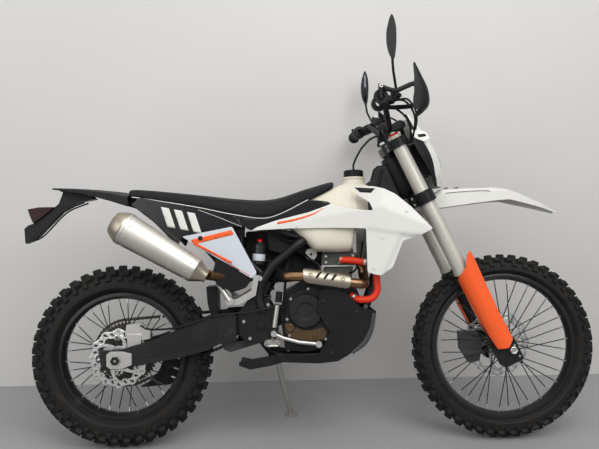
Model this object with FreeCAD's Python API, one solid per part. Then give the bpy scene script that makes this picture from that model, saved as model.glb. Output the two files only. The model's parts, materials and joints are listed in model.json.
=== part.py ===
"""Trail motorcycle leaning on its side stand, as an assembly of separate solids.

Every piece is drawn on an upright motorcycle: X forward, Y to its left, Z up, with the
ground line at Z = 0 under the middle of the wheelbase. At the end each piece is leaned
over to the left and the whole is set on the floor.
"""
import FreeCAD
import Part
import math
import os

# Side view grid: places along the machine are shares of these two sizes
WHEELBASE = 1450.0
SEAT_HEIGHT = 943.0

# Lean on the side stand
LEAN_DEG = 8.73

# Wheels and tyres
FRONT_TYRE_RADIUS = 350.0
REAR_TYRE_RADIUS = 340.0
FRONT_CROWN_RADIUS = 42.0
REAR_CROWN_RADIUS = 56.0
FRONT_BEAD_SEAT_RADIUS = 267.0
REAR_BEAD_SEAT_RADIUS = 229.0
FRONT_RIM_HALF_WIDTH = 26.0
REAR_RIM_HALF_WIDTH = 31.0
RIM_FLANGE_HEIGHT = 9.0
RIM_FLANGE_WALL = 3.0
RIM_DEPTH = 15.4
RIM_WALL = 4.0
SPOKE_RADIUS = 2.0
SPOKE_COUNT = 36
SPOKE_TILT_DEG = 38.0
HUB_BORE_RADIUS = 11.0
FRONT_HUB_RADIUS = 24.0
FRONT_HUB_FLANGE_RADIUS = 36.0
FRONT_HUB_HALF_WIDTH = 58.0
FRONT_FLANGE_OFFSET = 30.0
REAR_HUB_RADIUS = 32.0
REAR_HUB_FLANGE_RADIUS = 48.0
REAR_HUB_HALF_WIDTH = 62.0
REAR_FLANGE_OFFSET = 32.0
HUB_FLANGE_WALL = 6.0

# Steering geometry
RAKE_DEG = 25.5
CLAMP_OFFSET = 26.0
AXLE_LEAD = 35.0
TOP_CLAMP_RISE = 1231.0
LOWER_CLAMP_RISE = 1006.0
OUTER_TUBE_END_RISE = 691.0
LEG_SPREAD = 102.0

# Fork and clamps
FORK_TOP_RADIUS = 26.0
FORK_OUTER_RADIUS = 29.5
FORK_COLLAR_RADIUS = 31.5
FORK_COLLAR_LENGTH = 16.0
FORK_TOP_STANDOUT = 12.0
STANCHION_RADIUS = 24.0
STANCHION_OVERLAP = 60.0
LUG_WIDTH = 46.0
LUG_HEIGHT = 92.0
LUG_DEPTH = 58.0
TOP_CLAMP_HEIGHT = 34.0
LOWER_CLAMP_HEIGHT = 46.0
CLAMP_RING_WALL = 9.0
CLAMP_WEB_DEPTH = 52.0
STEM_RADIUS = 15.0
STEM_BORE_RADIUS = 8.0
STEM_TOP_STANDOUT = 10.0
AXLE_RADIUS = 10.0
FRONT_AXLE_HALF_LENGTH = 131.0

# Head tube and frame
HEAD_RADIUS = 27.0
HEAD_RUNNING_GAP = 1.0
BEARING_GAP = 0.4
BACKBONE_RADIUS = 26.0
DOWN_TUBE_RADIUS = 19.0
SPAR_RADIUS = 17.0
RAIL_RADIUS = 14.0
CROSS_RADIUS = 13.0
FRAME_BEND = 70.0
SPAR_HALF_GAP = 100.0
RAIL_HALF_GAP = 62.0
PIVOT_PLATE_IN = 84.0
PIVOT_PLATE_WALL = 13.0
SUBFRAME_RADIUS = 10.0
SUBFRAME_HALF_GAP = 78.0
SUBFRAME_BEND = 60.0

# Small clearances and overruns
SEAT_GAP = 0.3
OVERRUN = 4.0
PIVOT_GAP = 0.5
BRAKE_GAP = 3.0

# Swingarm
ARM_IN = 87.0
ARM_WALL = 26.0
YOKE_IN = 44.0
AXLE_BLOCK_WALL = 12.0
REAR_AXLE_HALF_LENGTH = 128.0

# Brakes and drive
REAR_DISC_RADIUS = 110.0
REAR_DISC_OFFSET = 72.0
FRONT_DISC_RADIUS = 130.0
FRONT_DISC_OFFSET = 66.0
DISC_WALL = 4.0
DISC_BAND = 26.0
DISC_ARMS = 6
DISC_ARM_WIDTH = 16.0
WAVE_COUNT = 12
WAVE_DEPTH = 5.0
CHAIN_OFFSET = 71.0
CHAIN_PITCH = 15.875
REAR_TEETH = 50
FRONT_TEETH = 13
CHAIN_WIDTH = 15.0
CHAIN_HEIGHT = 14.0
CHAIN_ROLLER_RADIUS = 5.0
SPROCKET_WALL = 5.0
SPROCKET_TIP_GAP = 2.0

# Engine
CASE_HALF_WIDTH = 78.0
COVER_WALL = 22.0
CLUTCH_COVER_RADIUS = 66.0
CLUTCH_COVER_WALL = 17.0
STATOR_COVER_RADIUS = 58.0
STATOR_COVER_WALL = 26.0
BARREL_HALF_WIDTH = 50.0
HEAD_HALF_WIDTH = 60.0
CAM_COVER_HALF_WIDTH = 48.0

# Exhaust
PIPE_RADIUS = 18.0
PIPE_BEND = 45.0
PIPE_Y = 136.0
PIPE_INBOARD_Y = 61.0
SILENCER_Y = 182.0
SILENCER_FRONT_RADIUS = 45.0
SILENCER_REAR_RADIUS = 60.0
SILENCER_CONE_LENGTH = 46.0
SILENCER_CAP_LENGTH = 44.0
SILENCER_CAP_RADIUS = 40.0
SILENCER_OUTLET_RADIUS = 24.0
SILENCER_OUTLET_DEPTH = 30.0
SHIELD_WALL = 3.0
SHIELD_GAP = 7.0

# Shock absorber
SPRING_RADIUS = 29.0
SHOCK_BODY_RADIUS = 21.0
SHOCK_ROD_RADIUS = 8.0
RESERVOIR_RADIUS = 24.0
RESERVOIR_Y = 58.0

# Bodywork
PANEL_WALL = 3.0
TANK_TUNNEL_HALF = 42.0
TANK_SKIRT_HALF = 76.0
NECK_FOOT_RADIUS = 54.0
NECK_RADIUS = 40.0
CAP_RADIUS = 38.0
CAP_HEIGHT = 27.0
VENT_RADIUS = 4.0
SKID_WALL = 5.0
SKID_TOP_HALF = 130.0
SKID_LOW_HALF = 112.0
FENDER_WALL = 4.0
MASK_WALL = 4.0
RADIATOR_IN = 60.0
RADIATOR_OUT = 148.0
HOSE_RADIUS = 13.0

# Handlebar and controls
BAR_RADIUS = 11.0
BAR_BEND = 60.0
BAR_HALF_LENGTH = 393.0
GRIP_RADIUS = 16.5
GRIP_LENGTH = 122.0
PERCH_RADIUS = 18.0
PERCH_LENGTH = 30.0
LEVER_RADIUS = 5.5
MIRROR_STEM_RADIUS = 4.5

# Side stand
STAND_RADIUS = 11.0
STAND_FOOT_RADIUS = 27.0
STAND_FOOT_WALL = 7.0
STAND_LUG_RADIUS = 19.0
STAND_LUG_WALL = 11.5
STAND_PIN_RADIUS = 7.5
STAND_BRACKET_LENGTH = 45.0


def vec(x, y, z):
    """Return a point or direction."""
    return FreeCAD.Vector(x, y, z)


def place(share, y=0.0):
    """Return the point of a side-view share pair at a distance from the centre plane."""
    return vec(share[0] * WHEELBASE, y, share[1] * SEAT_HEIGHT)


def rad(degrees):
    """Return an angle in radians."""
    return math.radians(degrees)


def unit(direction):
    """Return a direction at length one, leaving the given one as it is."""
    return direction * (1.0 / direction.Length)


# Wheel and steering places worked out from the sizes above
LEAN_STRETCH = 1.0 / math.cos(rad(LEAN_DEG)) - 1.0
REAR_AXLE = vec(-WHEELBASE / 2, 0, REAR_TYRE_RADIUS + REAR_CROWN_RADIUS * LEAN_STRETCH)
FRONT_AXLE = vec(WHEELBASE / 2, 0, FRONT_TYRE_RADIUS + FRONT_CROWN_RADIUS * LEAN_STRETCH)
STEER_UP = vec(-math.sin(rad(RAKE_DEG)), 0, math.cos(rad(RAKE_DEG)))
STEER_AHEAD = vec(math.cos(rad(RAKE_DEG)), 0, math.sin(rad(RAKE_DEG)))
AXLE_OFFSET = CLAMP_OFFSET + AXLE_LEAD
TRAIL = (FRONT_AXLE.z * math.sin(rad(RAKE_DEG)) - AXLE_OFFSET) / math.cos(rad(RAKE_DEG))
STEER_GROUND = vec(FRONT_AXLE.x + TRAIL, 0, 0)
AXLE_RISE = (FRONT_AXLE - STEER_GROUND).dot(STEER_UP)
SWING_PIVOT_SHARE = (-0.1379, 0.4846)
FRONT_SPROCKET_SHARE = (-0.0979, 0.5069)


def on_fork(rise, lead=0.0, y=0.0):
    """Return a point by its distance up the steering axis and ahead of it."""
    return STEER_GROUND + STEER_UP * rise + STEER_AHEAD * lead + vec(0, y, 0)


def fork_place(share, y=0.0):
    """Return the point of a fork-view share pair, in shares of the top clamp's rise."""
    return on_fork(share[0] * TOP_CLAMP_RISE, share[1] * TOP_CLAMP_RISE, y)


def on_arm(share, y=0.0):
    """Return the point of a share pair along and above the line from arm pivot to rear axle."""
    pivot = place(SWING_PIVOT_SHARE)
    way = REAR_AXLE - pivot
    above = vec(way.z, 0, -way.x)
    return pivot + way * share[0] + above * share[1] + vec(0, y, 0)


def line(start, end):
    """Return a straight edge."""
    return Part.LineSegment(start, end).toShape()


def arc(start, middle, end):
    """Return a round edge through three points."""
    return Part.Arc(start, middle, end).toShape()


def polygon_face(points):
    """Return the flat face inside a closed outline."""
    return Part.Face(Part.makePolygon(points + [points[0]]))


def smooth_face(points):
    """Return the flat face inside a smooth closed curve through the points."""
    curve = Part.BSplineCurve()
    curve.interpolate(Points=points, PeriodicFlag=True)
    return Part.Face(Part.Wire(curve.toShape()))


def slab(shares, y_from, y_to, to_place=place, face_of=polygon_face):
    """Return a plate with a side-view outline between two distances from the centre plane."""
    face = face_of([to_place(share, y_from) for share in shares])
    return face.extrude(vec(0, y_to - y_from, 0))


def mirrored(shape):
    """Return the piece's twin on the other side of the centre plane."""
    return shape.mirror(vec(0, 0, 0), vec(0, 1, 0))


def both_sides(shape):
    """Return a piece and its twin as separate solids."""
    return Part.makeCompound([shape, mirrored(shape)])


def fused(shapes):
    """Return overlapping solids as one."""
    return shapes[0].multiFuse(shapes[1:]).removeSplitter()


def largest(shape):
    """Return the largest solid of a shape."""
    return max(shape.Solids, key=lambda solid: solid.Volume)


def seated(shape, *neighbours):
    """Return a piece cut to the neighbours that it sits on or round."""
    return largest(shape.cut(Part.makeCompound(list(neighbours))))


def rod(start, end, radius):
    """Return a round bar between two points."""
    return Part.makeCylinder(radius, (end - start).Length, start, end - start)


def taper(start, end, start_radius, end_radius):
    """Return a round bar that changes its radius evenly."""
    return Part.makeCone(start_radius, end_radius, (end - start).Length, start, end - start)


def tube(start, end, radius, bore):
    """Return a round tube between two points."""
    reach = unit(end - start) * OVERRUN
    return rod(start, end, radius).cut(rod(start - reach, end + reach, bore))


def hex_bar(start, end, radius):
    """Return a six-sided bar between two points."""
    ahead = unit(end - start)
    side = unit(ahead.cross(vec(0, 1, 0)))
    up = side.cross(ahead)
    corners = [start + side * (radius * math.cos(rad(60 * k))) + up * (radius * math.sin(rad(60 * k)))
               for k in range(6)]
    return polygon_face(corners).extrude(end - start)


BEND_REACH_SHARE = 0.45


def bent_wire(points, bend):
    """Return straight runs joined by tangent arcs of the bend radius, or less on short runs."""
    edges = []
    start = points[0]
    for before, corner, after in zip(points, points[1:], points[2:]):
        back = unit(before - corner)
        ahead = unit(after - corner)
        half_turn = (math.pi - back.getAngle(ahead)) / 2
        shorter = min((before - corner).Length, (after - corner).Length)
        reach = min(bend * math.tan(half_turn), BEND_REACH_SHARE * shorter)
        radius = reach / math.tan(half_turn)
        inward = unit(back + ahead) * (radius / math.cos(half_turn) - radius)
        edges.append(line(start, corner + back * reach))
        edges.append(arc(corner + back * reach, corner + inward, corner + ahead * reach))
        start = corner + ahead * reach
    edges.append(line(start, points[-1]))
    return Part.Wire(edges)


def pipe(points, radius, bend):
    """Return a round bar bent along its route."""
    ring = Part.makeCircle(radius, points[0], points[1] - points[0])
    return bent_wire(points, bend).makePipe(Part.Face(Part.Wire(ring)))


def turned(profile, axle):
    """Return the solid that a (radius, y) profile sweeps round a wheel's axle."""
    face = polygon_face([vec(axle.x, y, axle.z + radius) for radius, y in profile])
    return face.revolve(axle, vec(0, 1, 0), 360)


def turned_on_axis(profile, base, axis, side):
    """Return the solid that a (along, radius) profile sweeps round an axis."""
    face = polygon_face([base + axis * along + side * radius for along, radius in profile])
    return face.revolve(base, axis, 360)


def across_lofted(sections):
    """Return a smooth body through closed cross sections."""
    return Part.makeLoft(sections, True, False)


# Wheels

SHOULDER_DEG = 54.0
CROWN_TURN_SHARES = (0.0, 0.5, 1.0)
WALL_MID_SHARE = 0.42
WALL_BULGE_SHARE = 0.9
CAVITY_TOP_SHARE = 0.3
CAVITY_REACH_SHARE = 0.6
BEAD_WIDTH = 9.0
REAR_LUG_ROWS = 42
FRONT_LUG_ROWS = 46
REAR_LUG_HEIGHT = 15.0
FRONT_LUG_HEIGHT = 12.0
LUG_ROOT_DEPTH = 5.0
LUG_LENGTH_SHARE = 0.62
LUG_TAPER_SHARE = 0.8
CENTRE_LUG_SHARE = 0.3
SHOULDER_LUG_SHARE = 0.24
SHOULDER_LUG_DEG = 47.0
SHOULDER_LUG_EVERY = 2


def tyre_half_section(radius, crown, bead_seat, rim_half, lug_height, rows):
    """Return one side of a tyre's section from its crown, round the bead, to the cavity."""
    flat_stretch = 1.0 / math.cos(math.pi / rows)
    base = radius - crown
    carcass = crown - lug_height
    wall_mid = bead_seat + WALL_MID_SHARE * (radius - bead_seat)
    bead_top = (bead_seat + RIM_FLANGE_HEIGHT) * flat_stretch
    seat = bead_seat * flat_stretch
    bead_y = rim_half - RIM_FLANGE_WALL
    section = []
    for share in CROWN_TURN_SHARES:
        turn = rad(SHOULDER_DEG) * share
        section.append((base + carcass * math.cos(turn), carcass * math.sin(turn)))
    section += [
        (wall_mid, crown * WALL_BULGE_SHARE),
        (bead_top, bead_y),
        (seat, bead_y),
        (seat, bead_y - BEAD_WIDTH),
        (base + crown * CAVITY_TOP_SHARE, crown * CAVITY_REACH_SHARE),
    ]
    return section


def faceted_ring(axle, section, count):
    """Return a solid whose closed section of (radius, y) points is stepped round an axle."""
    stations = []
    for k in range(count):
        turn = math.tau * k / count
        stations.append([axle + vec(radius * math.cos(turn), y, radius * math.sin(turn)) for radius, y in section])
    faces = []
    for near, far in zip(stations, stations[1:] + stations[:1]):
        for i in range(len(section)):
            j = (i + 1) % len(section)
            faces.append(polygon_face([near[i], near[j], far[j], far[i]]))
    ring = Part.makeSolid(Part.makeShell(faces))
    if ring.Volume < 0:
        ring.reverse()
    return ring


def tread_lug(axle, base, foot, tip, turn, side, length, half):
    """Return one tapered lug that stands out of a tyre's crown at a turn and a side angle."""
    radial = vec(math.cos(turn), 0, math.sin(turn))
    around = vec(-math.sin(turn), 0, math.cos(turn))
    out = radial * math.cos(side) + vec(0, 1, 0) * math.sin(side)
    tip_half = half * LUG_TAPER_SHARE
    tip_length = length * LUG_TAPER_SHARE
    lug = Part.makeWedge(-length / 2, 0, -half, -tip_half, -tip_length / 2,
                         length / 2, tip - foot, half, tip_half, tip_length / 2)
    turned_to = FreeCAD.Rotation(around, out, around.cross(out), "YXZ")
    lug.Placement = FreeCAD.Placement(axle + radial * base + out * foot, turned_to)
    return lug


def tyre(axle, radius, crown, bead_seat, rim_half, lug_height, rows):
    """Return a hollow tyre with a centre lug in each row and shoulder lugs between rows."""
    right = tyre_half_section(radius, crown, bead_seat, rim_half, lug_height, rows)
    left = [(point_radius, -y) for point_radius, y in reversed(right[1:])]
    body = faceted_ring(axle, right + left, rows)
    base = radius - crown
    foot = crown - lug_height - LUG_ROOT_DEPTH
    pitch = math.tau / rows
    length = pitch * radius * LUG_LENGTH_SHARE
    centre_half = crown * CENTRE_LUG_SHARE
    centre_tip = math.sqrt(crown ** 2 - (centre_half * LUG_TAPER_SHARE) ** 2)
    shoulder_half = crown * SHOULDER_LUG_SHARE
    shoulder_tip = math.sqrt(crown ** 2 - (shoulder_half * LUG_TAPER_SHARE) ** 2)
    lugs = []
    for k in range(rows):
        lugs.append(tread_lug(axle, base, foot, centre_tip, pitch * (k + 0.5), 0, length, centre_half))
        if k % SHOULDER_LUG_EVERY:
            continue
        for side in (1, -1):
            side_turn = side * rad(SHOULDER_LUG_DEG)
            lugs.append(
                tread_lug(axle, base, foot, shoulder_tip, pitch * k, side_turn, length, shoulder_half),
            )
    return largest(body.multiFuse(lugs))


WELL_SHARE = 0.4


def rim(axle, bead_seat, rim_half):
    """Return a spoked wheel's rim with its well and flanges."""
    inner = bead_seat - RIM_DEPTH
    seat_y = rim_half - RIM_FLANGE_WALL
    well_y = rim_half * WELL_SHARE
    right = [
        (inner, -well_y),
        (bead_seat - RIM_WALL, -rim_half),
        (bead_seat + RIM_FLANGE_HEIGHT, -rim_half),
        (bead_seat + RIM_FLANGE_HEIGHT, -seat_y),
        (bead_seat, -seat_y),
        (bead_seat, -seat_y + BEAD_WIDTH),
        (inner + RIM_WALL, -well_y),
    ]
    left = [(radius, -y) for radius, y in reversed(right)]
    return turned(right + left, axle)


def hub(axle, radius, flange_radius, half_widths, flange_offset):
    """Return a wheel hub with two spoke flanges and its axle bore."""
    y_low, y_high = -half_widths[0], half_widths[1]
    near = flange_offset + HUB_FLANGE_WALL
    return turned([
        (HUB_BORE_RADIUS, y_low),
        (radius, y_low),
        (radius, -near),
        (flange_radius, -near),
        (flange_radius, -flange_offset),
        (radius, -flange_offset),
        (radius, flange_offset),
        (flange_radius, flange_offset),
        (flange_radius, near),
        (radius, near),
        (radius, y_high),
        (HUB_BORE_RADIUS, y_high),
    ], axle)


RIM_SPOKE_Y_SHARE = 0.25


def spokes(axle, rim_inner, rim_half, flange_radius, flange_offset):
    """Return crossed spokes from the hub flanges into the rim."""
    bars = []
    step = 360.0 / SPOKE_COUNT
    hub_end = flange_radius - HUB_FLANGE_WALL
    rim_end = rim_inner + RIM_WALL / 2
    for k in range(SPOKE_COUNT):
        side = 1 if k % 2 else -1
        tilt = SPOKE_TILT_DEG if (k // 2) % 2 else -SPOKE_TILT_DEG
        rim_turn = rad(step * (k + 0.5))
        hub_turn = rim_turn + rad(tilt)
        hub_y = side * (flange_offset + HUB_FLANGE_WALL / 2)
        rim_y = side * rim_half * RIM_SPOKE_Y_SHARE
        start = vec(axle.x + hub_end * math.cos(hub_turn), hub_y, axle.z + hub_end * math.sin(hub_turn))
        end = vec(axle.x + rim_end * math.cos(rim_turn), rim_y, axle.z + rim_end * math.sin(rim_turn))
        bars.append(hex_bar(start, end, SPOKE_RADIUS))
    return bars


def front_wheel():
    """Return the front rim, spokes and hub as one piece."""
    rim_ring = rim(FRONT_AXLE, FRONT_BEAD_SEAT_RADIUS, FRONT_RIM_HALF_WIDTH)
    widths = (FRONT_HUB_HALF_WIDTH, FRONT_DISC_OFFSET - DISC_WALL / 2)
    middle = hub(FRONT_AXLE, FRONT_HUB_RADIUS, FRONT_HUB_FLANGE_RADIUS, widths, FRONT_FLANGE_OFFSET)
    inner = FRONT_BEAD_SEAT_RADIUS - RIM_DEPTH
    bars = spokes(FRONT_AXLE, inner, FRONT_RIM_HALF_WIDTH, FRONT_HUB_FLANGE_RADIUS, FRONT_FLANGE_OFFSET)
    return rim_ring.multiFuse([middle] + bars)


def rear_wheel():
    """Return the rear rim, spokes and hub as one piece."""
    rim_ring = rim(REAR_AXLE, REAR_BEAD_SEAT_RADIUS, REAR_RIM_HALF_WIDTH)
    widths = (REAR_DISC_OFFSET - DISC_WALL / 2, CHAIN_OFFSET - SPROCKET_WALL / 2)
    middle = hub(REAR_AXLE, REAR_HUB_RADIUS, REAR_HUB_FLANGE_RADIUS, widths, REAR_FLANGE_OFFSET)
    inner = REAR_BEAD_SEAT_RADIUS - RIM_DEPTH
    bars = spokes(REAR_AXLE, inner, REAR_RIM_HALF_WIDTH, REAR_HUB_FLANGE_RADIUS, REAR_FLANGE_OFFSET)
    return rim_ring.multiFuse([middle] + bars)


def ring_plate(axle, outer, inner, y_from, y_to):
    """Return a flat ring round an axle."""
    return turned([(inner, y_from), (outer, y_from), (outer, y_to), (inner, y_to)], axle)


DISC_HOLES = 24
DISC_HOLE_RADIUS = 3.5
DISC_HOLE_SHARES = (0.64, 0.4)


def brake_disc(axle, radius, y_centre, hub_radius):
    """Return a wave-edged brake disc with arms to its hub ring."""
    y_from = y_centre - DISC_WALL / 2
    y_to = y_centre + DISC_WALL / 2
    band = ring_plate(axle, radius, radius - DISC_BAND, y_from, y_to)
    scallops = []
    for k in range(WAVE_COUNT):
        turn = rad(360.0 / WAVE_COUNT * k)
        reach = radius + DISC_BAND - WAVE_DEPTH
        centre = vec(axle.x + reach * math.cos(turn), y_from - OVERRUN, axle.z + reach * math.sin(turn))
        scallops.append(Part.makeCylinder(DISC_BAND, DISC_WALL + OVERRUN * 2, centre, vec(0, 1, 0)))
    band = band.cut(Part.makeCompound(scallops))
    collar = ring_plate(axle, hub_radius, hub_radius - DISC_ARM_WIDTH, y_from, y_to)
    arms = []
    for k in range(DISC_ARMS):
        length = radius - DISC_BAND / 2 - hub_radius + DISC_ARM_WIDTH / 2
        arm = Part.makeBox(
            length, DISC_WALL, DISC_ARM_WIDTH,
            vec(axle.x + hub_radius - DISC_ARM_WIDTH / 2, y_from, axle.z - DISC_ARM_WIDTH / 2),
        )
        arm.rotate(axle, vec(0, 1, 0), 360.0 / DISC_ARMS * (k + 0.5))
        arms.append(arm)
    holes = []
    for k in range(DISC_HOLES):
        turn = rad(360.0 / DISC_HOLES * k)
        reach = radius - DISC_BAND * DISC_HOLE_SHARES[k % 2]
        centre = vec(axle.x + reach * math.cos(turn), y_from - OVERRUN, axle.z + reach * math.sin(turn))
        holes.append(Part.makeCylinder(DISC_HOLE_RADIUS, DISC_WALL + OVERRUN * 2, centre, vec(0, 1, 0)))
    return band.multiFuse([collar] + arms).cut(Part.makeCompound(holes))


def pitch_radius(teeth):
    """Return a chain wheel's pitch radius."""
    return CHAIN_PITCH / (2 * math.sin(math.pi / teeth))


SPROCKET_HOLES = 6
SPROCKET_HOLE_RADIUS = 22.0
SPROCKET_HOLE_REACH_SHARE = 0.66
TOOTH_HEIGHT = 7.0
TOOTH_ROOT_SHARE = 0.36


def sprocket(centre, teeth, bore, hole_radius):
    """Return a toothed chain wheel centred on the chain line."""
    tip = pitch_radius(teeth) - CHAIN_ROLLER_RADIUS - SPROCKET_TIP_GAP
    root = tip - TOOTH_HEIGHT
    y_from = CHAIN_OFFSET - SPROCKET_WALL / 2
    step = 360.0 / teeth
    outline = []
    for k in range(teeth):
        for radius, share in ((root, -TOOTH_ROOT_SHARE), (tip, -TOOTH_ROOT_SHARE / 3),
                              (tip, TOOTH_ROOT_SHARE / 3), (root, TOOTH_ROOT_SHARE)):
            turn = rad(step * (k + share))
            outline.append(
                vec(centre.x + radius * math.cos(turn), y_from, centre.z + radius * math.sin(turn)),
            )
    wheel = polygon_face(outline).extrude(vec(0, SPROCKET_WALL, 0))
    base = vec(centre.x, y_from - OVERRUN, centre.z)
    cuts = [Part.makeCylinder(bore, SPROCKET_WALL + OVERRUN * 2, base, vec(0, 1, 0))]
    if hole_radius:
        for k in range(SPROCKET_HOLES):
            turn = rad(360.0 / SPROCKET_HOLES * k)
            reach = tip * SPROCKET_HOLE_REACH_SHARE
            hole = base + vec(reach * math.cos(turn), 0, reach * math.sin(turn))
            cuts.append(Part.makeCylinder(hole_radius, SPROCKET_WALL + OVERRUN * 2, hole, vec(0, 1, 0)))
    return wheel.cut(Part.makeCompound(cuts))


CHAIN_REAR_STEPS = 13
CHAIN_FRONT_STEPS = 8


def loop_face(rear, rear_radius, front, front_radius, y):
    """Return the face within a flat-sided loop drawn tightly round two wheels."""
    span = vec(front.x - rear.x, 0, front.z - rear.z)
    base = math.atan2(span.z, span.x)
    lean = math.asin((rear_radius - front_radius) / span.Length)
    wraps = (
        (front, front_radius, base + math.pi / 2 - lean, 2 * lean - math.pi, CHAIN_FRONT_STEPS),
        (rear, rear_radius, base - math.pi / 2 + lean, -2 * lean - math.pi, CHAIN_REAR_STEPS),
    )
    corners = []
    for centre, radius, first, sweep, steps in wraps:
        reach = radius / math.cos(sweep / steps / 2)
        for k in range(steps):
            turn = first + sweep * (k + 0.5) / steps
            corners.append(vec(centre.x + reach * math.cos(turn), y, centre.z + reach * math.sin(turn)))
    return polygon_face(corners)


def chain():
    """Return the chain's closed loop round both chain wheels."""
    front = place(FRONT_SPROCKET_SHARE)
    y_from = CHAIN_OFFSET - CHAIN_WIDTH / 2
    bodies = []
    for reach in (CHAIN_HEIGHT / 2, BEARING_GAP - CHAIN_ROLLER_RADIUS - SPROCKET_TIP_GAP):
        loop = loop_face(REAR_AXLE, pitch_radius(REAR_TEETH) + reach, front,
                         pitch_radius(FRONT_TEETH) + reach, y_from)
        bodies.append(loop.extrude(vec(0, CHAIN_WIDTH, 0)))
    return bodies[0].cut(bodies[1])


# Frame

BACKBONE_REAR_SHARE = (0.0483, 0.9035)
SPAR_SHARES = (
    (0.0538, 0.9014), (-0.0386, 0.7975), (-0.1055, 0.7137), (-0.1366, 0.6426), (-0.1407, 0.5811),
    (-0.131, 0.5355),
)
DOWN_TUBE_FOOT_SHARE = (0.1352, 0.5302)
RAIL_SHARES = ((0.1407, 0.5536), (0.1159, 0.4242), (0.0759, 0.3542), (-0.1034, 0.3542), (-0.1352, 0.4242))
PIVOT_PLATE_SHARES = (
    (-0.1186, 0.5811), (-0.1007, 0.5302), (-0.0917, 0.4666), (-0.1034, 0.4157), (-0.1724, 0.4157),
    (-0.1917, 0.4454), (-0.1938, 0.5302), (-0.1738, 0.5748), (-0.1483, 0.5896),
)
CROSS_SHARES = ((-0.1214, 0.5758), (-0.1159, 0.4115))
SHOCK_CROSS_SHARE = (-0.0772, 0.7529)
ENGINE_LUG_SHARES = ((0.1228, 0.5027), (-0.1048, 0.456))
STAND_PIVOT_SHARE = (-0.1083, 0.3616)
STAND_PIVOT_Y = 115.0
SPAR_WAIST_Y = 26.0


def frame():
    """Return the welded frame: head, backbone, spars, cradle and pivot plates."""
    head_low = LOWER_CLAMP_RISE + LOWER_CLAMP_HEIGHT / 2 + HEAD_RUNNING_GAP
    head_high = TOP_CLAMP_RISE - TOP_CLAMP_HEIGHT / 2 - HEAD_RUNNING_GAP
    head = rod(on_fork(head_low), on_fork(head_high), HEAD_RADIUS)
    middle = (head_low + head_high) / 2
    pieces = [head, taper(on_fork(middle + HEAD_RADIUS), place(BACKBONE_REAR_SHARE), HEAD_RADIUS - OVERRUN,
                          BACKBONE_RADIUS)]
    pieces.append(
        rod(
            on_fork(head_low + DOWN_TUBE_RADIUS * 2, -DOWN_TUBE_RADIUS),
            place(DOWN_TUBE_FOOT_SHARE), DOWN_TUBE_RADIUS,
        ),
    )
    for side in (1, -1):
        spar = [place(SPAR_SHARES[0], side * SPAR_WAIST_Y / 2)]
        spar.append(place(SPAR_SHARES[1], side * SPAR_HALF_GAP))
        spar += [place(share, side * SPAR_HALF_GAP) for share in SPAR_SHARES[2:]]
        pieces.append(pipe(spar, SPAR_RADIUS, FRAME_BEND))
        rail = [place(RAIL_SHARES[0], 0)]
        rail += [place(share, side * RAIL_HALF_GAP) for share in RAIL_SHARES[1:4]]
        rail.append(place(RAIL_SHARES[4], side * (PIVOT_PLATE_IN + PIVOT_PLATE_WALL / 2)))
        pieces.append(pipe(rail, RAIL_RADIUS, FRAME_BEND))
        plate_in = side * PIVOT_PLATE_IN
        pieces.append(slab(PIVOT_PLATE_SHARES, plate_in, plate_in + side * PIVOT_PLATE_WALL))
    for share in CROSS_SHARES:
        pieces.append(rod(place(share, -PIVOT_PLATE_IN - OVERRUN), place(share, PIVOT_PLATE_IN + OVERRUN),
                          CROSS_RADIUS))
    pieces.append(rod(place(SHOCK_CROSS_SHARE, -SPAR_HALF_GAP + OVERRUN),
                      place(SHOCK_CROSS_SHARE, SPAR_HALF_GAP - OVERRUN), CROSS_RADIUS))
    axis = stand_axis()
    hinge = place(STAND_PIVOT_SHARE, STAND_PIVOT_Y)
    face = STAND_LUG_WALL + PIVOT_GAP
    pieces.append(
        rod(hinge - axis * (face + STAND_BRACKET_LENGTH), hinge - axis * face, STAND_RADIUS * 1.3),
    )
    pieces.append(rod(hinge - axis * (face + OVERRUN), hinge + axis * (face + OVERRUN), STAND_PIN_RADIUS))
    pieces.append(rod(hinge + axis * face, hinge + axis * (face + OVERRUN), STAND_RADIUS))
    body = fused(pieces)
    bore = rod(on_fork(head_low - OVERRUN), on_fork(head_high + OVERRUN), STEM_RADIUS + BEARING_GAP)
    pivot = rod(
        place(SWING_PIVOT_SHARE, -SPAR_HALF_GAP - OVERRUN),
        place(SWING_PIVOT_SHARE, SPAR_HALF_GAP + OVERRUN), AXLE_RADIUS,
    )
    return largest(body.cut(Part.makeCompound([bore, pivot])))


SUBFRAME_TOP_SHARES = ((-0.04, 0.825), (-0.1586, 0.8812), (-0.2966, 0.9205), (-0.4483, 0.9671))
SUBFRAME_LOW_SHARES = ((-0.1352, 0.6872), (-0.2276, 0.8165), (-0.3586, 0.9141))
SUBFRAME_CROSS_SHARES = ((-0.2069, 0.895), (-0.4414, 0.965))


def subframe():
    """Return the rear subframe under the seat."""
    pieces = []
    for side in (1, -1):
        top = [place(SUBFRAME_TOP_SHARES[0], side * (SPAR_HALF_GAP - SPAR_RADIUS))]
        top += [place(share, side * SUBFRAME_HALF_GAP) for share in SUBFRAME_TOP_SHARES[1:]]
        pieces.append(pipe(top, SUBFRAME_RADIUS, SUBFRAME_BEND))
        low = [place(SUBFRAME_LOW_SHARES[0], side * SPAR_HALF_GAP)]
        low += [place(share, side * SUBFRAME_HALF_GAP) for share in SUBFRAME_LOW_SHARES[1:]]
        low.append(place(SUBFRAME_TOP_SHARES[3], side * SUBFRAME_HALF_GAP))
        pieces.append(pipe(low, SUBFRAME_RADIUS, SUBFRAME_BEND))
    for share in SUBFRAME_CROSS_SHARES:
        pieces.append(
            rod(place(share, -SUBFRAME_HALF_GAP), place(share, SUBFRAME_HALF_GAP), SUBFRAME_RADIUS),
        )
    return fused(pieces)


# Swingarm and rear axle

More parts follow.
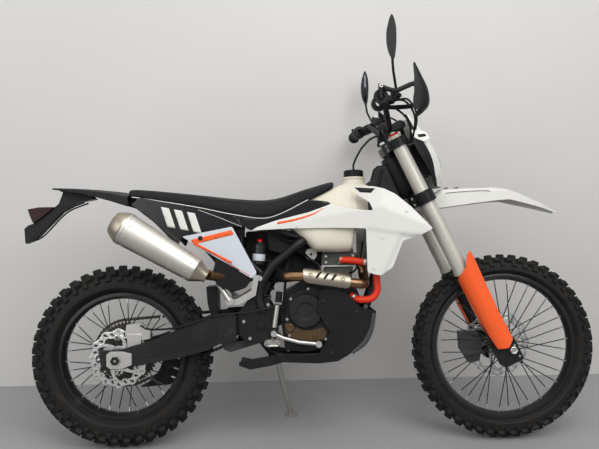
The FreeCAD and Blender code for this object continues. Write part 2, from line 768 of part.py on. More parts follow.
PIVOT_BOSS_RADIUS = 16.0
ARM_SHARES = (
    (0.1473, 0.1088), (0.2542, 0.1249), (0.4821, 0.1107), (0.7395, 0.0667), (0.8789, 0.0652),
    (0.9396, 0.0577), (1.0828, 0.0819), (1.1074, 0.0225), (1.1065, -0.0424), (0.9677, -0.0693),
    (0.8667, -0.0689), (0.6073, -0.0845), (0.3872, -0.0799), (0.2967, -0.0581), (0.1855, -0.0636),
)
YOKE_SHARES = (
    (-0.0359, 0.0244), (0.0045, 0.0486), (0.1917, 0.0977), (0.2215, -0.0366), (0.0238, -0.0385),
    (-0.0230, -0.0337),
)
BRIDGE_SHARES = ((0.1828, 0.1034), (0.2708, 0.1191), (0.3062, -0.0407), (0.2150, -0.0419))
AXLE_BLOCK_SHARES = (
    (1.0495, 0.0516), (1.0215, 0.0664), (0.9416, 0.0487), (0.8835, 0.0186), (0.8996, -0.0540),
    (0.9665, -0.0639), (1.0464, -0.0462), (1.0656, -0.0210),
)


def swingarm():
    """Return the swingarm: two tapering arms, the bridge and the pivot yoke."""
    pieces = [slab(BRIDGE_SHARES, -ARM_IN - OVERRUN, ARM_IN + OVERRUN, on_arm)]
    for side in (1, -1):
        pieces.append(slab(ARM_SHARES, side * ARM_IN, side * (ARM_IN + ARM_WALL), on_arm))
        yoke_out = PIVOT_PLATE_IN if side < 0 else CHAIN_OFFSET - CHAIN_WIDTH / 2 - BRAKE_GAP
        pieces.append(slab(YOKE_SHARES, side * YOKE_IN, side * (yoke_out - SEAT_GAP), on_arm))
    pieces.append(
        rod(
            place(SWING_PIVOT_SHARE, YOKE_IN), place(SWING_PIVOT_SHARE, PIVOT_PLATE_IN - SEAT_GAP),
            PIVOT_BOSS_RADIUS,
        ),
    )
    body = fused(pieces)
    pivot = rod(
        place(SWING_PIVOT_SHARE, -PIVOT_PLATE_IN), place(SWING_PIVOT_SHARE, PIVOT_PLATE_IN),
        AXLE_RADIUS,
    )
    axle_hole = rod(
        REAR_AXLE - vec(0, REAR_AXLE_HALF_LENGTH, 0), REAR_AXLE + vec(0, REAR_AXLE_HALF_LENGTH, 0),
        AXLE_RADIUS,
    )
    return largest(body.cut(Part.makeCompound([pivot, axle_hole])))


def pivot_bolt():
    """Return the swingarm's pivot bolt with its heads outside the frame plates."""
    reach = PIVOT_PLATE_IN + PIVOT_PLATE_WALL
    bolt = rod(
        place(SWING_PIVOT_SHARE, -reach - OVERRUN), place(SWING_PIVOT_SHARE, reach + OVERRUN),
        AXLE_RADIUS,
    )
    head_end = reach + OVERRUN * 2
    pieces = [bolt]
    for side in (1, -1):
        pieces.append(rod(place(SWING_PIVOT_SHARE, side * reach), place(SWING_PIVOT_SHARE, side * head_end),
                          PIVOT_BOSS_RADIUS))
    return fused(pieces)


SPACER_RADIUS = 17.0
AXLE_NUT_RADIUS = 13.0


def rear_axle():
    """Return the rear axle with its spacers and the two axle blocks."""
    outer = ARM_IN + ARM_WALL
    bar = rod(
        REAR_AXLE - vec(0, REAR_AXLE_HALF_LENGTH, 0), REAR_AXLE + vec(0, REAR_AXLE_HALF_LENGTH, 0),
        AXLE_RADIUS,
    )
    pieces = [bar]
    for side, hub_end in ((-1, REAR_DISC_OFFSET - DISC_WALL / 2), (1, CHAIN_OFFSET - SPROCKET_WALL / 2)):
        pieces.append(rod(REAR_AXLE + vec(0, side * (hub_end + PIVOT_GAP + DISC_WALL + SPROCKET_WALL), 0),
                          REAR_AXLE + vec(0, side * ARM_IN, 0), SPACER_RADIUS))
        pieces.append(slab(AXLE_BLOCK_SHARES, side * outer, side * (outer + AXLE_BLOCK_WALL), on_arm))
        pieces.append(
            rod(
                REAR_AXLE + vec(0, side * (outer + AXLE_BLOCK_WALL / 2), 0),
                REAR_AXLE + vec(0, side * (REAR_AXLE_HALF_LENGTH + OVERRUN / 2), 0),
                AXLE_NUT_RADIUS,
            ),
        )
    return fused(pieces)


CALIPER_SHARES = (
    (0.8941, 0.2115), (0.7936, 0.2006), (0.7440, 0.1325), (0.7552, 0.0817), (0.8391, 0.0812),
    (0.9207, 0.1431),
)
REAR_CALIPER_Y = (56.0, 84.0)
CALIPER_LUG_SHARES = ((0.9041, 0.1489), (0.8097, 0.1280), (0.8355, 0.0118), (0.9319, 0.0065))


def rear_caliper():
    """Return the rear brake caliper round its disc."""
    block = slab(CALIPER_SHARES, -REAR_CALIPER_Y[1], -REAR_CALIPER_Y[0], on_arm)
    gap = DISC_WALL / 2 + BRAKE_GAP
    slot = ring_plate(REAR_AXLE, REAR_DISC_RADIUS + BRAKE_GAP, HUB_BORE_RADIUS, -REAR_DISC_OFFSET - gap,
                      -REAR_DISC_OFFSET + gap)
    lug = slab(CALIPER_LUG_SHARES, -ARM_IN + SEAT_GAP, -REAR_DISC_OFFSET - gap, on_arm)
    return fused([largest(block.cut(slot)), lug])


CHAIN_GUIDE_SHARES = (
    (0.9129, -0.0625), (0.8548, -0.0753), (0.6218, -0.0812), (0.6588, -0.2483), (0.7514, -0.2963),
    (0.9543, -0.2666), (0.9770, -0.1968),
)
CHAIN_GUIDE_IN = 60.0
CHAIN_GUIDE_OUT = 84.0
CHAIN_GUIDE_EAR_SHARES = ((0.8278, -0.0394), (0.6604, -0.0575), (0.6756, -0.1265), (0.8455, -0.1193))


def chain_guide(arm):
    """Return the block that leads the chain's lower run on to the rear chain wheel."""
    block = slab(CHAIN_GUIDE_SHARES, CHAIN_GUIDE_IN, CHAIN_GUIDE_OUT, on_arm)
    gap = DISC_WALL
    swept = ring_plate(REAR_AXLE, pitch_radius(REAR_TEETH) + CHAIN_HEIGHT, HUB_BORE_RADIUS,
                       CHAIN_GUIDE_IN - OVERRUN, CHAIN_GUIDE_OUT + OVERRUN)
    front = place(FRONT_SPROCKET_SHARE)
    clear = loop_face(REAR_AXLE, pitch_radius(REAR_TEETH) + CHAIN_HEIGHT / 2 + gap, front,
                      pitch_radius(FRONT_TEETH) + CHAIN_HEIGHT / 2 + gap,
                      CHAIN_OFFSET - CHAIN_WIDTH / 2 - gap / 2)
    way = clear.extrude(vec(0, CHAIN_WIDTH + gap, 0))
    ear = slab(CHAIN_GUIDE_EAR_SHARES, CHAIN_GUIDE_OUT - OVERRUN, ARM_IN + ARM_WALL - OVERRUN, on_arm)
    return seated(fused([largest(block.cut(Part.makeCompound([swept, way]))), ear]), arm)


# Engine

CASE_SHARES = (
    (-0.0883, 0.5302), (-0.0745, 0.6108), (-0.0276, 0.649), (0.0138, 0.6363), (0.1034, 0.6384),
    (0.1186, 0.5811), (0.1103, 0.4666), (0.0772, 0.3945), (-0.0276, 0.3733), (-0.0772, 0.3818),
    (-0.0841, 0.4666),
)
COVER_SHARES = (
    (-0.0772, 0.4984), (-0.0662, 0.5938), (-0.0138, 0.632), (0.0483, 0.6151), (0.0717, 0.5514),
    (0.0634, 0.456), (0.0276, 0.4157), (-0.0414, 0.4072), (-0.0717, 0.4348),
)
CLUTCH_SHARE = (-0.0241, 0.5355)
STATOR_SHARE = (0.0138, 0.4984)
BARREL_SHARES = ((0.0248, 0.6341), (0.0966, 0.6341), (0.1034, 0.7084), (0.0317, 0.7084))
HEAD_SHARES = ((0.0193, 0.7088), (0.1076, 0.7088), (0.1131, 0.7593), (0.0234, 0.7593))
CAM_COVER_SHARES = (
    (0.0303, 0.7597), (0.1048, 0.7597), (0.1007, 0.7975), (0.0828, 0.8102), (0.0483, 0.8102),
    (0.0331, 0.7932),
)
THROTTLE_SHARES = ((0.0221, 0.7402), (-0.0207, 0.7635), (-0.0607, 0.7922))
BOOT_SHARES = ((-0.0609, 0.7923), (-0.131, 0.8059), (-0.1807, 0.8081))
BOOT_Y = 57.0
BOOT_RADIUS = 21.0
THROTTLE_RADIUS = 24.0


def crankcase():
    """Return the crankcase with the front chain wheel on its output shaft."""
    case = slab(CASE_SHARES, -CASE_HALF_WIDTH, CASE_HALF_WIDTH - COVER_WALL)
    cover = slab(COVER_SHARES, -CASE_HALF_WIDTH - COVER_WALL, -CASE_HALF_WIDTH)
    stator = rod(place(STATOR_SHARE, CASE_HALF_WIDTH - COVER_WALL - OVERRUN),
                 place(STATOR_SHARE, CASE_HALF_WIDTH + STATOR_COVER_WALL), STATOR_COVER_RADIUS)
    centre = place(FRONT_SPROCKET_SHARE)
    shaft = rod(
        place(FRONT_SPROCKET_SHARE, 0), place(FRONT_SPROCKET_SHARE, CHAIN_OFFSET + SPROCKET_WALL),
        AXLE_RADIUS,
    )
    wheel = sprocket(centre, FRONT_TEETH, AXLE_RADIUS / 2, 0)
    boss = rod(
        place(FRONT_SPROCKET_SHARE, -YOKE_IN),
        place(FRONT_SPROCKET_SHARE, CASE_HALF_WIDTH - COVER_WALL), SPACER_RADIUS * 2,
    )
    return fused([case, cover, stator, shaft, wheel, boss])


def clutch_cover():
    """Return the round clutch cover with its raised centre ring."""
    inner = CASE_HALF_WIDTH + COVER_WALL
    centre = place(CLUTCH_SHARE)
    half = CLUTCH_COVER_WALL / 2
    return turned([
        (0, -inner),
        (CLUTCH_COVER_RADIUS, -inner),
        (CLUTCH_COVER_RADIUS, -inner - half),
        (CLUTCH_COVER_RADIUS - half, -inner - CLUTCH_COVER_WALL),
        (CLUTCH_COVER_RADIUS / 2, -inner - CLUTCH_COVER_WALL),
        (CLUTCH_COVER_RADIUS / 2 - half / 2, -inner - CLUTCH_COVER_WALL + half / 2),
        (0, -inner - CLUTCH_COVER_WALL + half / 2),
    ], centre)


def cylinder():
    """Return the barrel, cylinder head and cam cover."""
    barrel = slab(BARREL_SHARES, -BARREL_HALF_WIDTH, BARREL_HALF_WIDTH)
    head = slab(HEAD_SHARES, -HEAD_HALF_WIDTH, HEAD_HALF_WIDTH)
    joint = slab((BARREL_SHARES[3], BARREL_SHARES[2], HEAD_SHARES[1], HEAD_SHARES[0]), -BARREL_HALF_WIDTH,
                 BARREL_HALF_WIDTH)
    joint_up = slab((HEAD_SHARES[3], HEAD_SHARES[2], CAM_COVER_SHARES[1], CAM_COVER_SHARES[0]),
                    -CAM_COVER_HALF_WIDTH, CAM_COVER_HALF_WIDTH)
    cover = slab(CAM_COVER_SHARES, -CAM_COVER_HALF_WIDTH, CAM_COVER_HALF_WIDTH)
    return fused([barrel, head, joint, joint_up, cover])


def throttle_body():
    """Return the throttle body behind the cylinder head."""
    points = [place(THROTTLE_SHARES[0]), place(THROTTLE_SHARES[1]), place(THROTTLE_SHARES[2], BOOT_Y / 2)]
    return pipe(points, THROTTLE_RADIUS, PIPE_BEND)


AIRBOX_SHARES = (
    (-0.1807, 0.9035), (-0.331, 0.9332), (-0.3448, 0.9183), (-0.3034, 0.8165), (-0.2559, 0.7317),
    (-0.2448, 0.667), (-0.2103, 0.6246), (-0.1807, 0.649),
)
AIRBOX_HALF = 64.0


def airbox():
    """Return the airbox under the seat with its boot to the throttle body."""
    box = slab(AIRBOX_SHARES, -AIRBOX_HALF, AIRBOX_HALF)
    boot = pipe(
        [
            place(BOOT_SHARES[0], BOOT_Y / 2), place(BOOT_SHARES[1], BOOT_Y),
            place(BOOT_SHARES[2], BOOT_Y - OVERRUN),
            place(BOOT_SHARES[2], BOOT_Y - OVERRUN) + vec(-OVERRUN * 2, 0, 0),
        ],
        BOOT_RADIUS, PIPE_BEND,
    )
    return fused([box, boot])


# Exhaust

HEADER_SHARES = (
    (0.109, 0.7338), (0.1269, 0.7084), (0.1297, 0.6702), (0.131, 0.6426), (0.1214, 0.6384),
    (0.0966, 0.6426),
)
MID_PIPE_SHARES = (
    (-0.0262, 0.6723), (-0.0662, 0.6723), (-0.109, 0.6723), (-0.1807, 0.6787), (-0.2276, 0.6744),
    (-0.2634, 0.685),
)
SILENCER_FRONT_SHARE = (-0.2938, 0.7031)
SILENCER_REAR_SHARE = (-0.4662, 0.8643)
MID_PIPE_SHIFT = 124.0
HEADER_IN_Y = 38.0


def exhaust_pipe():
    """Return the exhaust pipe from the cylinder head to the silencer."""
    head_y = -BARREL_HALF_WIDTH / 3
    points = [
        place(HEADER_SHARES[0], head_y),
        place(HEADER_SHARES[1], -HEADER_IN_Y),
        place(HEADER_SHARES[2], -HEADER_IN_Y),
        place(HEADER_SHARES[3], -HEADER_IN_Y * 2),
        place(HEADER_SHARES[4], -PIPE_Y),
        place(HEADER_SHARES[5], -PIPE_Y),
        place(MID_PIPE_SHARES[0], -PIPE_Y),
        place(MID_PIPE_SHARES[1], -MID_PIPE_SHIFT),
        place(MID_PIPE_SHARES[2], -PIPE_INBOARD_Y),
        place(MID_PIPE_SHARES[3], -PIPE_INBOARD_Y - PIPE_RADIUS),
        place(MID_PIPE_SHARES[4], -MID_PIPE_SHIFT),
        place(MID_PIPE_SHARES[5], -SILENCER_Y),
    ]
    return pipe(points, PIPE_RADIUS, PIPE_BEND)


def turned_as_silencer(profile):
    """Return what an (along, radius) profile sweeps round the silencer's axis, from its front seam."""
    front = place(SILENCER_FRONT_SHARE, -SILENCER_Y)
    axis = unit(place(SILENCER_REAR_SHARE, -SILENCER_Y) - front)
    return turned_on_axis(profile, front, axis, unit(axis.cross(vec(0, 1, 0))))


def silencer_length():
    """Return the length of the silencer's can between its two seams."""
    return (place(SILENCER_REAR_SHARE) - place(SILENCER_FRONT_SHARE)).Length


def silencer():
    """Return the silencer's front cone and tapered can."""
    length = silencer_length()
    return turned_as_silencer([
        (-SILENCER_CONE_LENGTH, 0),
        (-SILENCER_CONE_LENGTH, PIPE_RADIUS + OVERRUN),
        (0, SILENCER_FRONT_RADIUS),
        (length, SILENCER_REAR_RADIUS),
        (length, 0),
    ])


def silencer_cap():
    """Return the silencer's end cap with its outlet."""
    length = silencer_length()
    end = length + SILENCER_CAP_LENGTH
    return turned_as_silencer([
        (length, 0),
        (length, SILENCER_REAR_RADIUS),
        (end, SILENCER_CAP_RADIUS),
        (end, SILENCER_OUTLET_RADIUS),
        (end - SILENCER_OUTLET_DEPTH, SILENCER_OUTLET_RADIUS),
        (end - SILENCER_OUTLET_DEPTH, 0),
    ])


SHIELD_SHARES = (
    (-0.0276, 0.7084), (0.0276, 0.7126), (0.0966, 0.6787), (0.1159, 0.6532), (0.0966, 0.6235),
    (0.0414, 0.6151), (-0.0276, 0.6405), (-0.0386, 0.6744),
)


BOSS_SHARES = (0.04, 0.92)
BOSS_RADIUS = 9.0


def heat_shield(pipe_piece):
    """Return the curved shield over the outer side of the exhaust pipe."""
    start = place(MID_PIPE_SHARES[0], -PIPE_Y)
    end = place(HEADER_SHARES[5], -PIPE_Y)
    along = unit(end - start) * (PIPE_RADIUS * 2)
    outer = rod(start - along, end + along, PIPE_RADIUS + SHIELD_GAP + SHIELD_WALL)
    inner = rod(start - along * 2, end + along * 2, PIPE_RADIUS + SHIELD_GAP)
    outline = slab(SHIELD_SHARES, -PIPE_Y - PIPE_RADIUS * 3, -PIPE_Y - PIPE_RADIUS / 3)
    shell = largest(outer.cut(inner).common(outline))
    pieces = [shell]
    for share in (BOSS_SHARES[0], BOSS_SHARES[1]):
        centre = start + (end - start) * share
        reach = vec(0, PIPE_RADIUS + SHIELD_GAP + SHIELD_WALL, 0)
        pieces.append(
            rod(
                centre - vec(0, PIPE_RADIUS / 2, 0), centre - reach - vec(0, SHIELD_WALL / 2, 0),
                BOSS_RADIUS,
            ),
        )
    return seated(fused(pieces), pipe_piece)


# Shock absorber

SHOCK_TOP_SHARE = (-0.0834, 0.7359)
SHOCK_LOW_SHARE = (0.1956, -0.1090)
LINK_SHARES = (
    (0.3061, -0.0750), (0.2932, -0.1198), (0.2537, -0.1476), (0.0411, -0.1338), (0.0262, -0.1180),
    (0.0502, -0.0975),
)
RESERVOIR_SHARES = ((-0.1379, 0.8123), (-0.1434, 0.7169))
CUP_SHARES = (0.1, 0.14, 0.78, 0.82)
LINK_HALF = 34.0
LINK_WALL = 8.0
RESERVOIR_NECK_RADIUS = 10.0


def rear_shock():
    """Return the shock absorber with its spring, reservoir and eyes."""
    top = place(SHOCK_TOP_SHARE)
    low = on_arm(SHOCK_LOW_SHARE)
    way = low - top
    pieces = [
        rod(top, top + way * CUP_SHARES[1], SHOCK_BODY_RADIUS),
        rod(top + way * CUP_SHARES[0], top + way * CUP_SHARES[3], SPRING_RADIUS),
        rod(top + way * CUP_SHARES[2], low, SHOCK_ROD_RADIUS),
        rod(low - vec(0, SHOCK_BODY_RADIUS, 0), low + vec(0, SHOCK_BODY_RADIUS, 0), CROSS_RADIUS),
        rod(
            place(RESERVOIR_SHARES[0], -RESERVOIR_Y), place(RESERVOIR_SHARES[1], -RESERVOIR_Y),
            RESERVOIR_RADIUS,
        ),
    ]
    neck = (place(RESERVOIR_SHARES[0], -RESERVOIR_Y) + place(RESERVOIR_SHARES[1], -RESERVOIR_Y)) * 0.5
    pieces.append(rod(neck, top + way * CUP_SHARES[1], RESERVOIR_NECK_RADIUS))
    return fused(pieces)


def linkage():
    """Return the pair of link plates under the swingarm, joined by their pins."""
    plates = []
    for side in (1, -1):
        plates.append(slab(LINK_SHARES, side * LINK_HALF, side * (LINK_HALF + LINK_WALL), on_arm))
    pin = rod(
        on_arm(SHOCK_LOW_SHARE, -LINK_HALF - OVERRUN), on_arm(SHOCK_LOW_SHARE, LINK_HALF + OVERRUN),
        AXLE_RADIUS,
    )
    return fused(plates + [pin])


# Guards and cooling

SKID_SHARES = (
    (0.0034, 0.5376), (0.0138, 0.6172), (0.0448, 0.631), (0.0841, 0.597), (0.1145, 0.5483),
    (0.1538, 0.5334), (0.1503, 0.4867), (0.1338, 0.4316), (0.1, 0.3807), (0.0566, 0.3404),
    (0.0076, 0.333), (-0.0834, 0.3404), (-0.1138, 0.3277), (-0.1655, 0.315), (-0.1931, 0.3298),
    (-0.1931, 0.3436), (-0.1441, 0.3563), (-0.1076, 0.369), (0.0055, 0.3669), (0.0262, 0.4168),
    (0.0366, 0.4528),
)
SKID_INNER_SHARES = (
    (-0.2069, 0.6787), (0.1655, 0.6787), (0.15, 0.5334), (0.1466, 0.4889), (0.1307, 0.4348),
    (0.0979, 0.3855), (0.0559, 0.3457), (0.0076, 0.3383), (-0.0841, 0.3457), (-0.1145, 0.333),
    (-0.1655, 0.3203), (-0.2069, 0.3351),
)


def wedge(low_half, top_half, z_low, z_top, x_from, x_to):
    """Return a long block whose sides open upwards."""
    face = polygon_face(
        [
            vec(x_from, -low_half, z_low), vec(x_from, low_half, z_low),
            vec(x_from, top_half, z_top), vec(x_from, -top_half, z_top),
        ],
    )
    return face.extrude(vec(x_to - x_from, 0, 0))


SKID_BOX_SHARES = ((-0.2069, 0.3075), (0.1655, 0.6575))
STAND_NOTCH_SHARES = ((-0.2069, 0.2969), (-0.069, 0.4242))
STAND_NOTCH_Y = 86.0


def skid_plate():
    """Return the moulded skid plate with its two side wings."""
    low = place(SKID_BOX_SHARES[0])
    high = place(SKID_BOX_SHARES[1])
    outer = slab(SKID_SHARES, -SKID_TOP_HALF, SKID_TOP_HALF)
    outer = outer.common(wedge(SKID_LOW_HALF, SKID_TOP_HALF, low.z, high.z, low.x, high.x))
    inner = slab(SKID_INNER_SHARES, -SKID_TOP_HALF, SKID_TOP_HALF)
    inner = inner.common(wedge(SKID_LOW_HALF - SKID_WALL, SKID_TOP_HALF - SKID_WALL, low.z, high.z,
                               low.x - OVERRUN, high.x))
    notch = slab(
        (
            STAND_NOTCH_SHARES[0], (STAND_NOTCH_SHARES[1][0], STAND_NOTCH_SHARES[0][1]),
            STAND_NOTCH_SHARES[1], (STAND_NOTCH_SHARES[0][0], STAND_NOTCH_SHARES[1][1]),
        ),
        STAND_NOTCH_Y, SKID_TOP_HALF,
    )
    return largest(outer.cut(inner).cut(notch))


RADIATOR_SHARES = ((0.1338, 0.702), (0.1572, 0.6935), (0.1766, 0.8547), (0.1531, 0.8632))


RADIATOR_TAB_SHARES = ((0.1586, 0.7794), (0.1807, 0.7869))
RADIATOR_TAB_RADIUS = 7.0


def radiators(frame_piece):
    """Return the two radiators with the tabs that hold them to the down tube."""
    core = slab(RADIATOR_SHARES, -RADIATOR_OUT, -RADIATOR_IN)
    tab = rod(
        place(RADIATOR_TAB_SHARES[0], -RADIATOR_IN - OVERRUN),
        place(RADIATOR_TAB_SHARES[1], -OVERRUN), RADIATOR_TAB_RADIUS,
    )
    return both_sides(seated(fused([core, tab]), frame_piece))


TOP_HOSE_SHARES = ((0.0669, 0.7317), (0.0966, 0.7296), (0.1393, 0.719))
LOW_HOSE_SHARES = ((0.0931, 0.5938), (0.1103, 0.5748), (0.1462, 0.5779), (0.16, 0.6066), (0.1572, 0.6999))


def coolant_hoses(cores):
    """Return the two coolant hoses on the near side."""
    top = [
        place(TOP_HOSE_SHARES[0], -HEAD_HALF_WIDTH - HOSE_RADIUS - SEAT_GAP),
        place(TOP_HOSE_SHARES[1], -86), place(TOP_HOSE_SHARES[2], -96),
    ]
    low = [place(share, -y) for share, y in zip(LOW_HOSE_SHARES, (92, 108, 108, 106, 104))]
    hoses = [pipe(top, HOSE_RADIUS, HOSE_RADIUS * 3), pipe(low, HOSE_RADIUS, HOSE_RADIUS * 3)]
    return Part.makeCompound([seated(hose, *cores.Solids) for hose in hoses])


# Tank

TANK_HALF = 133.0
TANK_STATION_SHARES = (
    (-0.0586, 0.8653, 0.9311, 0.36, 0.25),
    (-0.0241, 0.7975, 0.9608, 0.74, 0.4),
    (0.0138, 0.7656, 0.9905, 0.93, 0.5),
    (0.0621, 0.7593, 1.0265, 1.0, 0.56),
    (0.0979, 0.7826, 1.0456, 0.99, 0.57),
    (0.1414, 0.878, 1.035, 0.81, 0.53),
    (0.1807, 0.9247, 0.9905, 0.47, 0.33),
)
TANK_RING_SHARES = ((0.45, 0.0), (0.86, 0.02), (1.0, 0.25), (0.95, 0.62))
TANK_TOP_ROUND_SHARE = 0.93
NECK_SHARES = ((0.1124, 1.0074), (0.1124, 1.0668))
TUNNEL_SHARES = ((-0.0828, 0.6787), (0.2069, 0.6787), (0.2069, 0.9565), (-0.0828, 0.8399))
SKIRT_SHARES = ((-0.0828, 0.6787), (0.2069, 0.6787), (0.2069, 0.8293), (-0.0828, 0.8187))
CAP_RIM = 4.0


def tank_section(station):
    """Return one closed cross section of the tank."""
    x, z_low, z_top, half_share, top_share = station
    half = half_share * TANK_HALF
    low = z_low * SEAT_HEIGHT
    height = z_top * SEAT_HEIGHT - low
    right = [vec(x * WHEELBASE, -half * wide, low + height * up) for wide, up in TANK_RING_SHARES]
    right.append(vec(x * WHEELBASE, -top_share * TANK_HALF, low + height * TANK_TOP_ROUND_SHARE))
    left = [vec(point.x, -point.y, point.z) for point in reversed(right)]
    curve = Part.BSplineCurve()
    curve.interpolate(Points=right + left, PeriodicFlag=True)
    return Part.Wire(curve.toShape())


def fuel_tank(frame_piece, seat_piece, *others):
    """Return the tank with its filler neck, open below over the frame and the engine."""
    body = across_lofted([tank_section(station) for station in TANK_STATION_SHARES])
    foot = place(NECK_SHARES[0])
    neck = taper(foot, place(NECK_SHARES[1]), NECK_FOOT_RADIUS, NECK_RADIUS)
    body = body.fuse(neck)
    tunnel = slab(TUNNEL_SHARES, -TANK_TUNNEL_HALF, TANK_TUNNEL_HALF)
    skirt = slab(SKIRT_SHARES, -TANK_SKIRT_HALF, TANK_SKIRT_HALF)
    return seated(body, tunnel, skirt, frame_piece, seat_piece, *others)


def fuel_cap():
    """Return the filler cap with its grip notches and the spigot of its vent."""
    base = place(NECK_SHARES[1])
    up = vec(0, 0, 1)
    cap = turned_on_axis(
        [
            (0, 0), (0, CAP_RADIUS), (CAP_HEIGHT - CAP_RIM, CAP_RADIUS),
            (CAP_HEIGHT, CAP_RADIUS - CAP_RIM), (CAP_HEIGHT, VENT_RADIUS * 2),
            (CAP_HEIGHT + CAP_RIM, VENT_RADIUS * 2), (CAP_HEIGHT + CAP_RIM, 0),
        ],
        base, up, vec(1, 0, 0),
    )
    notches = []
    for k in range(12):
        turn = rad(30 * k)
        notches.append(
            Part.makeCylinder(
                CAP_RIM, CAP_HEIGHT - CAP_RIM * 2,
                base + vec(CAP_RADIUS * math.cos(turn), CAP_RADIUS * math.sin(turn), CAP_RIM),
            ),
        )
    return cap.cut(Part.makeCompound(notches))


VENT_SHARES = (
    (0.1124, 1.0986), (0.1124, 1.1198), (0.1214, 1.1516), (0.1352, 1.1877), (0.1559, 1.2216),
    (0.1766, 1.2386),
)


def vent_hose():
    """Return the vent hose from the filler cap into the steering stem."""
    start = place(NECK_SHARES[1]) + vec(0, 0, CAP_HEIGHT + CAP_RIM)
    points = [start] + [place(share) for share in VENT_SHARES[1:]]
    top = TOP_CLAMP_RISE + TOP_CLAMP_HEIGHT / 2 + STEM_TOP_STANDOUT
    points.append(on_fork(top + VENT_RADIUS * 5))
    points.append(on_fork(top - VENT_RADIUS))
    return pipe(points, VENT_RADIUS, VENT_RADIUS * 8)


# Seat

SEAT_HALF = 108.0
SEAT_STATION_SHARES = (
    (-0.4731, 0.9947, 1.0265, 0.66),
    (-0.4138, 0.9809, 1.0201, 0.80),
    (-0.2966, 0.948, 1.0, 0.98),
    (-0.2069, 0.9183, 0.9841, 1.0),
    (-0.131, 0.9014, 0.9767, 0.92),
    (-0.0814, 0.9205, 0.9873, 0.82),
    (-0.0166, 0.9703, 1.0191, 0.72),
    (0.0579, 1.0244, 1.0498, 0.56),
)
SEAT_EDGE_SHARE = 0.55


def seat_section(station):
    """Return one closed cross section of the seat."""
    x, z_low, z_top, half_share = station
    half = half_share * SEAT_HALF
    low = vec(x * WHEELBASE, 0, z_low * SEAT_HEIGHT)
    top = vec(x * WHEELBASE, 0, z_top * SEAT_HEIGHT)
    edge = low + (top - low) * SEAT_EDGE_SHARE
    side = vec(0, half, 0)
    return Part.Wire([
        line(low - side, low + side),
        line(low + side, edge + side),
        arc(edge + side, top, edge - side),
        line(edge - side, low - side),
    ])


def seat():
    """Return the long seat as one closed cushion."""
    return across_lofted([seat_section(station) for station in SEAT_STATION_SHARES])


# Side panels and shrouds, cut from thin curved skins

SKIN_SHARES = (-0.4966, -0.331, -0.1793, -0.0621, 0.0, 0.0655, 0.131, 0.2069, 0.3034)
SHROUD_REACHES = (84.0, 96.0, 110.0, 126.0, 137.0, 150.0, 171.0, 187.0, 178.0)
COVER_REACHES = (88.0, 100.0, 112.0, 119.0, 124.0, 128.0, 130.0, 130.0, 130.0)


def skin(reaches, z_low, z_high, wall=PANEL_WALL):
    """Return a thin upright wall that follows a plan-view curve on the right side."""
    def curve_at(shift, z):
        spline = Part.BSplineCurve()
        spline.interpolate(Points=[vec(share * WHEELBASE, -reach - shift, z)
                                   for share, reach in zip(SKIN_SHARES, reaches)])
        return spline
    outer = curve_at(0, z_low)
    inner = curve_at(-wall, z_low)
    ends = [line(outer.StartPoint, inner.StartPoint), line(outer.EndPoint, inner.EndPoint)]
    face = Part.Face(Part.Wire(Part.sortEdges([outer.toShape(), inner.toShape()] + ends)[0]))
    return face.extrude(vec(0, 0, z_high - z_low))


def panel(shares, reaches, wall=PANEL_WALL):
    """Return a curved panel with a side-view outline, on the right side."""
    heights = [share[1] * SEAT_HEIGHT for share in shares]
    wall_body = skin(reaches, min(heights) - OVERRUN, max(heights) + OVERRUN, wall)
    outline = slab(shares, -max(reaches) - OVERRUN, -min(reaches) + wall + OVERRUN)
    return largest(wall_body.common(outline))


SHROUD_SHARES = (
    (-0.1593, 0.8494), (-0.0628, 0.86), (0.0655, 0.859), (0.131, 0.8547), (0.131, 0.684),
    (0.1628, 0.6713), (0.1931, 0.702), (0.2193, 0.8059), (0.2393, 0.8123), (0.2669, 0.8271),
    (0.2938, 0.8484), (0.2414, 0.9311), (0.2021, 0.982), (0.1752, 1.0032), (0.1483, 1.0138),
    (0.0945, 1.0148), (0.1103, 0.9809), (0.1379, 0.9523), (0.1462, 0.9205), (0.0966, 0.9247),
    (0.0421, 0.9417), (-0.0138, 0.8971), (-0.0966, 0.8696),
)
WEDGE_SHARES = (
    (-0.1786, 0.8674), (-0.1579, 0.851), (-0.0966, 0.8712), (-0.0138, 0.8987), (0.0414, 0.9433),
    (0.0428, 0.9544), (0.0345, 0.9608), (-0.0097, 0.9698), (-0.0455, 0.9396), (-0.0938, 0.9077),
    (-0.1186, 0.8971), (-0.1421, 0.8929), (-0.1931, 0.9014), (-0.1862, 0.8802),
)
NUMBER_SHARES = (
    (-0.4634, 0.9608), (-0.4414, 0.9883), (-0.2869, 0.9374), (-0.2069, 0.912), (-0.1952, 0.9014),
    (-0.1807, 0.8664), (-0.2069, 0.8696), (-0.3352, 0.8335), (-0.3448, 0.7932), (-0.3724, 0.8378),
    (-0.4041, 0.8887),
)
LOWER_PANEL_SHARES = (
    (-0.3348, 0.8331), (-0.2066, 0.8691), (-0.1455, 0.6872), (-0.1579, 0.6649), (-0.2855, 0.7847),
)


SHROUD_BOSS_SHARE = (0.1683, 0.8165)
SHROUD_BOSS_REACH = 178.0
SHROUD_BOSS_RADIUS = 9.0


def radiator_shrouds(cores):
    """Return the two radiator shrouds, each with its boss on the radiator."""
    boss = rod(
        place(SHROUD_BOSS_SHARE, -RADIATOR_OUT + OVERRUN),
        place(SHROUD_BOSS_SHARE, -SHROUD_BOSS_REACH), SHROUD_BOSS_RADIUS,
    )
    return both_sides(seated(fused([panel(SHROUD_SHARES, SHROUD_REACHES), boss]), *cores.Solids))


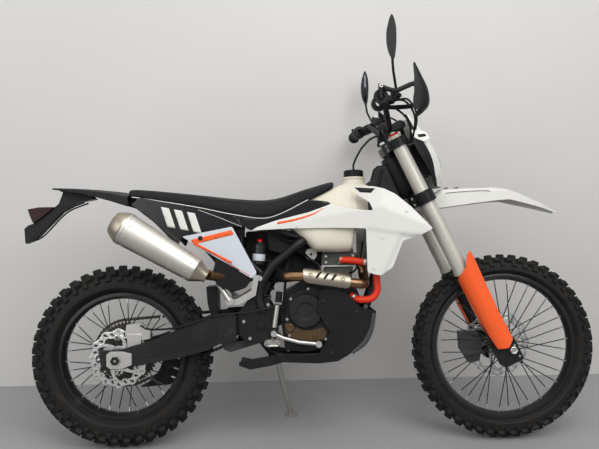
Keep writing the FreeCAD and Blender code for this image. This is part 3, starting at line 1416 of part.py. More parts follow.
def side_covers(seat_piece):
    """Return the dark covers under the seat: a front wedge and a rear panel on each side."""
    front = seated(panel(WEDGE_SHARES, COVER_REACHES), seat_piece)
    rear = seated(panel(NUMBER_SHARES, COVER_REACHES), seat_piece)
    return Part.makeCompound([front, rear, mirrored(front), mirrored(rear)])


def lower_panels():
    """Return the two pale lower side panels."""
    return both_sides(panel(LOWER_PANEL_SHARES, COVER_REACHES))


# Rear fender, plate holder and tail lamp

REAR_FENDER_SHARES = (-0.4733, -0.5241, -0.5931, -0.6731)
REAR_FENDER_TOPS = (1.0095, 1.0223, 1.0308, 1.0371)
REAR_FENDER_HALVES = (88.0, 84.0, 70.0, 46.0)
REAR_FENDER_DROPS = (52.0, 40.0, 20.0, 8.0)


def blade(x_shares, z_shares, halves, drops, wall):
    """Return a fender blade: a thin arched strip whose sides turn down."""
    def ring(shift, narrow):
        wires = []
        for x_share, z_share, half, drop in zip(x_shares, z_shares, halves, drops):
            x = x_share * WHEELBASE
            z = z_share * SEAT_HEIGHT - shift
            wide = half - narrow
            foot = -shift if shift else 0
            low = z_share * SEAT_HEIGHT - drop
            wires.append(Part.Wire([
                line(vec(x, -wide, low - shift * 2), vec(x, -wide, z - drop / 3)),
                arc(vec(x, -wide, z - drop / 3), vec(x, 0, z), vec(x, wide, z - drop / 3)),
                line(vec(x, wide, z - drop / 3), vec(x, wide, low - shift * 2)),
                line(vec(x, wide, low - shift * 2), vec(x, -wide, low - shift * 2)),
            ]))
        return Part.makeLoft(wires, True, True)
    return largest(ring(0, 0).cut(ring(wall, wall)))


def rear_fender():
    """Return the rear fender behind the seat."""
    return blade(REAR_FENDER_SHARES, REAR_FENDER_TOPS, REAR_FENDER_HALVES, REAR_FENDER_DROPS, FENDER_WALL)


HOLDER_SHARES = (
    (-0.5683, 0.9905), (-0.6083, 0.9809), (-0.6552, 0.9417), (-0.7186, 0.8431), (-0.7483, 0.8155),
    (-0.751, 0.8749), (-0.7407, 0.8887), (-0.7241, 0.8971), (-0.6897, 0.9374), (-0.6621, 0.9735),
    (-0.6483, 1.0308), (-0.5931, 1.0265),
)
HOLDER_HALF = 22.0
INDICATOR_SHARE = (-0.7241, 0.9183)
INDICATOR_REACH = 112.0
INDICATOR_RADIUS = 11.0
LAMP_SHARES = (
    (-0.6724, 0.9597), (-0.7103, 0.9597), (-0.7393, 0.9523), (-0.7338, 0.9258), (-0.7255, 0.8961),
    (-0.691, 0.9353),
)
LAMP_HALF = 34.0


def plate_holder():
    """Return the plate holder arm with its two pointed indicators."""
    arm = slab(HOLDER_SHARES, -HOLDER_HALF, HOLDER_HALF)
    pieces = [arm]
    for side in (1, -1):
        root = place(INDICATOR_SHARE, 0)
        tip = place(INDICATOR_SHARE, side * INDICATOR_REACH)
        neck = place(INDICATOR_SHARE, side * INDICATOR_REACH / 2)
        pieces.append(rod(root, neck, INDICATOR_RADIUS / 2))
        pieces.append(taper(neck, tip, INDICATOR_RADIUS, INDICATOR_RADIUS / 2))
    return fused(pieces)


def tail_lamp(holder):
    """Return the tail lamp on the holder."""
    return seated(slab(LAMP_SHARES, -LAMP_HALF, LAMP_HALF), holder)


MUDGUARD_SHARES = (
    (-0.2786, 0.6331), (-0.249, 0.6363), (-0.2483, 0.5302), (-0.2458, 0.5175), (-0.2458, 0.4899),
    (-0.2566, 0.4984), (-0.2703, 0.5302), (-0.2759, 0.5726),
)
MUDGUARD_HALF = 52.0


def inner_mudguard():
    """Return the flap between the rear wheel and the shock absorber."""
    return slab(MUDGUARD_SHARES, -MUDGUARD_HALF, MUDGUARD_HALF)


# Foot controls

PEG_SHARES = ((-0.1283, 0.4327), (-0.0862, 0.4327), (-0.089, 0.4051), (-0.1255, 0.4051))
PEG_IN = 98.0
PEG_OUT = 200.0
PEG_TOOTH = 6.0
PEG_TEETH = 8


def foot_peg():
    """Return the right toothed foot peg."""
    body = slab(PEG_SHARES, -PEG_OUT, -PEG_IN)
    pitch = (PEG_OUT - PEG_IN) / PEG_TEETH
    top = place(PEG_SHARES[0])
    end = place(PEG_SHARES[1])
    cuts = []
    for k in range(PEG_TEETH):
        start = -PEG_OUT + pitch * (k + 0.25)
        cuts.append(Part.makeBox(end.x - top.x + OVERRUN * 2, pitch / 2, PEG_TOOTH + OVERRUN,
                                 vec(top.x - OVERRUN, start, top.z - PEG_TOOTH)))
    return largest(body.cut(Part.makeCompound(cuts)))


PEDAL_SHARES = ((-0.1048, 0.4539), (-0.0814, 0.4369), (-0.0414, 0.4199), (0.0069, 0.4115))
PEDAL_RADIUS = 7.0
PEDAL_Y = 136.0


def brake_pedal():
    """Return the rear brake pedal beside the engine."""
    arm = pipe([place(share, -PEDAL_Y) for share in PEDAL_SHARES], PEDAL_RADIUS, PEDAL_RADIUS * 4)
    pivot = rod(place(PEDAL_SHARES[0], -PIVOT_PLATE_IN - PIVOT_PLATE_WALL - SEAT_GAP),
                place(PEDAL_SHARES[0], -PEDAL_Y - PEDAL_RADIUS), PEDAL_RADIUS * 1.5)
    tip = place(PEDAL_SHARES[-1], -PEDAL_Y)
    pad = rod(tip - vec(0, PEDAL_RADIUS * 2, 0), tip + vec(0, PEDAL_RADIUS * 2, 0), PEDAL_RADIUS * 1.6)
    return fused([arm, pivot, pad])


SHIFT_SHARES = ((-0.0662, 0.4369), (-0.0276, 0.4284), (0.0248, 0.4221))
SHIFT_Y = 104.0


def shift_lever():
    """Return the gear lever on the left side."""
    points = [place(SHIFT_SHARES[0], SHIFT_Y), place(SHIFT_SHARES[1], SHIFT_Y + PEDAL_RADIUS),
              place(SHIFT_SHARES[2], SHIFT_Y + PEDAL_RADIUS * 2)]
    arm = pipe(points, PEDAL_RADIUS, PEDAL_RADIUS * 4)
    spline = rod(
        place(SHIFT_SHARES[0], CASE_HALF_WIDTH - COVER_WALL), place(SHIFT_SHARES[0], SHIFT_Y),
        PEDAL_RADIUS,
    )
    tip = points[-1]
    toe = rod(tip, tip + vec(0, SHIFT_Y / 3, 0), PEDAL_RADIUS)
    return fused([arm, spline, toe])


HANGER_SHARES = (
    (-0.1393, 0.6787), (-0.1531, 0.6787), (-0.16, 0.6204), (-0.1945, 0.5896), (-0.2221, 0.5811),
    (-0.2234, 0.5642), (-0.1903, 0.5663), (-0.149, 0.6002),
)
HANGER_IN = SPAR_HALF_GAP + SPAR_RADIUS + SEAT_GAP
HANGER_BOSS_SHARE = (-0.1379, 0.666)
HANGER_WALL = 9.0
FOLDED_PEG_SHARES = ((-0.2138, 0.5811), (-0.2428, 0.649))


def passenger_pegs(frame_piece):
    """Return the two passenger peg hangers with their pegs folded up."""
    plate = slab(HANGER_SHARES, -HANGER_IN - HANGER_WALL, -HANGER_IN)
    start = place(FOLDED_PEG_SHARES[0], -HANGER_IN - HANGER_WALL)
    end = place(FOLDED_PEG_SHARES[1], -HANGER_IN - HANGER_WALL)
    knuckle = rod(start, start - vec(0, HANGER_WALL, 0), HANGER_WALL * 1.6)
    boss = rod(
        place(HANGER_BOSS_SHARE, -HANGER_IN - OVERRUN), place(HANGER_BOSS_SHARE, -SPAR_HALF_GAP),
        HANGER_WALL,
    )
    peg = rod(start - vec(0, HANGER_WALL / 2, 0), end, HANGER_WALL)
    return both_sides(seated(fused([plate, knuckle, boss, peg]), frame_piece))


# Fork and steering

def tube_on_fork(profile, y):
    """Return the solid of a (rise, radius) profile round a fork leg."""
    return turned_on_axis(profile, on_fork(0, CLAMP_OFFSET, y), STEER_UP, STEER_AHEAD)


def fork_tubes():
    """Return the two outer fork tubes."""
    top = TOP_CLAMP_RISE + TOP_CLAMP_HEIGHT / 2 + FORK_TOP_STANDOUT
    waist = LOWER_CLAMP_RISE + LOWER_CLAMP_HEIGHT
    end = OUTER_TUBE_END_RISE
    profile = [
        (top, 0), (top, FORK_TOP_RADIUS), (waist, FORK_TOP_RADIUS + PANEL_WALL / 2),
        (LOWER_CLAMP_RISE - LOWER_CLAMP_HEIGHT / 2, FORK_OUTER_RADIUS),
        (end + FORK_COLLAR_LENGTH, FORK_OUTER_RADIUS),
        (end + FORK_COLLAR_LENGTH, FORK_COLLAR_RADIUS), (end, FORK_COLLAR_RADIUS),
        (end, STANCHION_RADIUS), (end + STANCHION_OVERLAP, STANCHION_RADIUS),
        (end + STANCHION_OVERLAP, 0),
    ]
    return Part.makeCompound([tube_on_fork(profile, side * LEG_SPREAD) for side in (1, -1)])


def fork_lowers():
    """Return the two stanchions with their axle lugs, joined by the front axle."""
    pieces = []
    low = AXLE_RISE - LUG_HEIGHT / 2
    for side in (1, -1):
        y = side * LEG_SPREAD
        top = OUTER_TUBE_END_RISE + STANCHION_OVERLAP
        pieces.append(
            rod(on_fork(AXLE_RISE, CLAMP_OFFSET, y), on_fork(top, CLAMP_OFFSET, y), STANCHION_RADIUS),
        )
        lug = Part.makeBox(LUG_DEPTH + STANCHION_RADIUS, LUG_WIDTH, LUG_HEIGHT,
                           vec(-STANCHION_RADIUS, y - LUG_WIDTH / 2, 0))
        lug = lug.makeFillet(LUG_WIDTH / 4, [edge for edge in lug.Edges if abs(edge.tangentAt(0).y) > 0.9])
        lug.rotate(vec(0, 0, 0), vec(0, 1, 0), -RAKE_DEG)
        lug.translate(on_fork(low, CLAMP_OFFSET))
        pieces.append(lug)
        pieces.append(rod(FRONT_AXLE + vec(0, side * (LEG_SPREAD - LUG_WIDTH / 2 + OVERRUN), 0),
                          FRONT_AXLE + vec(0, side * (FRONT_DISC_OFFSET + DISC_WALL), 0), SPACER_RADIUS))
    pieces.append(
        rod(
            FRONT_AXLE - vec(0, FRONT_AXLE_HALF_LENGTH, 0),
            FRONT_AXLE + vec(0, FRONT_AXLE_HALF_LENGTH, 0), AXLE_RADIUS,
        ),
    )
    return fused(pieces)


def clamp(rise, height, bore):
    """Return one fork clamp with its rings round the legs."""
    low = rise - height / 2
    high = rise + height / 2
    pieces = []
    for side in (1, -1):
        y = side * LEG_SPREAD
        pieces.append(
            rod(on_fork(low, CLAMP_OFFSET, y), on_fork(high, CLAMP_OFFSET, y), bore + CLAMP_RING_WALL),
        )
    web = Part.makeBox(CLAMP_WEB_DEPTH, LEG_SPREAD * 2, height, vec(-CLAMP_WEB_DEPTH / 2, -LEG_SPREAD, 0))
    web.rotate(vec(0, 0, 0), vec(0, 1, 0), -RAKE_DEG)
    web.translate(on_fork(low, CLAMP_OFFSET / 2))
    return pieces + [web]


def triple_clamps(tubes):
    """Return the upper and lower fork clamps joined by the steering stem."""
    pieces = clamp(TOP_CLAMP_RISE, TOP_CLAMP_HEIGHT, FORK_TOP_RADIUS)
    pieces += clamp(LOWER_CLAMP_RISE, LOWER_CLAMP_HEIGHT, FORK_OUTER_RADIUS)
    top = TOP_CLAMP_RISE + TOP_CLAMP_HEIGHT / 2 + STEM_TOP_STANDOUT
    low = LOWER_CLAMP_RISE - LOWER_CLAMP_HEIGHT / 2
    pieces.append(rod(on_fork(low), on_fork(top), STEM_RADIUS))
    for side in (1, -1):
        y = side * BAR_MOUNT_SPREAD
        pieces.append(
            rod(on_fork(TOP_CLAMP_RISE, BAR_MOUNT_LEAD, y), fork_place(BAR_SHARES[0], y), BAR_RADIUS * 1.7),
        )
        ring_end = fork_place(BAR_SHARES[0], y - BAR_RADIUS)
        pieces.append(rod(ring_end, ring_end + vec(0, BAR_RADIUS * 2, 0), BAR_RADIUS * 2))
    bore = rod(on_fork(top - CAP_HEIGHT * 2), on_fork(top + OVERRUN), STEM_BORE_RADIUS)
    bar_way = rod(
        fork_place(BAR_SHARES[0], -BAR_MOUNT_SPREAD * 2),
        fork_place(BAR_SHARES[0], BAR_MOUNT_SPREAD * 2), BAR_RADIUS,
    )
    return largest(fused(pieces).cut(Part.makeCompound([bore, bar_way] + tubes.Solids)))


BAR_MOUNT_SPREAD = 46.0
BAR_MOUNT_LEAD = 24.0
BAR_SHARES = ((1.0515, 0.0222), (1.0515, 0.0222), (1.1059, 0.0175), (1.1143, -0.019))
BAR_YS = (0.0, 88.0, 205.0)


def handlebar():
    """Return the handlebar."""
    half = [fork_place(share, y) for share, y in zip(BAR_SHARES[1:3], BAR_YS[1:])]
    half.append(fork_place(BAR_SHARES[3], BAR_HALF_LENGTH - OVERRUN))
    other = [vec(point.x, -point.y, point.z) for point in reversed(half)]
    return pipe(other + half, BAR_RADIUS, BAR_BEND)


def along_bar(share, side):
    """Return a point on the handlebar's outer run and the run's direction outwards."""
    inner = fork_place(BAR_SHARES[2], BAR_YS[2])
    outer = fork_place(BAR_SHARES[3], BAR_HALF_LENGTH - OVERRUN)
    point = inner + (outer - inner) * share
    ahead = unit(outer - inner)
    return vec(point.x, point.y * side, point.z), vec(ahead.x, ahead.y * side, ahead.z)


LEVER_LEADS = (28.0, 66.0, 62.0, 44.0)
LEVER_ALONG_SHARES = (0.17, 0.26, 0.5, 0.92)


def controls(bar):
    """Return grips, switch perches and the two hand levers."""
    pieces = []
    for side in (1, -1):
        end, ahead = along_bar(1.0, side)
        pieces.append(tube(end - ahead * GRIP_LENGTH, end - ahead * SEAT_GAP, GRIP_RADIUS, BAR_RADIUS))
        perch_at, ahead = along_bar(LEVER_ALONG_SHARES[0], side)
        points = []
        for share, lead in zip(LEVER_ALONG_SHARES, LEVER_LEADS):
            base, ahead = along_bar(share, side)
            points.append(base + STEER_AHEAD * lead)
        perch = tube(
            perch_at - ahead * PERCH_LENGTH / 2, perch_at + ahead * PERCH_LENGTH / 2, PERCH_RADIUS,
            BAR_RADIUS,
        )
        arm = rod(perch_at + STEER_AHEAD * (BAR_RADIUS + OVERRUN), points[0], PERCH_RADIUS * 0.5)
        lever = pipe(points, LEVER_RADIUS, LEVER_RADIUS * 5)
        pieces.append(fused([perch, arm, lever]))
    return Part.makeCompound([seated(piece, bar) for piece in pieces])


GUARD_STRAP_SHARES = (
    (1.116, -0.0244), (1.1177, 0.0268), (1.0934, 0.089), (1.0677, 0.1127), (1.0546, 0.0759),
    (1.1001, 0.0184),
)
GUARD_STRAP_YS = (406.0, 404.0, 398.0, 330.0, 262.0, 196.0)
GUARD_STRAP_RADIUS = 7.0
GUARD_SHIELD_SHARES = (
    (1.1446, 0.1098), (1.1062, 0.1149), (1.0801, 0.1168), (1.0479, 0.1051), (1.0285, 0.0778),
)
GUARD_SHIELD_YS = (262.0, 392.0)


def hand_guards(bar):
    """Return the two hand guards: a strap from the bar end and the shield in front."""
    route = [fork_place(share, -y) for share, y in zip(GUARD_STRAP_SHARES, GUARD_STRAP_YS)]
    strap = pipe(route, GUARD_STRAP_RADIUS, GUARD_STRAP_RADIUS * 4)
    front = [fork_place(share, -GUARD_SHIELD_YS[1]) for share in GUARD_SHIELD_SHARES]
    rear = [point + STEER_AHEAD * -FENDER_WALL for point in reversed(front)]
    face = polygon_face(front + rear)
    shield = face.extrude(vec(0, GUARD_SHIELD_YS[1] - GUARD_SHIELD_YS[0], 0))
    return both_sides(seated(fused([strap, shield]), bar))


MIRROR_STEM_SHARES = ((1.1118, 0.024), (1.1202, 0.0478), (1.1705, 0.0556), (1.2027, 0.0673))
MIRROR_STEM_YS = (250.0, 290.0, 336.0, 346.0)
MIRROR_HEAD_SHARES = (
    (1.1983, 0.0652), (1.2201, 0.0648), (1.2592, 0.0772), (1.2934, 0.0998), (1.3083, 0.1177),
    (1.2938, 0.118), (1.255, 0.1049), (1.2157, 0.0834),
)
MIRROR_HEAD_YS = (342.0, 356.0)


def mirrors(perches):
    """Return the two mirrors on their stems."""
    stem = pipe(
        [fork_place(share, -y) for share, y in zip(MIRROR_STEM_SHARES, MIRROR_STEM_YS)],
        MIRROR_STEM_RADIUS, MIRROR_STEM_RADIUS * 6,
    )
    head = slab(MIRROR_HEAD_SHARES, -MIRROR_HEAD_YS[1], -MIRROR_HEAD_YS[0], fork_place, smooth_face)
    return both_sides(seated(fused([stem, head]), *perches.Solids))


GUARD_SIDE_SHARES = (
    (0.6083, 0.0475), (0.6151, 0.0615), (0.6083, 0.0682), (0.5163, 0.063), (0.413, 0.0587),
    (0.3651, 0.0611), (0.3265, 0.0607), (0.3101, 0.0349), (0.3176, 0.0078), (0.3593, 0.0034),
    (0.5368, -0.0046), (0.5583, -0.0006), (0.577, 0.0281),
)
FORK_GUARD_RADIUS = 46.0
FORK_GUARD_LEAD = 18.0
FORK_GUARD_INNER_Y = 88.0


def fork_guards(lowers, tubes):
    """Return the two shields in front of the lower fork legs."""
    y = -LEG_SPREAD - FENDER_WALL
    low = on_fork(AXLE_RISE - LUG_HEIGHT, CLAMP_OFFSET + FORK_GUARD_LEAD, y)
    high = on_fork(OUTER_TUBE_END_RISE + LUG_HEIGHT * 2, CLAMP_OFFSET + FORK_GUARD_LEAD, y)
    shell = tube(low, high, FORK_GUARD_RADIUS, FORK_GUARD_RADIUS - FENDER_WALL)
    outline = slab(GUARD_SIDE_SHARES, -LEG_SPREAD - FORK_GUARD_RADIUS * 2, -FORK_GUARD_INNER_Y, fork_place)
    return both_sides(seated(shell.common(outline), *lowers.Solids, *tubes.Solids))


FRONT_FENDER_SHARES = (0.2828, 0.3048, 0.3255, 0.3441, 0.4138, 0.4814, 0.5145, 0.5497, 0.6062, 0.6503)
FRONT_FENDER_TOPS = (0.9449, 0.9611, 0.9968, 1.0138, 1.017, 1.018, 1.0127, 0.9936, 0.9523, 0.9183)
FRONT_FENDER_HALVES = (50.0, 52.0, 56.0, 60.0, 66.0, 70.0, 70.0, 66.0, 50.0, 22.0)
FRONT_FENDER_DROPS = (16.0, 26.0, 60.0, 74.0, 64.0, 54.0, 46.0, 40.0, 22.0, 10.0)


def front_fender(clamps, tubes):
    """Return the high front fender under the lower clamp."""
    body = blade(
        FRONT_FENDER_SHARES, FRONT_FENDER_TOPS, FRONT_FENDER_HALVES, FRONT_FENDER_DROPS,
        FENDER_WALL,
    )
    return seated(body, clamps, *tubes.Solids)


MASK_FRONTS = (
    (0.8189, 0.0984), (0.849, 0.1182), (0.8972, 0.1304), (0.9401, 0.1311), (0.9924, 0.1272),
    (1.0604, 0.1128),
)
MASK_HALVES = (64.0, 96.0, 112.0, 112.0, 96.0, 62.0)
MASK_DEPTHS = (36.0, 64.0, 88.0, 92.0, 70.0, 34.0)
MASK_STAY_SHARE = (0.9696, 0.0767)
MASK_STAY_RADIUS = 7.0


def mask_section(share, half, depth, inset):
    """Return one closed level section of the headlamp mask."""
    front = fork_place(share)
    nose = front - vec(inset, 0, 0)
    rear = vec(-depth, 0, 0)
    wide = half - inset
    return Part.Wire([
        arc(front + rear - vec(0, wide, 0), nose, front + rear + vec(0, wide, 0)),
        line(front + rear + vec(0, wide, 0), front + rear - vec(0, wide, 0)),
    ])


def headlamp_mask(fender, tubes):
    """Return the headlamp mask in front of the fork."""
    outer = Part.makeLoft(
        [mask_section(*row, 0) for row in zip(MASK_FRONTS, MASK_HALVES, MASK_DEPTHS)], True, True,
    )
    inner = Part.makeLoft(
        [mask_section(*row, MASK_WALL) for row in zip(MASK_FRONTS, MASK_HALVES, MASK_DEPTHS)], True,
        True,
    )
    opening = lamp_block(SEAT_GAP)
    pieces = [largest(outer.cut(inner).cut(opening))]
    for side in (1, -1):
        tip = fork_place(MASK_STAY_SHARE, side * (LEG_SPREAD + OVERRUN))
        pieces.append(rod(tip, tip - STEER_AHEAD * (CLAMP_WEB_DEPTH + STANCHION_RADIUS), MASK_STAY_RADIUS))
    return seated(fused(pieces), fender, *tubes.Solids)


LAMP_FRONT_SHARES = ((0.8617, 0.1369), (0.918, 0.1547), (0.9425, 0.1034), (0.8897, 0.0782))
LAMP_WIDE = 52.0


def lamp_block(grow):
    """Return the headlamp's block, grown by a clearance."""
    block = slab(LAMP_FRONT_SHARES, -LAMP_WIDE - grow, LAMP_WIDE + grow, fork_place)
    return block


def headlamp():
    """Return the headlamp behind the mask's opening."""
    outer = Part.makeLoft(
        [mask_section(*row, -SEAT_GAP) for row in zip(MASK_FRONTS, MASK_HALVES, MASK_DEPTHS)], True,
        True,
    )
    return largest(lamp_block(-SEAT_GAP * 2).common(outer))


FRONT_CALIPER_SHARES = (
    (0.3795, -0.0445), (0.3597, 0.0063), (0.3165, 0.0064), (0.2686, -0.0272), (0.2767, -0.0594),
    (0.3282, -0.0654),
)
FRONT_CALIPER_IN = 48.0


def front_caliper(lowers):
    """Return the front brake caliper behind the left fork leg."""
    block = slab(FRONT_CALIPER_SHARES, FRONT_CALIPER_IN, FORK_GUARD_INNER_Y - SEAT_GAP, fork_place)
    gap = DISC_WALL / 2 + BRAKE_GAP
    slot = ring_plate(FRONT_AXLE, FRONT_DISC_RADIUS + BRAKE_GAP, HUB_BORE_RADIUS, FRONT_DISC_OFFSET - gap,
                      FRONT_DISC_OFFSET + gap)
    return seated(block, slot, lowers)


# Side stand

STAND_FOOT_SHARE = (-0.0614, 0.0424)
STAND_FOOT_Y = 251.0


def side_stand():
    """Return the side stand, its foot flat on the floor when the machine leans."""
    pivot = place(STAND_PIVOT_SHARE, STAND_PIVOT_Y)
    foot_x = STAND_FOOT_SHARE[0] * WHEELBASE
    floor = vec(foot_x, STAND_FOOT_Y, STAND_FOOT_Y * math.tan(rad(LEAN_DEG)))
    up = vec(0, -math.sin(rad(LEAN_DEG)), math.cos(rad(LEAN_DEG)))
    leg = rod(
        pivot + unit(floor - pivot) * STAND_PIN_RADIUS, floor + up * (STAND_FOOT_WALL * 0.6),
        STAND_RADIUS,
    )
    sole = Part.makeCylinder(STAND_FOOT_RADIUS, STAND_FOOT_WALL, floor, up)
    axis = stand_axis()
    lug = rod(pivot - axis * STAND_LUG_WALL, pivot + axis * STAND_LUG_WALL, STAND_LUG_RADIUS)
    bore = rod(
        pivot - axis * STAND_LUG_RADIUS, pivot + axis * STAND_LUG_RADIUS,
        STAND_PIN_RADIUS + PIVOT_GAP,
    )
    return largest(fused([leg, sole, lug]).cut(bore))


STAND_FOLD_SHARE = (-0.99, 0.1, 0.05)


def stand_axis():
    """Return the stand's pivot direction, square to its lowered and its folded leg."""
    pivot = place(STAND_PIVOT_SHARE, STAND_PIVOT_Y)
    floor = vec(STAND_FOOT_SHARE[0] * WHEELBASE, STAND_FOOT_Y, STAND_FOOT_Y * math.tan(rad(LEAN_DEG)))
    lowered = unit(floor - pivot)
    folded = unit(vec(*STAND_FOLD_SHARE))
    return unit(lowered.cross(folded))


# Assembly

def build():
    """Return every piece by its node name, on the upright machine."""
    parts = {}
    parts["frame"] = frame()
    parts["subframe"] = seated(subframe(), parts["frame"])
    parts["swingarm"] = swingarm()
    parts["pivot_bolt"] = pivot_bolt()
    parts["rear_axle"] = rear_axle()
    parts["rear_caliper"] = rear_caliper()
    parts["chain"] = chain()
    parts["chain_guide"] = chain_guide(parts["swingarm"])
    parts["crankcase"] = seated(crankcase(), parts["frame"])
    parts["clutch_cover"] = clutch_cover()
    parts["cylinder"] = seated(cylinder(), parts["frame"], parts["crankcase"])
    parts["throttle_body"] = seated(throttle_body(), parts["cylinder"])
    parts["airbox"] = seated(airbox(), parts["frame"], parts["subframe"], parts["throttle_body"])
    parts["exhaust_pipe"] = seated(exhaust_pipe(), parts["cylinder"], parts["frame"], parts["airbox"])
    parts["silencer"] = seated(silencer(), parts["exhaust_pipe"])
    parts["silencer_cap"] = silencer_cap()
    parts["heat_shield"] = heat_shield(parts["exhaust_pipe"])
    parts["linkage"] = seated(linkage(), parts["swingarm"])
    parts["rear_shock"] = seated(rear_shock(), parts["frame"], parts["linkage"])
    parts["skid_plate"] = seated(skid_plate(), parts["frame"], parts["crankcase"])
    parts["radiators"] = radiators(parts["frame"])
    parts["coolant_hoses"] = coolant_hoses(parts["radiators"])
    parts["seat"] = seat()
    parts["fuel_tank"] = fuel_tank(parts["frame"], parts["seat"], parts["cylinder"], parts["subframe"],
                                   *parts["radiators"].Solids,
                                   *parts["coolant_hoses"].Solids)
    parts["fuel_cap"] = fuel_cap()
    parts["vent_hose"] = vent_hose()
    parts["radiator_shrouds"] = radiator_shrouds(parts["radiators"])
    parts["side_covers"] = side_covers(parts["seat"])
    parts["lower_panels"] = lower_panels()
    parts["rear_fender"] = rear_fender()
    parts["plate_holder"] = seated(plate_holder(), parts["rear_fender"])
    parts["tail_lamp"] = tail_lamp(parts["plate_holder"])
    parts["inner_mudguard"] = inner_mudguard()
    parts["foot_pegs"] = both_sides(seated(foot_peg(), parts["frame"]))
    parts["brake_pedal"] = brake_pedal()
    parts["shift_lever"] = shift_lever()
    parts["passenger_pegs"] = passenger_pegs(parts["frame"])
    parts["fork_tubes"] = fork_tubes()
    parts["fork_lowers"] = fork_lowers()
    parts["triple_clamps"] = triple_clamps(parts["fork_tubes"])
    parts["handlebar"] = handlebar()
    parts["controls"] = controls(parts["handlebar"])
    parts["hand_guards"] = hand_guards(parts["handlebar"])
    parts["mirrors"] = mirrors(parts["controls"])
    parts["fork_guards"] = fork_guards(parts["fork_lowers"], parts["fork_tubes"])
    parts["front_fender"] = front_fender(parts["triple_clamps"], parts["fork_tubes"])
    parts["headlamp_mask"] = headlamp_mask(parts["front_fender"], parts["fork_tubes"])
    parts["headlamp"] = headlamp()
    parts["front_caliper"] = front_caliper(parts["fork_lowers"])
    parts["front_tyre"] = tyre(FRONT_AXLE, FRONT_TYRE_RADIUS, FRONT_CROWN_RADIUS, FRONT_BEAD_SEAT_RADIUS,
                               FRONT_RIM_HALF_WIDTH, FRONT_LUG_HEIGHT, FRONT_LUG_ROWS)
    parts["front_wheel"] = front_wheel()
    parts["front_disc"] = brake_disc(FRONT_AXLE, FRONT_DISC_RADIUS, FRONT_DISC_OFFSET,
                                     FRONT_HUB_RADIUS + DISC_ARM_WIDTH / 2)
    parts["rear_tyre"] = tyre(REAR_AXLE, REAR_TYRE_RADIUS, REAR_CROWN_RADIUS, REAR_BEAD_SEAT_RADIUS,
                              REAR_RIM_HALF_WIDTH, REAR_LUG_HEIGHT, REAR_LUG_ROWS)
    parts["rear_wheel"] = rear_wheel()
    parts["rear_disc"] = brake_disc(
        REAR_AXLE, REAR_DISC_RADIUS, -REAR_DISC_OFFSET, REAR_HUB_RADIUS + DISC_ARM_WIDTH / 2,
    )
    parts["rear_sprocket"] = sprocket(
        REAR_AXLE, REAR_TEETH, REAR_HUB_RADIUS - OVERRUN, SPROCKET_HOLE_RADIUS,
    )
    parts["side_stand"] = side_stand()
    return parts


def lean_placement(parts):
    """Return the placement that leans the machine and centres its footprint on the origin."""
    lean = FreeCAD.Placement(vec(0, 0, 0), FreeCAD.Rotation(vec(1, 0, 0), -LEAN_DEG))
    box = FreeCAD.BoundBox()
    for shape in parts.values():
        leaned = shape.copy()
        leaned.Placement = lean.multiply(shape.Placement)
        box.add(leaned.optimalBoundingBox(False))
    shift = vec(-(box.XMin + box.XMax) / 2, -(box.YMin + box.YMax) / 2, -box.ZMin)
    return FreeCAD.Placement(shift, lean.Rotation)


def main():
    """Build every piece, lean it and write its file."""
    os.makedirs("parts", exist_ok=True)
    parts = build()
    placement = lean_placement(parts)
    for name, shape in parts.items():
        shape.Placement = placement.multiply(shape.Placement)
        shape.exportStep(os.path.join("parts", name + ".step"))


if __name__ == "__main__":
    main()
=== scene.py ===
"""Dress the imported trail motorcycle: its plastics, metals, rubber, wheels and finer shapes.

Shapes are worked out on an upright machine in millimetres: X forward, Y to its left and Z up
from the ground line under the middle of the wheelbase. Workshop.to_row leans them over and
sets them where the frame stands.
"""
from __future__ import annotations

import json
import logging
import math
from dataclasses import dataclass, field
from enum import Enum
from typing import Callable, Sequence

import bmesh
import bpy
import numpy as np
from mathutils import Matrix, Vector

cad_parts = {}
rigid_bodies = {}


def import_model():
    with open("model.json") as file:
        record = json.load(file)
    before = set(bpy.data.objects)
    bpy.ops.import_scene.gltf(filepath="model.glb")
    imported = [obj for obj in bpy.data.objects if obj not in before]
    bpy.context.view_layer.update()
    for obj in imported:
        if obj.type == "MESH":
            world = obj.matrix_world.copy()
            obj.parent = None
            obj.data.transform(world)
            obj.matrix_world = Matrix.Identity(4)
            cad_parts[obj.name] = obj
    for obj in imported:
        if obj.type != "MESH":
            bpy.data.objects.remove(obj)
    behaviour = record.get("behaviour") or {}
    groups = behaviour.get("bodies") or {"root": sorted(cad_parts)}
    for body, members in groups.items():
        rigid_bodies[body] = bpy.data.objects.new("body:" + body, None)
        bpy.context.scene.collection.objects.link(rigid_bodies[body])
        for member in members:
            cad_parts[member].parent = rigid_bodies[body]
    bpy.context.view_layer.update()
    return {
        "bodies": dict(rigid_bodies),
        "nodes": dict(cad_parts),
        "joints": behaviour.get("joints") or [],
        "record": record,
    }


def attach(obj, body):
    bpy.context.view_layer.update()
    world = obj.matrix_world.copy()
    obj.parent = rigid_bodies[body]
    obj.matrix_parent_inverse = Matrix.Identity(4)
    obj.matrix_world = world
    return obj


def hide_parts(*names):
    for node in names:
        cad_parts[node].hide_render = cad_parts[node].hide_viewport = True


LOG = logging.getLogger("motorcycle")
MM = 0.001
LEAN = math.radians(8.73)
REAR_AXLE = np.array([-725.0, 0.0, 340.656])
FRONT_AXLE = np.array([725.0, 0.0, 350.492])
RAKE = math.radians(25.5)
STEER_FOOT = np.array([824.593, 0.0, 0.0])
STEER_UP = np.array([-math.sin(RAKE), 0.0, math.cos(RAKE)])
STEER_AHEAD = np.array([math.cos(RAKE), 0.0, math.sin(RAKE)])
LEG_SPREAD = 102.0
LEG_LEAD = 26.0
RIGHT, LEFT, UP = (0, -1, 0), (0, 1, 0), (0, 0, 1)
Points = Sequence[Sequence[float]]
Colour = tuple[float, float, float]


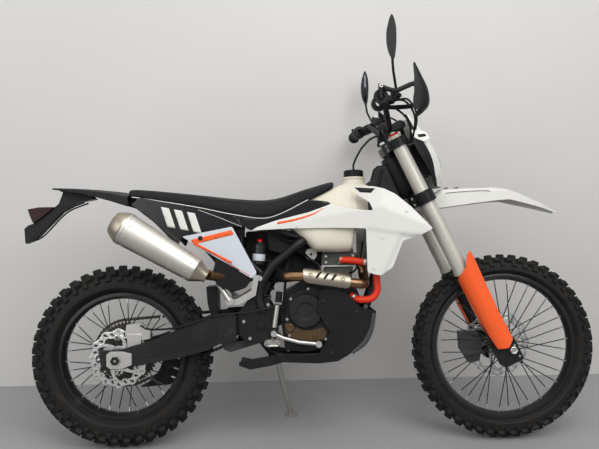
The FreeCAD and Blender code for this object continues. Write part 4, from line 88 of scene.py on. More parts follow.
class Body(Enum):
    """The frame's moving bodies."""

    CHASSIS = "chassis"
    STEERING = "steering"
    FRONT_WHEEL = "front_wheel_body"
    REAR_WHEEL = "rear_wheel_body"
    STAND = "stand_body"


class Skin(Enum):
    """The kinds of surface a finish can have."""

    MOULDED = "moulded"
    BRUSHED = "brushed"
    CAST = "cast"
    HIDE = "hide"
    RUBBER = "rubber"
    HEATED = "heated"


# ---------------------------------------------------------------- numbers and curves

def unit(vectors: np.ndarray) -> np.ndarray:
    """Return vectors at length one."""
    return vectors / np.linalg.norm(vectors, axis=-1, keepdims=True)


def on_fork(rise: float, lead: float = 0.0, y: float = 0.0) -> np.ndarray:
    """Return a point by its distance up the steering axis and ahead of it."""
    return STEER_FOOT + STEER_UP * rise + STEER_AHEAD * lead + np.array([0.0, y, 0.0])


LEG = on_fork(0.0, LEG_LEAD, -LEG_SPREAD)


def powered(value: np.ndarray, power: float) -> np.ndarray:
    """Return values raised to a power, each with its own sign."""
    return np.sign(value) * np.abs(value) ** power


def polar(reach: float | np.ndarray, turn: np.ndarray, y: float | np.ndarray = 0.0) -> np.ndarray:
    """Return the points (reach cos turn, y, reach sin turn)."""
    return np.stack([reach * np.cos(turn), np.broadcast_to(y, np.shape(turn)), reach * np.sin(turn)], -1)


def around(centre: Sequence[float], reach: float, count: int, first: float = 0.0) -> np.ndarray:
    """Return places spread evenly round a centre, as the side view shows them."""
    return centre + polar(reach, first + np.linspace(0, 2 * math.pi, count, endpoint=False))


def resampled(points: Points, count: int, closed: bool = False) -> np.ndarray:
    """Spread points evenly along a polyline, by its length.

    Args:
        points: corner points, two or three numbers each.
        count: number of points to return.
        closed: whether the line returns to its first point.

    Returns:
        The new points as an array.
    """
    line = np.asarray(points, float)
    if closed:
        line = np.vstack([line, line[:1]])
    steps = np.r_[0.0, np.cumsum(np.linalg.norm(np.diff(line, axis=0), axis=1))]
    at = np.linspace(0.0, steps[-1], count, endpoint=not closed)
    return np.stack([np.interp(at, steps, line[:, k]) for k in range(line.shape[1])], 1)


def curve(points: Points, count: int, closed: bool = False) -> np.ndarray:
    """Pass a smooth curve through points and spread samples evenly along it.

    Between two points p1 and p2 the curve is the Catmull-Rom cubic
    0.5 (2 p1 + (p2 - p0) t + (2 p0 - 5 p1 + 4 p2 - p3) t^2 + (3 p1 - p0 - 3 p2 + p3) t^3).

    Args:
        points: points that the curve passes through.
        count: number of samples.
        closed: whether the curve returns to its first point.

    Returns:
        The samples as an array.
    """
    given = np.asarray(points, float)
    if closed:
        ring = np.vstack([given[-1:], given, given[:2]])
    else:
        ring = np.vstack([2 * given[:1] - given[1:2], given, 2 * given[-1:] - given[-2:-1]])
    p0, p1, p2, p3 = (ring[k:len(ring) - 3 + k, None] for k in range(4))
    t = np.linspace(0.0, 1.0, 16, endpoint=False)[None, :, None]
    dense = 0.5 * (2 * p1 + (p2 - p0) * t + (2 * p0 - 5 * p1 + 4 * p2 - p3) * t ** 2
                   + (3 * p1 - p0 - 3 * p2 + p3) * t ** 3)
    dense = dense.reshape(-1, given.shape[1])
    if not closed:
        dense = np.vstack([dense, given[-1:]])
    return resampled(dense, count, closed)


def softened(points: Points, radius: float, count: int = 5) -> np.ndarray:
    """Round every corner of a closed outline.

    Each corner becomes the quadratic curve from a point on one side, by way of the corner,
    to a point on the other, both at most the radius away from it.

    Args:
        points: corners of the outline.
        radius: greatest distance from a corner to the ends of its curve.
        count: points on each corner's curve.

    Returns:
        The rounded outline.
    """
    here = np.asarray(points, float)
    back, ahead = np.roll(here, 1, 0) - here, np.roll(here, -1, 0) - here
    reach_back = np.minimum(radius, 0.45 * np.linalg.norm(back, axis=1))[:, None]
    reach_ahead = np.minimum(radius, 0.45 * np.linalg.norm(ahead, axis=1))[:, None]
    start, end = here + unit(back) * reach_back, here + unit(ahead) * reach_ahead
    t = np.linspace(0.0, 1.0, count)[None, :, None]
    rounded = (1 - t) ** 2 * start[:, None] + 2 * t * (1 - t) * here[:, None] + t ** 2 * end[:, None]
    return rounded.reshape(-1, here.shape[1])


def side_view(points: Points, y: float) -> np.ndarray:
    """Return side-view points as points in space at a distance from the centre plane."""
    flat = np.asarray(points, float)
    return np.stack([flat[:, 0], np.full(len(flat), y), flat[:, 1]], 1)


# ---------------------------------------------------------------- meshes as arrays

@dataclass
class Shell:
    """A mesh in the making: points in millimetres, four-cornered faces and larger caps."""

    points: np.ndarray
    quads: np.ndarray
    caps: list[list[int]] = field(default_factory=list)

    def copies(self, turns: np.ndarray, shifts: np.ndarray) -> "Shell":
        """Repeat the shell.

        Args:
            turns: one three by three matrix for each copy.
            shifts: one place for each copy.

        Returns:
            All copies as one shell: point p of copy k lies at turns[k] p + shifts[k].
        """
        points = np.einsum("kij,pj->kpi", turns, self.points) + shifts[:, None]
        starts = np.arange(len(turns)) * len(self.points)
        quads = (self.quads[None] + starts[:, None, None]).reshape(-1, 4)
        caps = [[k + start for k in cap] for start in starts.tolist() for cap in self.caps]
        return Shell(points.reshape(-1, 3), quads, caps)

    def both_sides(self) -> "Shell":
        """Return the shell and its twin across the centre plane."""
        return joined(self, Shell(self.points * [1, -1, 1], self.quads[:, ::-1],
                                  [c[::-1] for c in self.caps]))

    def set_at(self, places: Points) -> "Shell":
        """Repeat the shell, unturned, at places."""
        return self.copies(np.tile(np.eye(3), (len(places), 1, 1)), np.asarray(places, float))


def joined(*shells: Shell) -> Shell:
    """Return several shells as one."""
    starts = np.cumsum([0] + [len(shell.points) for shell in shells])[:-1]
    quads = np.vstack([shell.quads.reshape(-1, 4) + start for shell, start in zip(shells, starts)])
    caps = [[k + int(start) for k in cap] for shell, start in zip(shells, starts) for cap in shell.caps]
    return Shell(np.vstack([shell.points for shell in shells]), quads.astype(int), caps)


def grid(points: np.ndarray, wrap_u: bool = False, wrap_v: bool = False, capped: bool = False) -> Shell:
    """Return the shell of a grid of points.

    Args:
        points: array of rows, columns and three coordinates.
        wrap_u: whether the last row joins the first.
        wrap_v: whether the last column joins the first.
        capped: whether the first and the last row are closed by a face.

    Returns:
        The shell with one face between each four neighbouring points.
    """
    rows, columns = points.shape[:2]
    u, v = np.meshgrid(np.arange(rows if wrap_u else rows - 1),
                       np.arange(columns if wrap_v else columns - 1), indexing="ij")
    u_next, v_next = (u + 1) % rows, (v + 1) % columns
    quads = np.stack([u * columns + v, u_next * columns + v, u_next * columns + v_next, u * columns + v_next],
                     -1)
    caps = []
    if capped:
        last = (rows - 1) * columns
        caps = [list(range(columns)), list(range(last + columns - 1, last - 1, -1))]
    return Shell(points.reshape(-1, 3), quads.reshape(-1, 4), caps)


def tube(path: Points, radii: float | np.ndarray, sides: int = 12, ref: Sequence[float] = (0, 1, 0),
         squash: float = 1.0) -> Shell:
    """Carry a circle along a path.

    The point at angle a of ring i is path[i] + r[i] (cos a n[i] + squash sin a b[i]), where n is the
    path's direction crossed with a fixed direction and b is square to both.

    Args:
        path: points of the centre line.
        radii: radius, one for all or one for each point.
        sides: points round the circle.
        ref: fixed direction, nowhere along the path.
        squash: share of the radius that is kept in the second direction.

    Returns:
        The tube with both ends closed.
    """
    path = np.asarray(path, float)
    along = unit(np.gradient(path, axis=0))
    normal = unit(np.cross(along, np.asarray(ref, float)))
    across = np.cross(along, normal)
    turn = np.linspace(0, 2 * math.pi, sides, endpoint=False)
    reach = np.broadcast_to(np.asarray(radii, float), len(path))[:, None, None]
    ring = (np.cos(turn)[None, :, None] * normal[:, None]
            + squash * np.sin(turn)[None, :, None] * across[:, None])
    return grid(path[:, None] + reach * ring, wrap_v=True, capped=True)


def turned(profile: Points, centre: Sequence[float], axis: Sequence[float], sides: int = 48,
           closed: bool = False) -> Shell:
    """Turn a profile round an axis.

    The point at angle a is centre + axis t + r (cos a e1 + sin a e2) for each (r, t) of the profile.

    Args:
        profile: radius and distance along the axis of each point.
        centre: where the axis starts.
        axis: direction of the axis.
        sides: points round the axis.
        closed: whether the profile returns to its first point, as a ring's does.

    Returns:
        The turned shell.
    """
    line = np.asarray(profile, float)
    way = unit(np.asarray(axis, float))
    first = unit(np.cross(way, [0.0, 0.0, 1.0] if abs(way[2]) < 0.9 else [1.0, 0.0, 0.0]))
    second = np.cross(way, first)
    turn = np.linspace(0, 2 * math.pi, sides, endpoint=False)
    ring = np.cos(turn)[:, None] * first + np.sin(turn)[:, None] * second
    points = np.asarray(centre, float) + line[:, 1, None, None] * way + line[:, 0, None, None] * ring[None]
    return grid(points, wrap_u=closed, wrap_v=True)


def ring(profile: Points, centre: Sequence[float], axis: Sequence[float], sides: int = 48) -> Shell:
    """Turn a profile that returns to its first point round an axis."""
    return turned(profile, centre, axis, sides, closed=True)


def plate(outline: np.ndarray, y_from: float, y_to: float) -> Shell:
    """Return a flat plate: a side-view outline between two distances from the centre plane."""
    return grid(np.stack([side_view(outline, y_from), side_view(outline, y_to)]), wrap_v=True, capped=True)


def slab(outline: Points, soft: float, y_from: float, y_to: float) -> Shell:
    """Return a flat plate whose outline has rounded corners."""
    return plate(softened(outline, soft), y_from, y_to)


def bolt_heads(centres: Points, radius: float, height: float, axis: Sequence[float] = RIGHT) -> Shell:
    """Return round bolt heads with a sunk socket.

    Args:
        centres: where each head sits.
        radius: a head's radius.
        height: a head's height.
        axis: direction in which the heads stand out.

    Returns:
        All heads as one shell.
    """
    inner, floor = radius * 0.5, height * 0.35
    profile = [(0.01, 0), (radius, 0), (radius, height * 0.8), (radius * 0.86, height), (inner, height),
               (inner * 0.94, floor), (0.01, floor)]
    return turned(profile, (0, 0, 0), axis, 12).set_at(centres)


def sheet(outline: Points, reach: Callable[[np.ndarray, np.ndarray], np.ndarray],
          step: float = 12.0) -> Shell:
    """Cut a flat outline by a square grid and push it out sideways.

    Every point (x, z) of the cut outline goes to (x, -reach(x, z), z).

    Args:
        outline: side-view outline.
        reach: distance from the centre plane, as a function of x and z.
        step: the grid's spacing.

    Returns:
        The curved sheet on the machine's right side.
    """
    outline = np.asarray(outline, float)
    flat = bmesh.new()
    flat.faces.new([flat.verts.new((x, 0.0, z)) for x, z in outline.tolist()])
    low, high = outline.min(0), outline.max(0)
    for k, way in ((0, Vector((1, 0, 0))), (1, Vector((0, 0, 1)))):
        for at in np.arange(low[k] + step, high[k], step).tolist():
            cut = way * at
            bmesh.ops.bisect_plane(flat, geom=flat.verts[:] + flat.edges[:] + flat.faces[:], plane_co=cut,
                                   plane_no=way, dist=1e-4)
    bmesh.ops.triangulate(flat, faces=[face for face in flat.faces if len(face.verts) > 4])
    flat.verts.index_update()
    points = np.array([vert.co[:] for vert in flat.verts])
    points[:, 1] = -reach(points[:, 0], points[:, 2])
    quads = [[vert.index for vert in face.verts] for face in flat.faces if len(face.verts) == 4]
    caps = [[vert.index for vert in face.verts] for face in flat.faces if len(face.verts) != 4]
    flat.free()
    return Shell(points, np.array(quads, int).reshape(-1, 4), caps)


# ---------------------------------------------------------------- finishes

class Nodes:
    """Small helper that adds and links shader nodes in one tree."""

    def __init__(self, tree: bpy.types.NodeTree) -> None:
        """Keep the tree that nodes go into."""
        self.tree = tree

    def add(self, kind: str, **settings: object) -> bpy.types.Node:
        """Add a node.

        Args:
            kind: the node's type name, without ShaderNode before it.
            settings: its properties, or its inputs' values where the name is that of an input.

        Returns:
            The new node.
        """
        node = self.tree.nodes.new("ShaderNode" + kind)
        for name, value in settings.items():
            if name in node.inputs:
                node.inputs[name].default_value = value
            else:
                setattr(node, name, value)
        return node

    def link(self, start: bpy.types.NodeSocket, end: bpy.types.NodeSocket) -> None:
        """Link two sockets."""
        self.tree.links.new(start, end)

    def feed(self, start: bpy.types.Node, end: bpy.types.Node, *names: str) -> None:
        """Link the sockets of two nodes that have the same names."""
        for name in names:
            self.link(start.outputs[name], end.inputs[name])

    def maths(self, operation: str, first: object, second: object = 0.5) -> bpy.types.NodeSocket:
        """Return the result of a Math node on sockets or numbers."""
        node = self.add("Math", operation=operation)
        for k, value in enumerate((first, second)):
            if isinstance(value, bpy.types.NodeSocket):
                self.link(value, node.inputs[k])
            else:
                node.inputs[k].default_value = value
        return node.outputs[0]

    def mixed(self, share: bpy.types.NodeSocket, first: object, second: object) -> bpy.types.NodeSocket:
        """Return the mix of two colours, each a socket or three numbers."""
        node = self.add("Mix", data_type="RGBA")
        self.link(share, node.inputs[0])
        for k, value in ((6, first), (7, second)):
            if isinstance(value, bpy.types.NodeSocket):
                self.link(value, node.inputs[k])
            else:
                node.inputs[k].default_value = (*value, 1)
        return node.outputs[2]

    def spread(self, value: bpy.types.NodeSocket, low: float, high: float, to_low: float = 0.0,
               to_high: float = 1.0) -> bpy.types.NodeSocket:
        """Return a value mapped smoothly from one range to another."""
        node = self.add("MapRange", interpolation_type="SMOOTHSTEP")
        self.link(value, node.inputs["Value"])
        for name, number in (("From Min", low), ("From Max", high), ("To Min", to_low), ("To Max", to_high)):
            node.inputs[name].default_value = number
        return node.outputs["Result"]


def new_group(name: str, inputs: dict[str, object], outputs: Sequence[str]
              ) -> tuple[Nodes, bpy.types.Node, bpy.types.Node]:
    """Start a shader node group.

    Args:
        name: the group's name.
        inputs: default value of each input: one number, three or none for a vector, four for a colour.
        outputs: name of each output, which is a number apart from one called Colour.

    Returns:
        The helper of the group's tree, and its input and output nodes.
    """
    nodes = Nodes(bpy.data.node_groups.new(name, "ShaderNodeTree"))
    for label, value in inputs.items():
        kind = "Float" if isinstance(value, float) else "Color" if value and len(value) == 4 else "Vector"
        socket = nodes.tree.interface.new_socket(label, in_out="INPUT", socket_type="NodeSocket" + kind)
        if value is not None:
            socket.default_value = value
    for label in outputs:
        kind = "Color" if label == "Colour" else "Float"
        nodes.tree.interface.new_socket(label, in_out="OUTPUT", socket_type="NodeSocket" + kind)
    return nodes, nodes.tree.nodes.new("NodeGroupInput"), nodes.tree.nodes.new("NodeGroupOutput")


class Effects:
    """The shader node groups that the finishes share."""

    def __init__(self) -> None:
        """Build each group once."""
        self.mottling = self.build_mottling()
        self.grain = self.build_grain()
        self.brushing = self.build_brushing()
        self.scuffs = self.build_scuffs()

    @staticmethod
    def build_mottling() -> bpy.types.NodeTree:
        """Return a group that drifts from one colour to a second in soft patches."""
        inputs = {"Vector": None, "Scale": 6.0, "Amount": 0.4, "Colour": (0.5, 0.5, 0.5, 1),
                  "Second": (0.4, 0.4, 0.4, 1)}
        nodes, start, end = new_group("Mottling", inputs, ["Colour", "Mask"])
        noise = nodes.add("TexNoise", Detail=6.0, Roughness=0.6)
        nodes.feed(start, noise, "Vector", "Scale")
        mask = nodes.spread(noise.outputs["Fac"], 0.38, 0.68)
        amount = nodes.maths("MULTIPLY", mask, start.outputs["Amount"])
        nodes.link(nodes.mixed(amount, start.outputs["Colour"], start.outputs["Second"]),
                   end.inputs["Colour"])
        nodes.link(mask, end.inputs["Mask"])
        return nodes.tree

    @staticmethod
    def build_grain() -> bpy.types.NodeTree:
        """Return a group with the pebbled height of grained plastic, hide or cast metal."""
        nodes, start, end = new_group("Grain", {"Vector": None, "Scale": 900.0, "Cells": 0.5}, ["Height"])
        noise = nodes.add("TexNoise", Detail=3.0)
        cells = nodes.add("TexVoronoi", feature="SMOOTH_F1")
        for node in (noise, cells):
            nodes.feed(start, node, "Vector", "Scale")
        pebbles = nodes.maths("MULTIPLY", cells.outputs["Distance"], start.outputs["Cells"])
        nodes.link(nodes.maths("ADD", noise.outputs["Fac"], pebbles), end.inputs["Height"])
        return nodes.tree

    @staticmethod
    def build_brushing() -> bpy.types.NodeTree:
        """Return a group with the fine lines that a brush leaves along one direction."""
        inputs = {"Vector": None, "Scale": 60.0, "Stretch": (1.0, 12.0, 12.0)}
        nodes, start, end = new_group("Brushing", inputs, ["Height"])
        scaled = nodes.add("VectorMath", operation="MULTIPLY")
        nodes.link(start.outputs["Vector"], scaled.inputs[0])
        nodes.link(start.outputs["Stretch"], scaled.inputs[1])
        noise = nodes.add("TexNoise", Detail=4.0, Roughness=0.7)
        nodes.link(scaled.outputs[0], noise.inputs["Vector"])
        nodes.feed(start, noise, "Scale")
        nodes.link(noise.outputs["Fac"], end.inputs["Height"])
        return nodes.tree

    @staticmethod
    def build_scuffs() -> bpy.types.NodeTree:
        """Return a group with sparse rubbed marks and dust, as a mask."""
        nodes, start, end = new_group("Scuffs", {"Vector": None, "Scale": 14.0, "Amount": 0.3}, ["Mask"])
        patches = nodes.add("TexNoise", Detail=8.0, Roughness=0.75, Distortion=0.6)
        specks = nodes.add("TexNoise", Detail=2.0, Scale=420.0)
        nodes.feed(start, patches, "Vector", "Scale")
        nodes.feed(start, specks, "Vector")
        mask = nodes.maths("MULTIPLY", nodes.spread(patches.outputs["Fac"], 0.55, 0.75),
                           nodes.spread(specks.outputs["Fac"], 0.4, 0.62))
        nodes.link(nodes.maths("MULTIPLY", mask, start.outputs["Amount"]), end.inputs["Mask"])
        return nodes.tree


@dataclass(frozen=True)
class Finish:
    """One real finish: its colours, its gloss and the texture of its surface."""

    name: str
    slot: str
    colour: Colour
    second: Colour
    skin: Skin
    roughness: float
    metallic: float = 0.0
    mottle: float = 7.0
    drift: float = 0.35
    grain: float = 900.0
    depth: float = 0.1
    coat: float = 0.0
    scuff: float = 0.15
    scuff_colour: Colour = (0.35, 0.33, 0.3)
    sheen: float = 0.0
    clear: float = 0.0
    shine: float = 0.2

    def material(self, effects: Effects) -> bpy.types.Material:
        """Build the finish as a material.

        Args:
            effects: the shared node groups.

        Returns:
            The material.
        """
        made = bpy.data.materials.new(self.name)
        made.use_nodes = True
        nodes = Nodes(made.node_tree)
        shader = made.node_tree.nodes["Principled BSDF"]
        place = nodes.add("TexCoord").outputs["Object"]
        mottling = self.placed(nodes, effects.mottling, place, Scale=self.mottle, Amount=self.drift,
                               Colour=(*self.colour, 1), Second=(*self.second, 1))
        scuffs = self.placed(nodes, effects.scuffs, place, Amount=self.scuff)
        worn = scuffs.outputs["Mask"]
        nodes.link(nodes.mixed(worn, mottling.outputs["Colour"], self.scuff_colour),
                   shader.inputs["Base Color"])
        rough = nodes.spread(mottling.outputs["Mask"], 0.0, 1.0, self.roughness * 0.88,
                             min(1.0, self.roughness * 1.15))
        nodes.link(nodes.maths("ADD", rough, nodes.maths("MULTIPLY", worn, 0.3)), shader.inputs["Roughness"])
        for name, value in (("Metallic", self.metallic), ("Specular IOR Level", self.shine),
                            ("Coat Weight", self.coat), ("Coat Roughness", 0.12),
                            ("Sheen Weight", self.sheen), ("Transmission Weight", self.clear)):
            shader.inputs[name].default_value = value
        if self.skin is Skin.BRUSHED:
            relief = self.placed(nodes, effects.brushing, place, Scale=self.grain)
        else:
            cells = {Skin.HIDE: 1.6, Skin.CAST: 0.2, Skin.RUBBER: 0.1}.get(self.skin, 0.6)
            relief = self.placed(nodes, effects.grain, place, Scale=self.grain, Cells=cells)
        bump = nodes.add("Bump", Strength=self.depth, Distance=0.001)
        nodes.feed(relief, bump, "Height")
        nodes.feed(bump, shader, "Normal")
        return made

    @staticmethod
    def placed(nodes: Nodes, group: bpy.types.NodeTree, place: bpy.types.NodeSocket, **values: object
               ) -> bpy.types.Node:
        """Place a shared group in a material, with its values."""
        node = nodes.add("Group", node_tree=group)
        nodes.link(place, node.inputs["Vector"])
        for name, value in values.items():
            node.inputs[name].default_value = value
        return node


F_BLACK_STEEL = Finish("black frame paint", "black_steel", (0.008, 0.008, 0.009), (0.014, 0.014, 0.015),
                       Skin.CAST, 0.42, grain=700, depth=0.08, coat=0.08, scuff=0.06)
F_ARM = Finish("dark grey arm paint", "arm_grey", (0.012, 0.012, 0.013), (0.018, 0.018, 0.019), Skin.CAST,
               0.5, grain=800, depth=0.12)
F_SILVER = Finish("plain alloy", "silver", (0.52, 0.505, 0.475), (0.38, 0.37, 0.345), Skin.CAST, 0.42, 0.9,
                  grain=500, depth=0.15)
F_ENGINE = Finish("engine case paint", "engine_grey", (0.016, 0.016, 0.017), (0.028, 0.026, 0.024), Skin.CAST,
                  0.46, 0.2, grain=420, depth=0.4, scuff=0.14)
F_BRONZE = Finish("bronze case paint", "engine_grey", (0.10, 0.066, 0.036), (0.06, 0.042, 0.026), Skin.CAST,
                  0.42, 0.6, grain=420, depth=0.4)
F_CHAIN = Finish("oiled chain steel", "chain_steel", (0.075, 0.068, 0.058), (0.03, 0.028, 0.025), Skin.CAST,
                 0.4, 0.8, mottle=60, grain=600, depth=0.2)
F_DISC = Finish("ground disc steel", "disc_steel", (0.66, 0.65, 0.63), (0.5, 0.49, 0.47), Skin.BRUSHED, 0.28,
                1.0, grain=90, depth=0.25)
F_BLACK = Finish("black grained plastic", "black_plastic", (0.008, 0.008, 0.009), (0.013, 0.013, 0.013),
                 Skin.MOULDED, 0.45, grain=1400, depth=0.35, scuff=0.12)
F_GLOSS_BLACK = Finish("black gloss plastic", "black_plastic", (0.007, 0.007, 0.008), (0.011, 0.011, 0.012),
                       Skin.MOULDED, 0.24, grain=300, depth=0.02, coat=0.3, scuff=0.04)
F_PIPE = Finish("heat coloured pipe", "bare_steel", (0.24, 0.14, 0.075), (0.11, 0.065, 0.04), Skin.HEATED,
                0.34, 1.0, mottle=14, drift=0.8, grain=300, depth=0.1)
F_CAN = Finish("brushed silencer skin", "can_silver", (0.62, 0.595, 0.54), (0.52, 0.495, 0.445), Skin.BRUSHED,
               0.4, 1.0, mottle=5, grain=40, depth=0.35, scuff=0.1)
F_CHAMPAGNE = Finish("champagne metal", "shield_gold", (0.40, 0.355, 0.285), (0.29, 0.255, 0.20),
                     Skin.BRUSHED, 0.4, 1.0, grain=60, depth=0.25)
F_SHOCK = Finish("shock absorber paint", "shock_black", (0.014, 0.014, 0.015), (0.02, 0.02, 0.02), Skin.CAST,
                 0.3, coat=0.4)
F_CORE = Finish("radiator core", "radiator_alloy", (0.16, 0.16, 0.16), (0.3, 0.3, 0.3), Skin.BRUSHED, 0.4,
                0.8, grain=300, depth=1.0)
F_HOSE = Finish("red silicone hose", "hose_red", (0.62, 0.035, 0.012), (0.5, 0.025, 0.01), Skin.RUBBER, 0.38,
                grain=900, depth=0.25, scuff=0.05)
F_RUBBER = Finish("black rubber", "vent_rubber", (0.009, 0.009, 0.009), (0.014, 0.014, 0.014), Skin.RUBBER,
                  0.6, grain=1200, depth=0.3)
F_SEAT = Finish("grained seat cover", "seat_cover", (0.008, 0.008, 0.009), (0.012, 0.012, 0.012), Skin.HIDE,
                0.58, grain=1500, depth=0.6, sheen=0.03, scuff=0.03)
F_TANK = Finish("cream tank plastic", "tank_cream", (0.62, 0.59, 0.485), (0.56, 0.52, 0.41), Skin.MOULDED,
                0.36, mottle=4, grain=240, depth=0.03, scuff=0.02)
F_WHITE = Finish("white plastic", "white_plastic", (0.63, 0.62, 0.585), (0.58, 0.57, 0.53), Skin.MOULDED, 0.3,
                 mottle=4, grain=260, depth=0.02, coat=0.15, scuff=0.03)
F_ORANGE = Finish("orange plastic", "guard_orange", (0.80, 0.105, 0.022), (0.70, 0.085, 0.02), Skin.MOULDED,
                  0.32, grain=260, depth=0.02, coat=0.15, scuff=0.03)
F_CLEAR_LENS = Finish("clear lens", "lamp_clear", (0.6, 0.62, 0.65), (0.5, 0.52, 0.55), Skin.MOULDED, 0.06,
                      coat=0.8, clear=0.5, scuff=0.0)
F_FORK = Finish("fork tube anodising", "fork_silver", (0.52, 0.50, 0.45), (0.45, 0.43, 0.38), Skin.BRUSHED,
                0.42, 0.45, grain=40, depth=0.12, scuff=0.05)
F_TYRE = Finish("tyre rubber", "tyre_rubber", (0.010, 0.0095, 0.009), (0.018, 0.016, 0.014), Skin.RUBBER,
                0.66, mottle=18, drift=0.7, grain=500, depth=0.5, scuff=0.25,
                scuff_colour=(0.12, 0.09, 0.06))
F_WHEEL = Finish("black wheel paint", "wheel_black", (0.011, 0.011, 0.012), (0.018, 0.018, 0.019), Skin.CAST,
                 0.32, coat=0.2, grain=500, depth=0.05)
F_GREY_FRONT = Finish("grey guard front", "black_plastic", (0.05, 0.05, 0.052), (0.075, 0.075, 0.075),
                      Skin.MOULDED, 0.4, grain=1400, depth=0.3)
F_MIRROR = Finish("mirror glass", "vent_rubber", (0.10, 0.10, 0.11), (0.09, 0.09, 0.1), Skin.MOULDED, 0.08,
                  1.0, depth=0.0, scuff=0.0)
# White plastic made darker and bluer as painted shade, for the white lower panels and the reservoir's band.
F_SHADED_WHITE = Finish("white plastic with painted shade", "white_plastic", (0.52, 0.55, 0.585), (0.47, 0.50, 0.53), Skin.MOULDED,
                0.32, mottle=4, grain=260, depth=0.02, coat=0.15, scuff=0.03)
F_RED_LINE = Finish("red line", "guard_orange", (0.62, 0.03, 0.015), (0.55, 0.025, 0.015), Skin.MOULDED, 0.32,
                    grain=260, depth=0.02, scuff=0.02)
F_RED_METAL = Finish("red anodising", "hose_red", (0.55, 0.012, 0.012), (0.42, 0.01, 0.01), Skin.BRUSHED,
                     0.28, 0.7, grain=60, depth=0.1, scuff=0.04)
F_SPRING = Finish("grey spring paint", "shock_black", (0.05, 0.05, 0.052), (0.07, 0.07, 0.07), Skin.CAST,
                  0.34, coat=0.3, depth=0.05)
F_ARM_DARK = Finish("black pressed arm panel", "arm_grey", (0.012, 0.012, 0.013), (0.018, 0.018, 0.019),
                    Skin.CAST, 0.42, grain=800, depth=0.1)
F_DULL = Finish("dull cast alloy", "silver", (0.085, 0.083, 0.08), (0.045, 0.044, 0.042), Skin.CAST, 0.46,
                0.6, grain=500, depth=0.3, scuff=0.2)
F_DARK_LENS = Finish("dark lens", "lamp_red", (0.022, 0.004, 0.004), (0.015, 0.003, 0.003), Skin.MOULDED, 0.5,
                     coat=0.05)


# ---------------------------------------------------------------- workshop

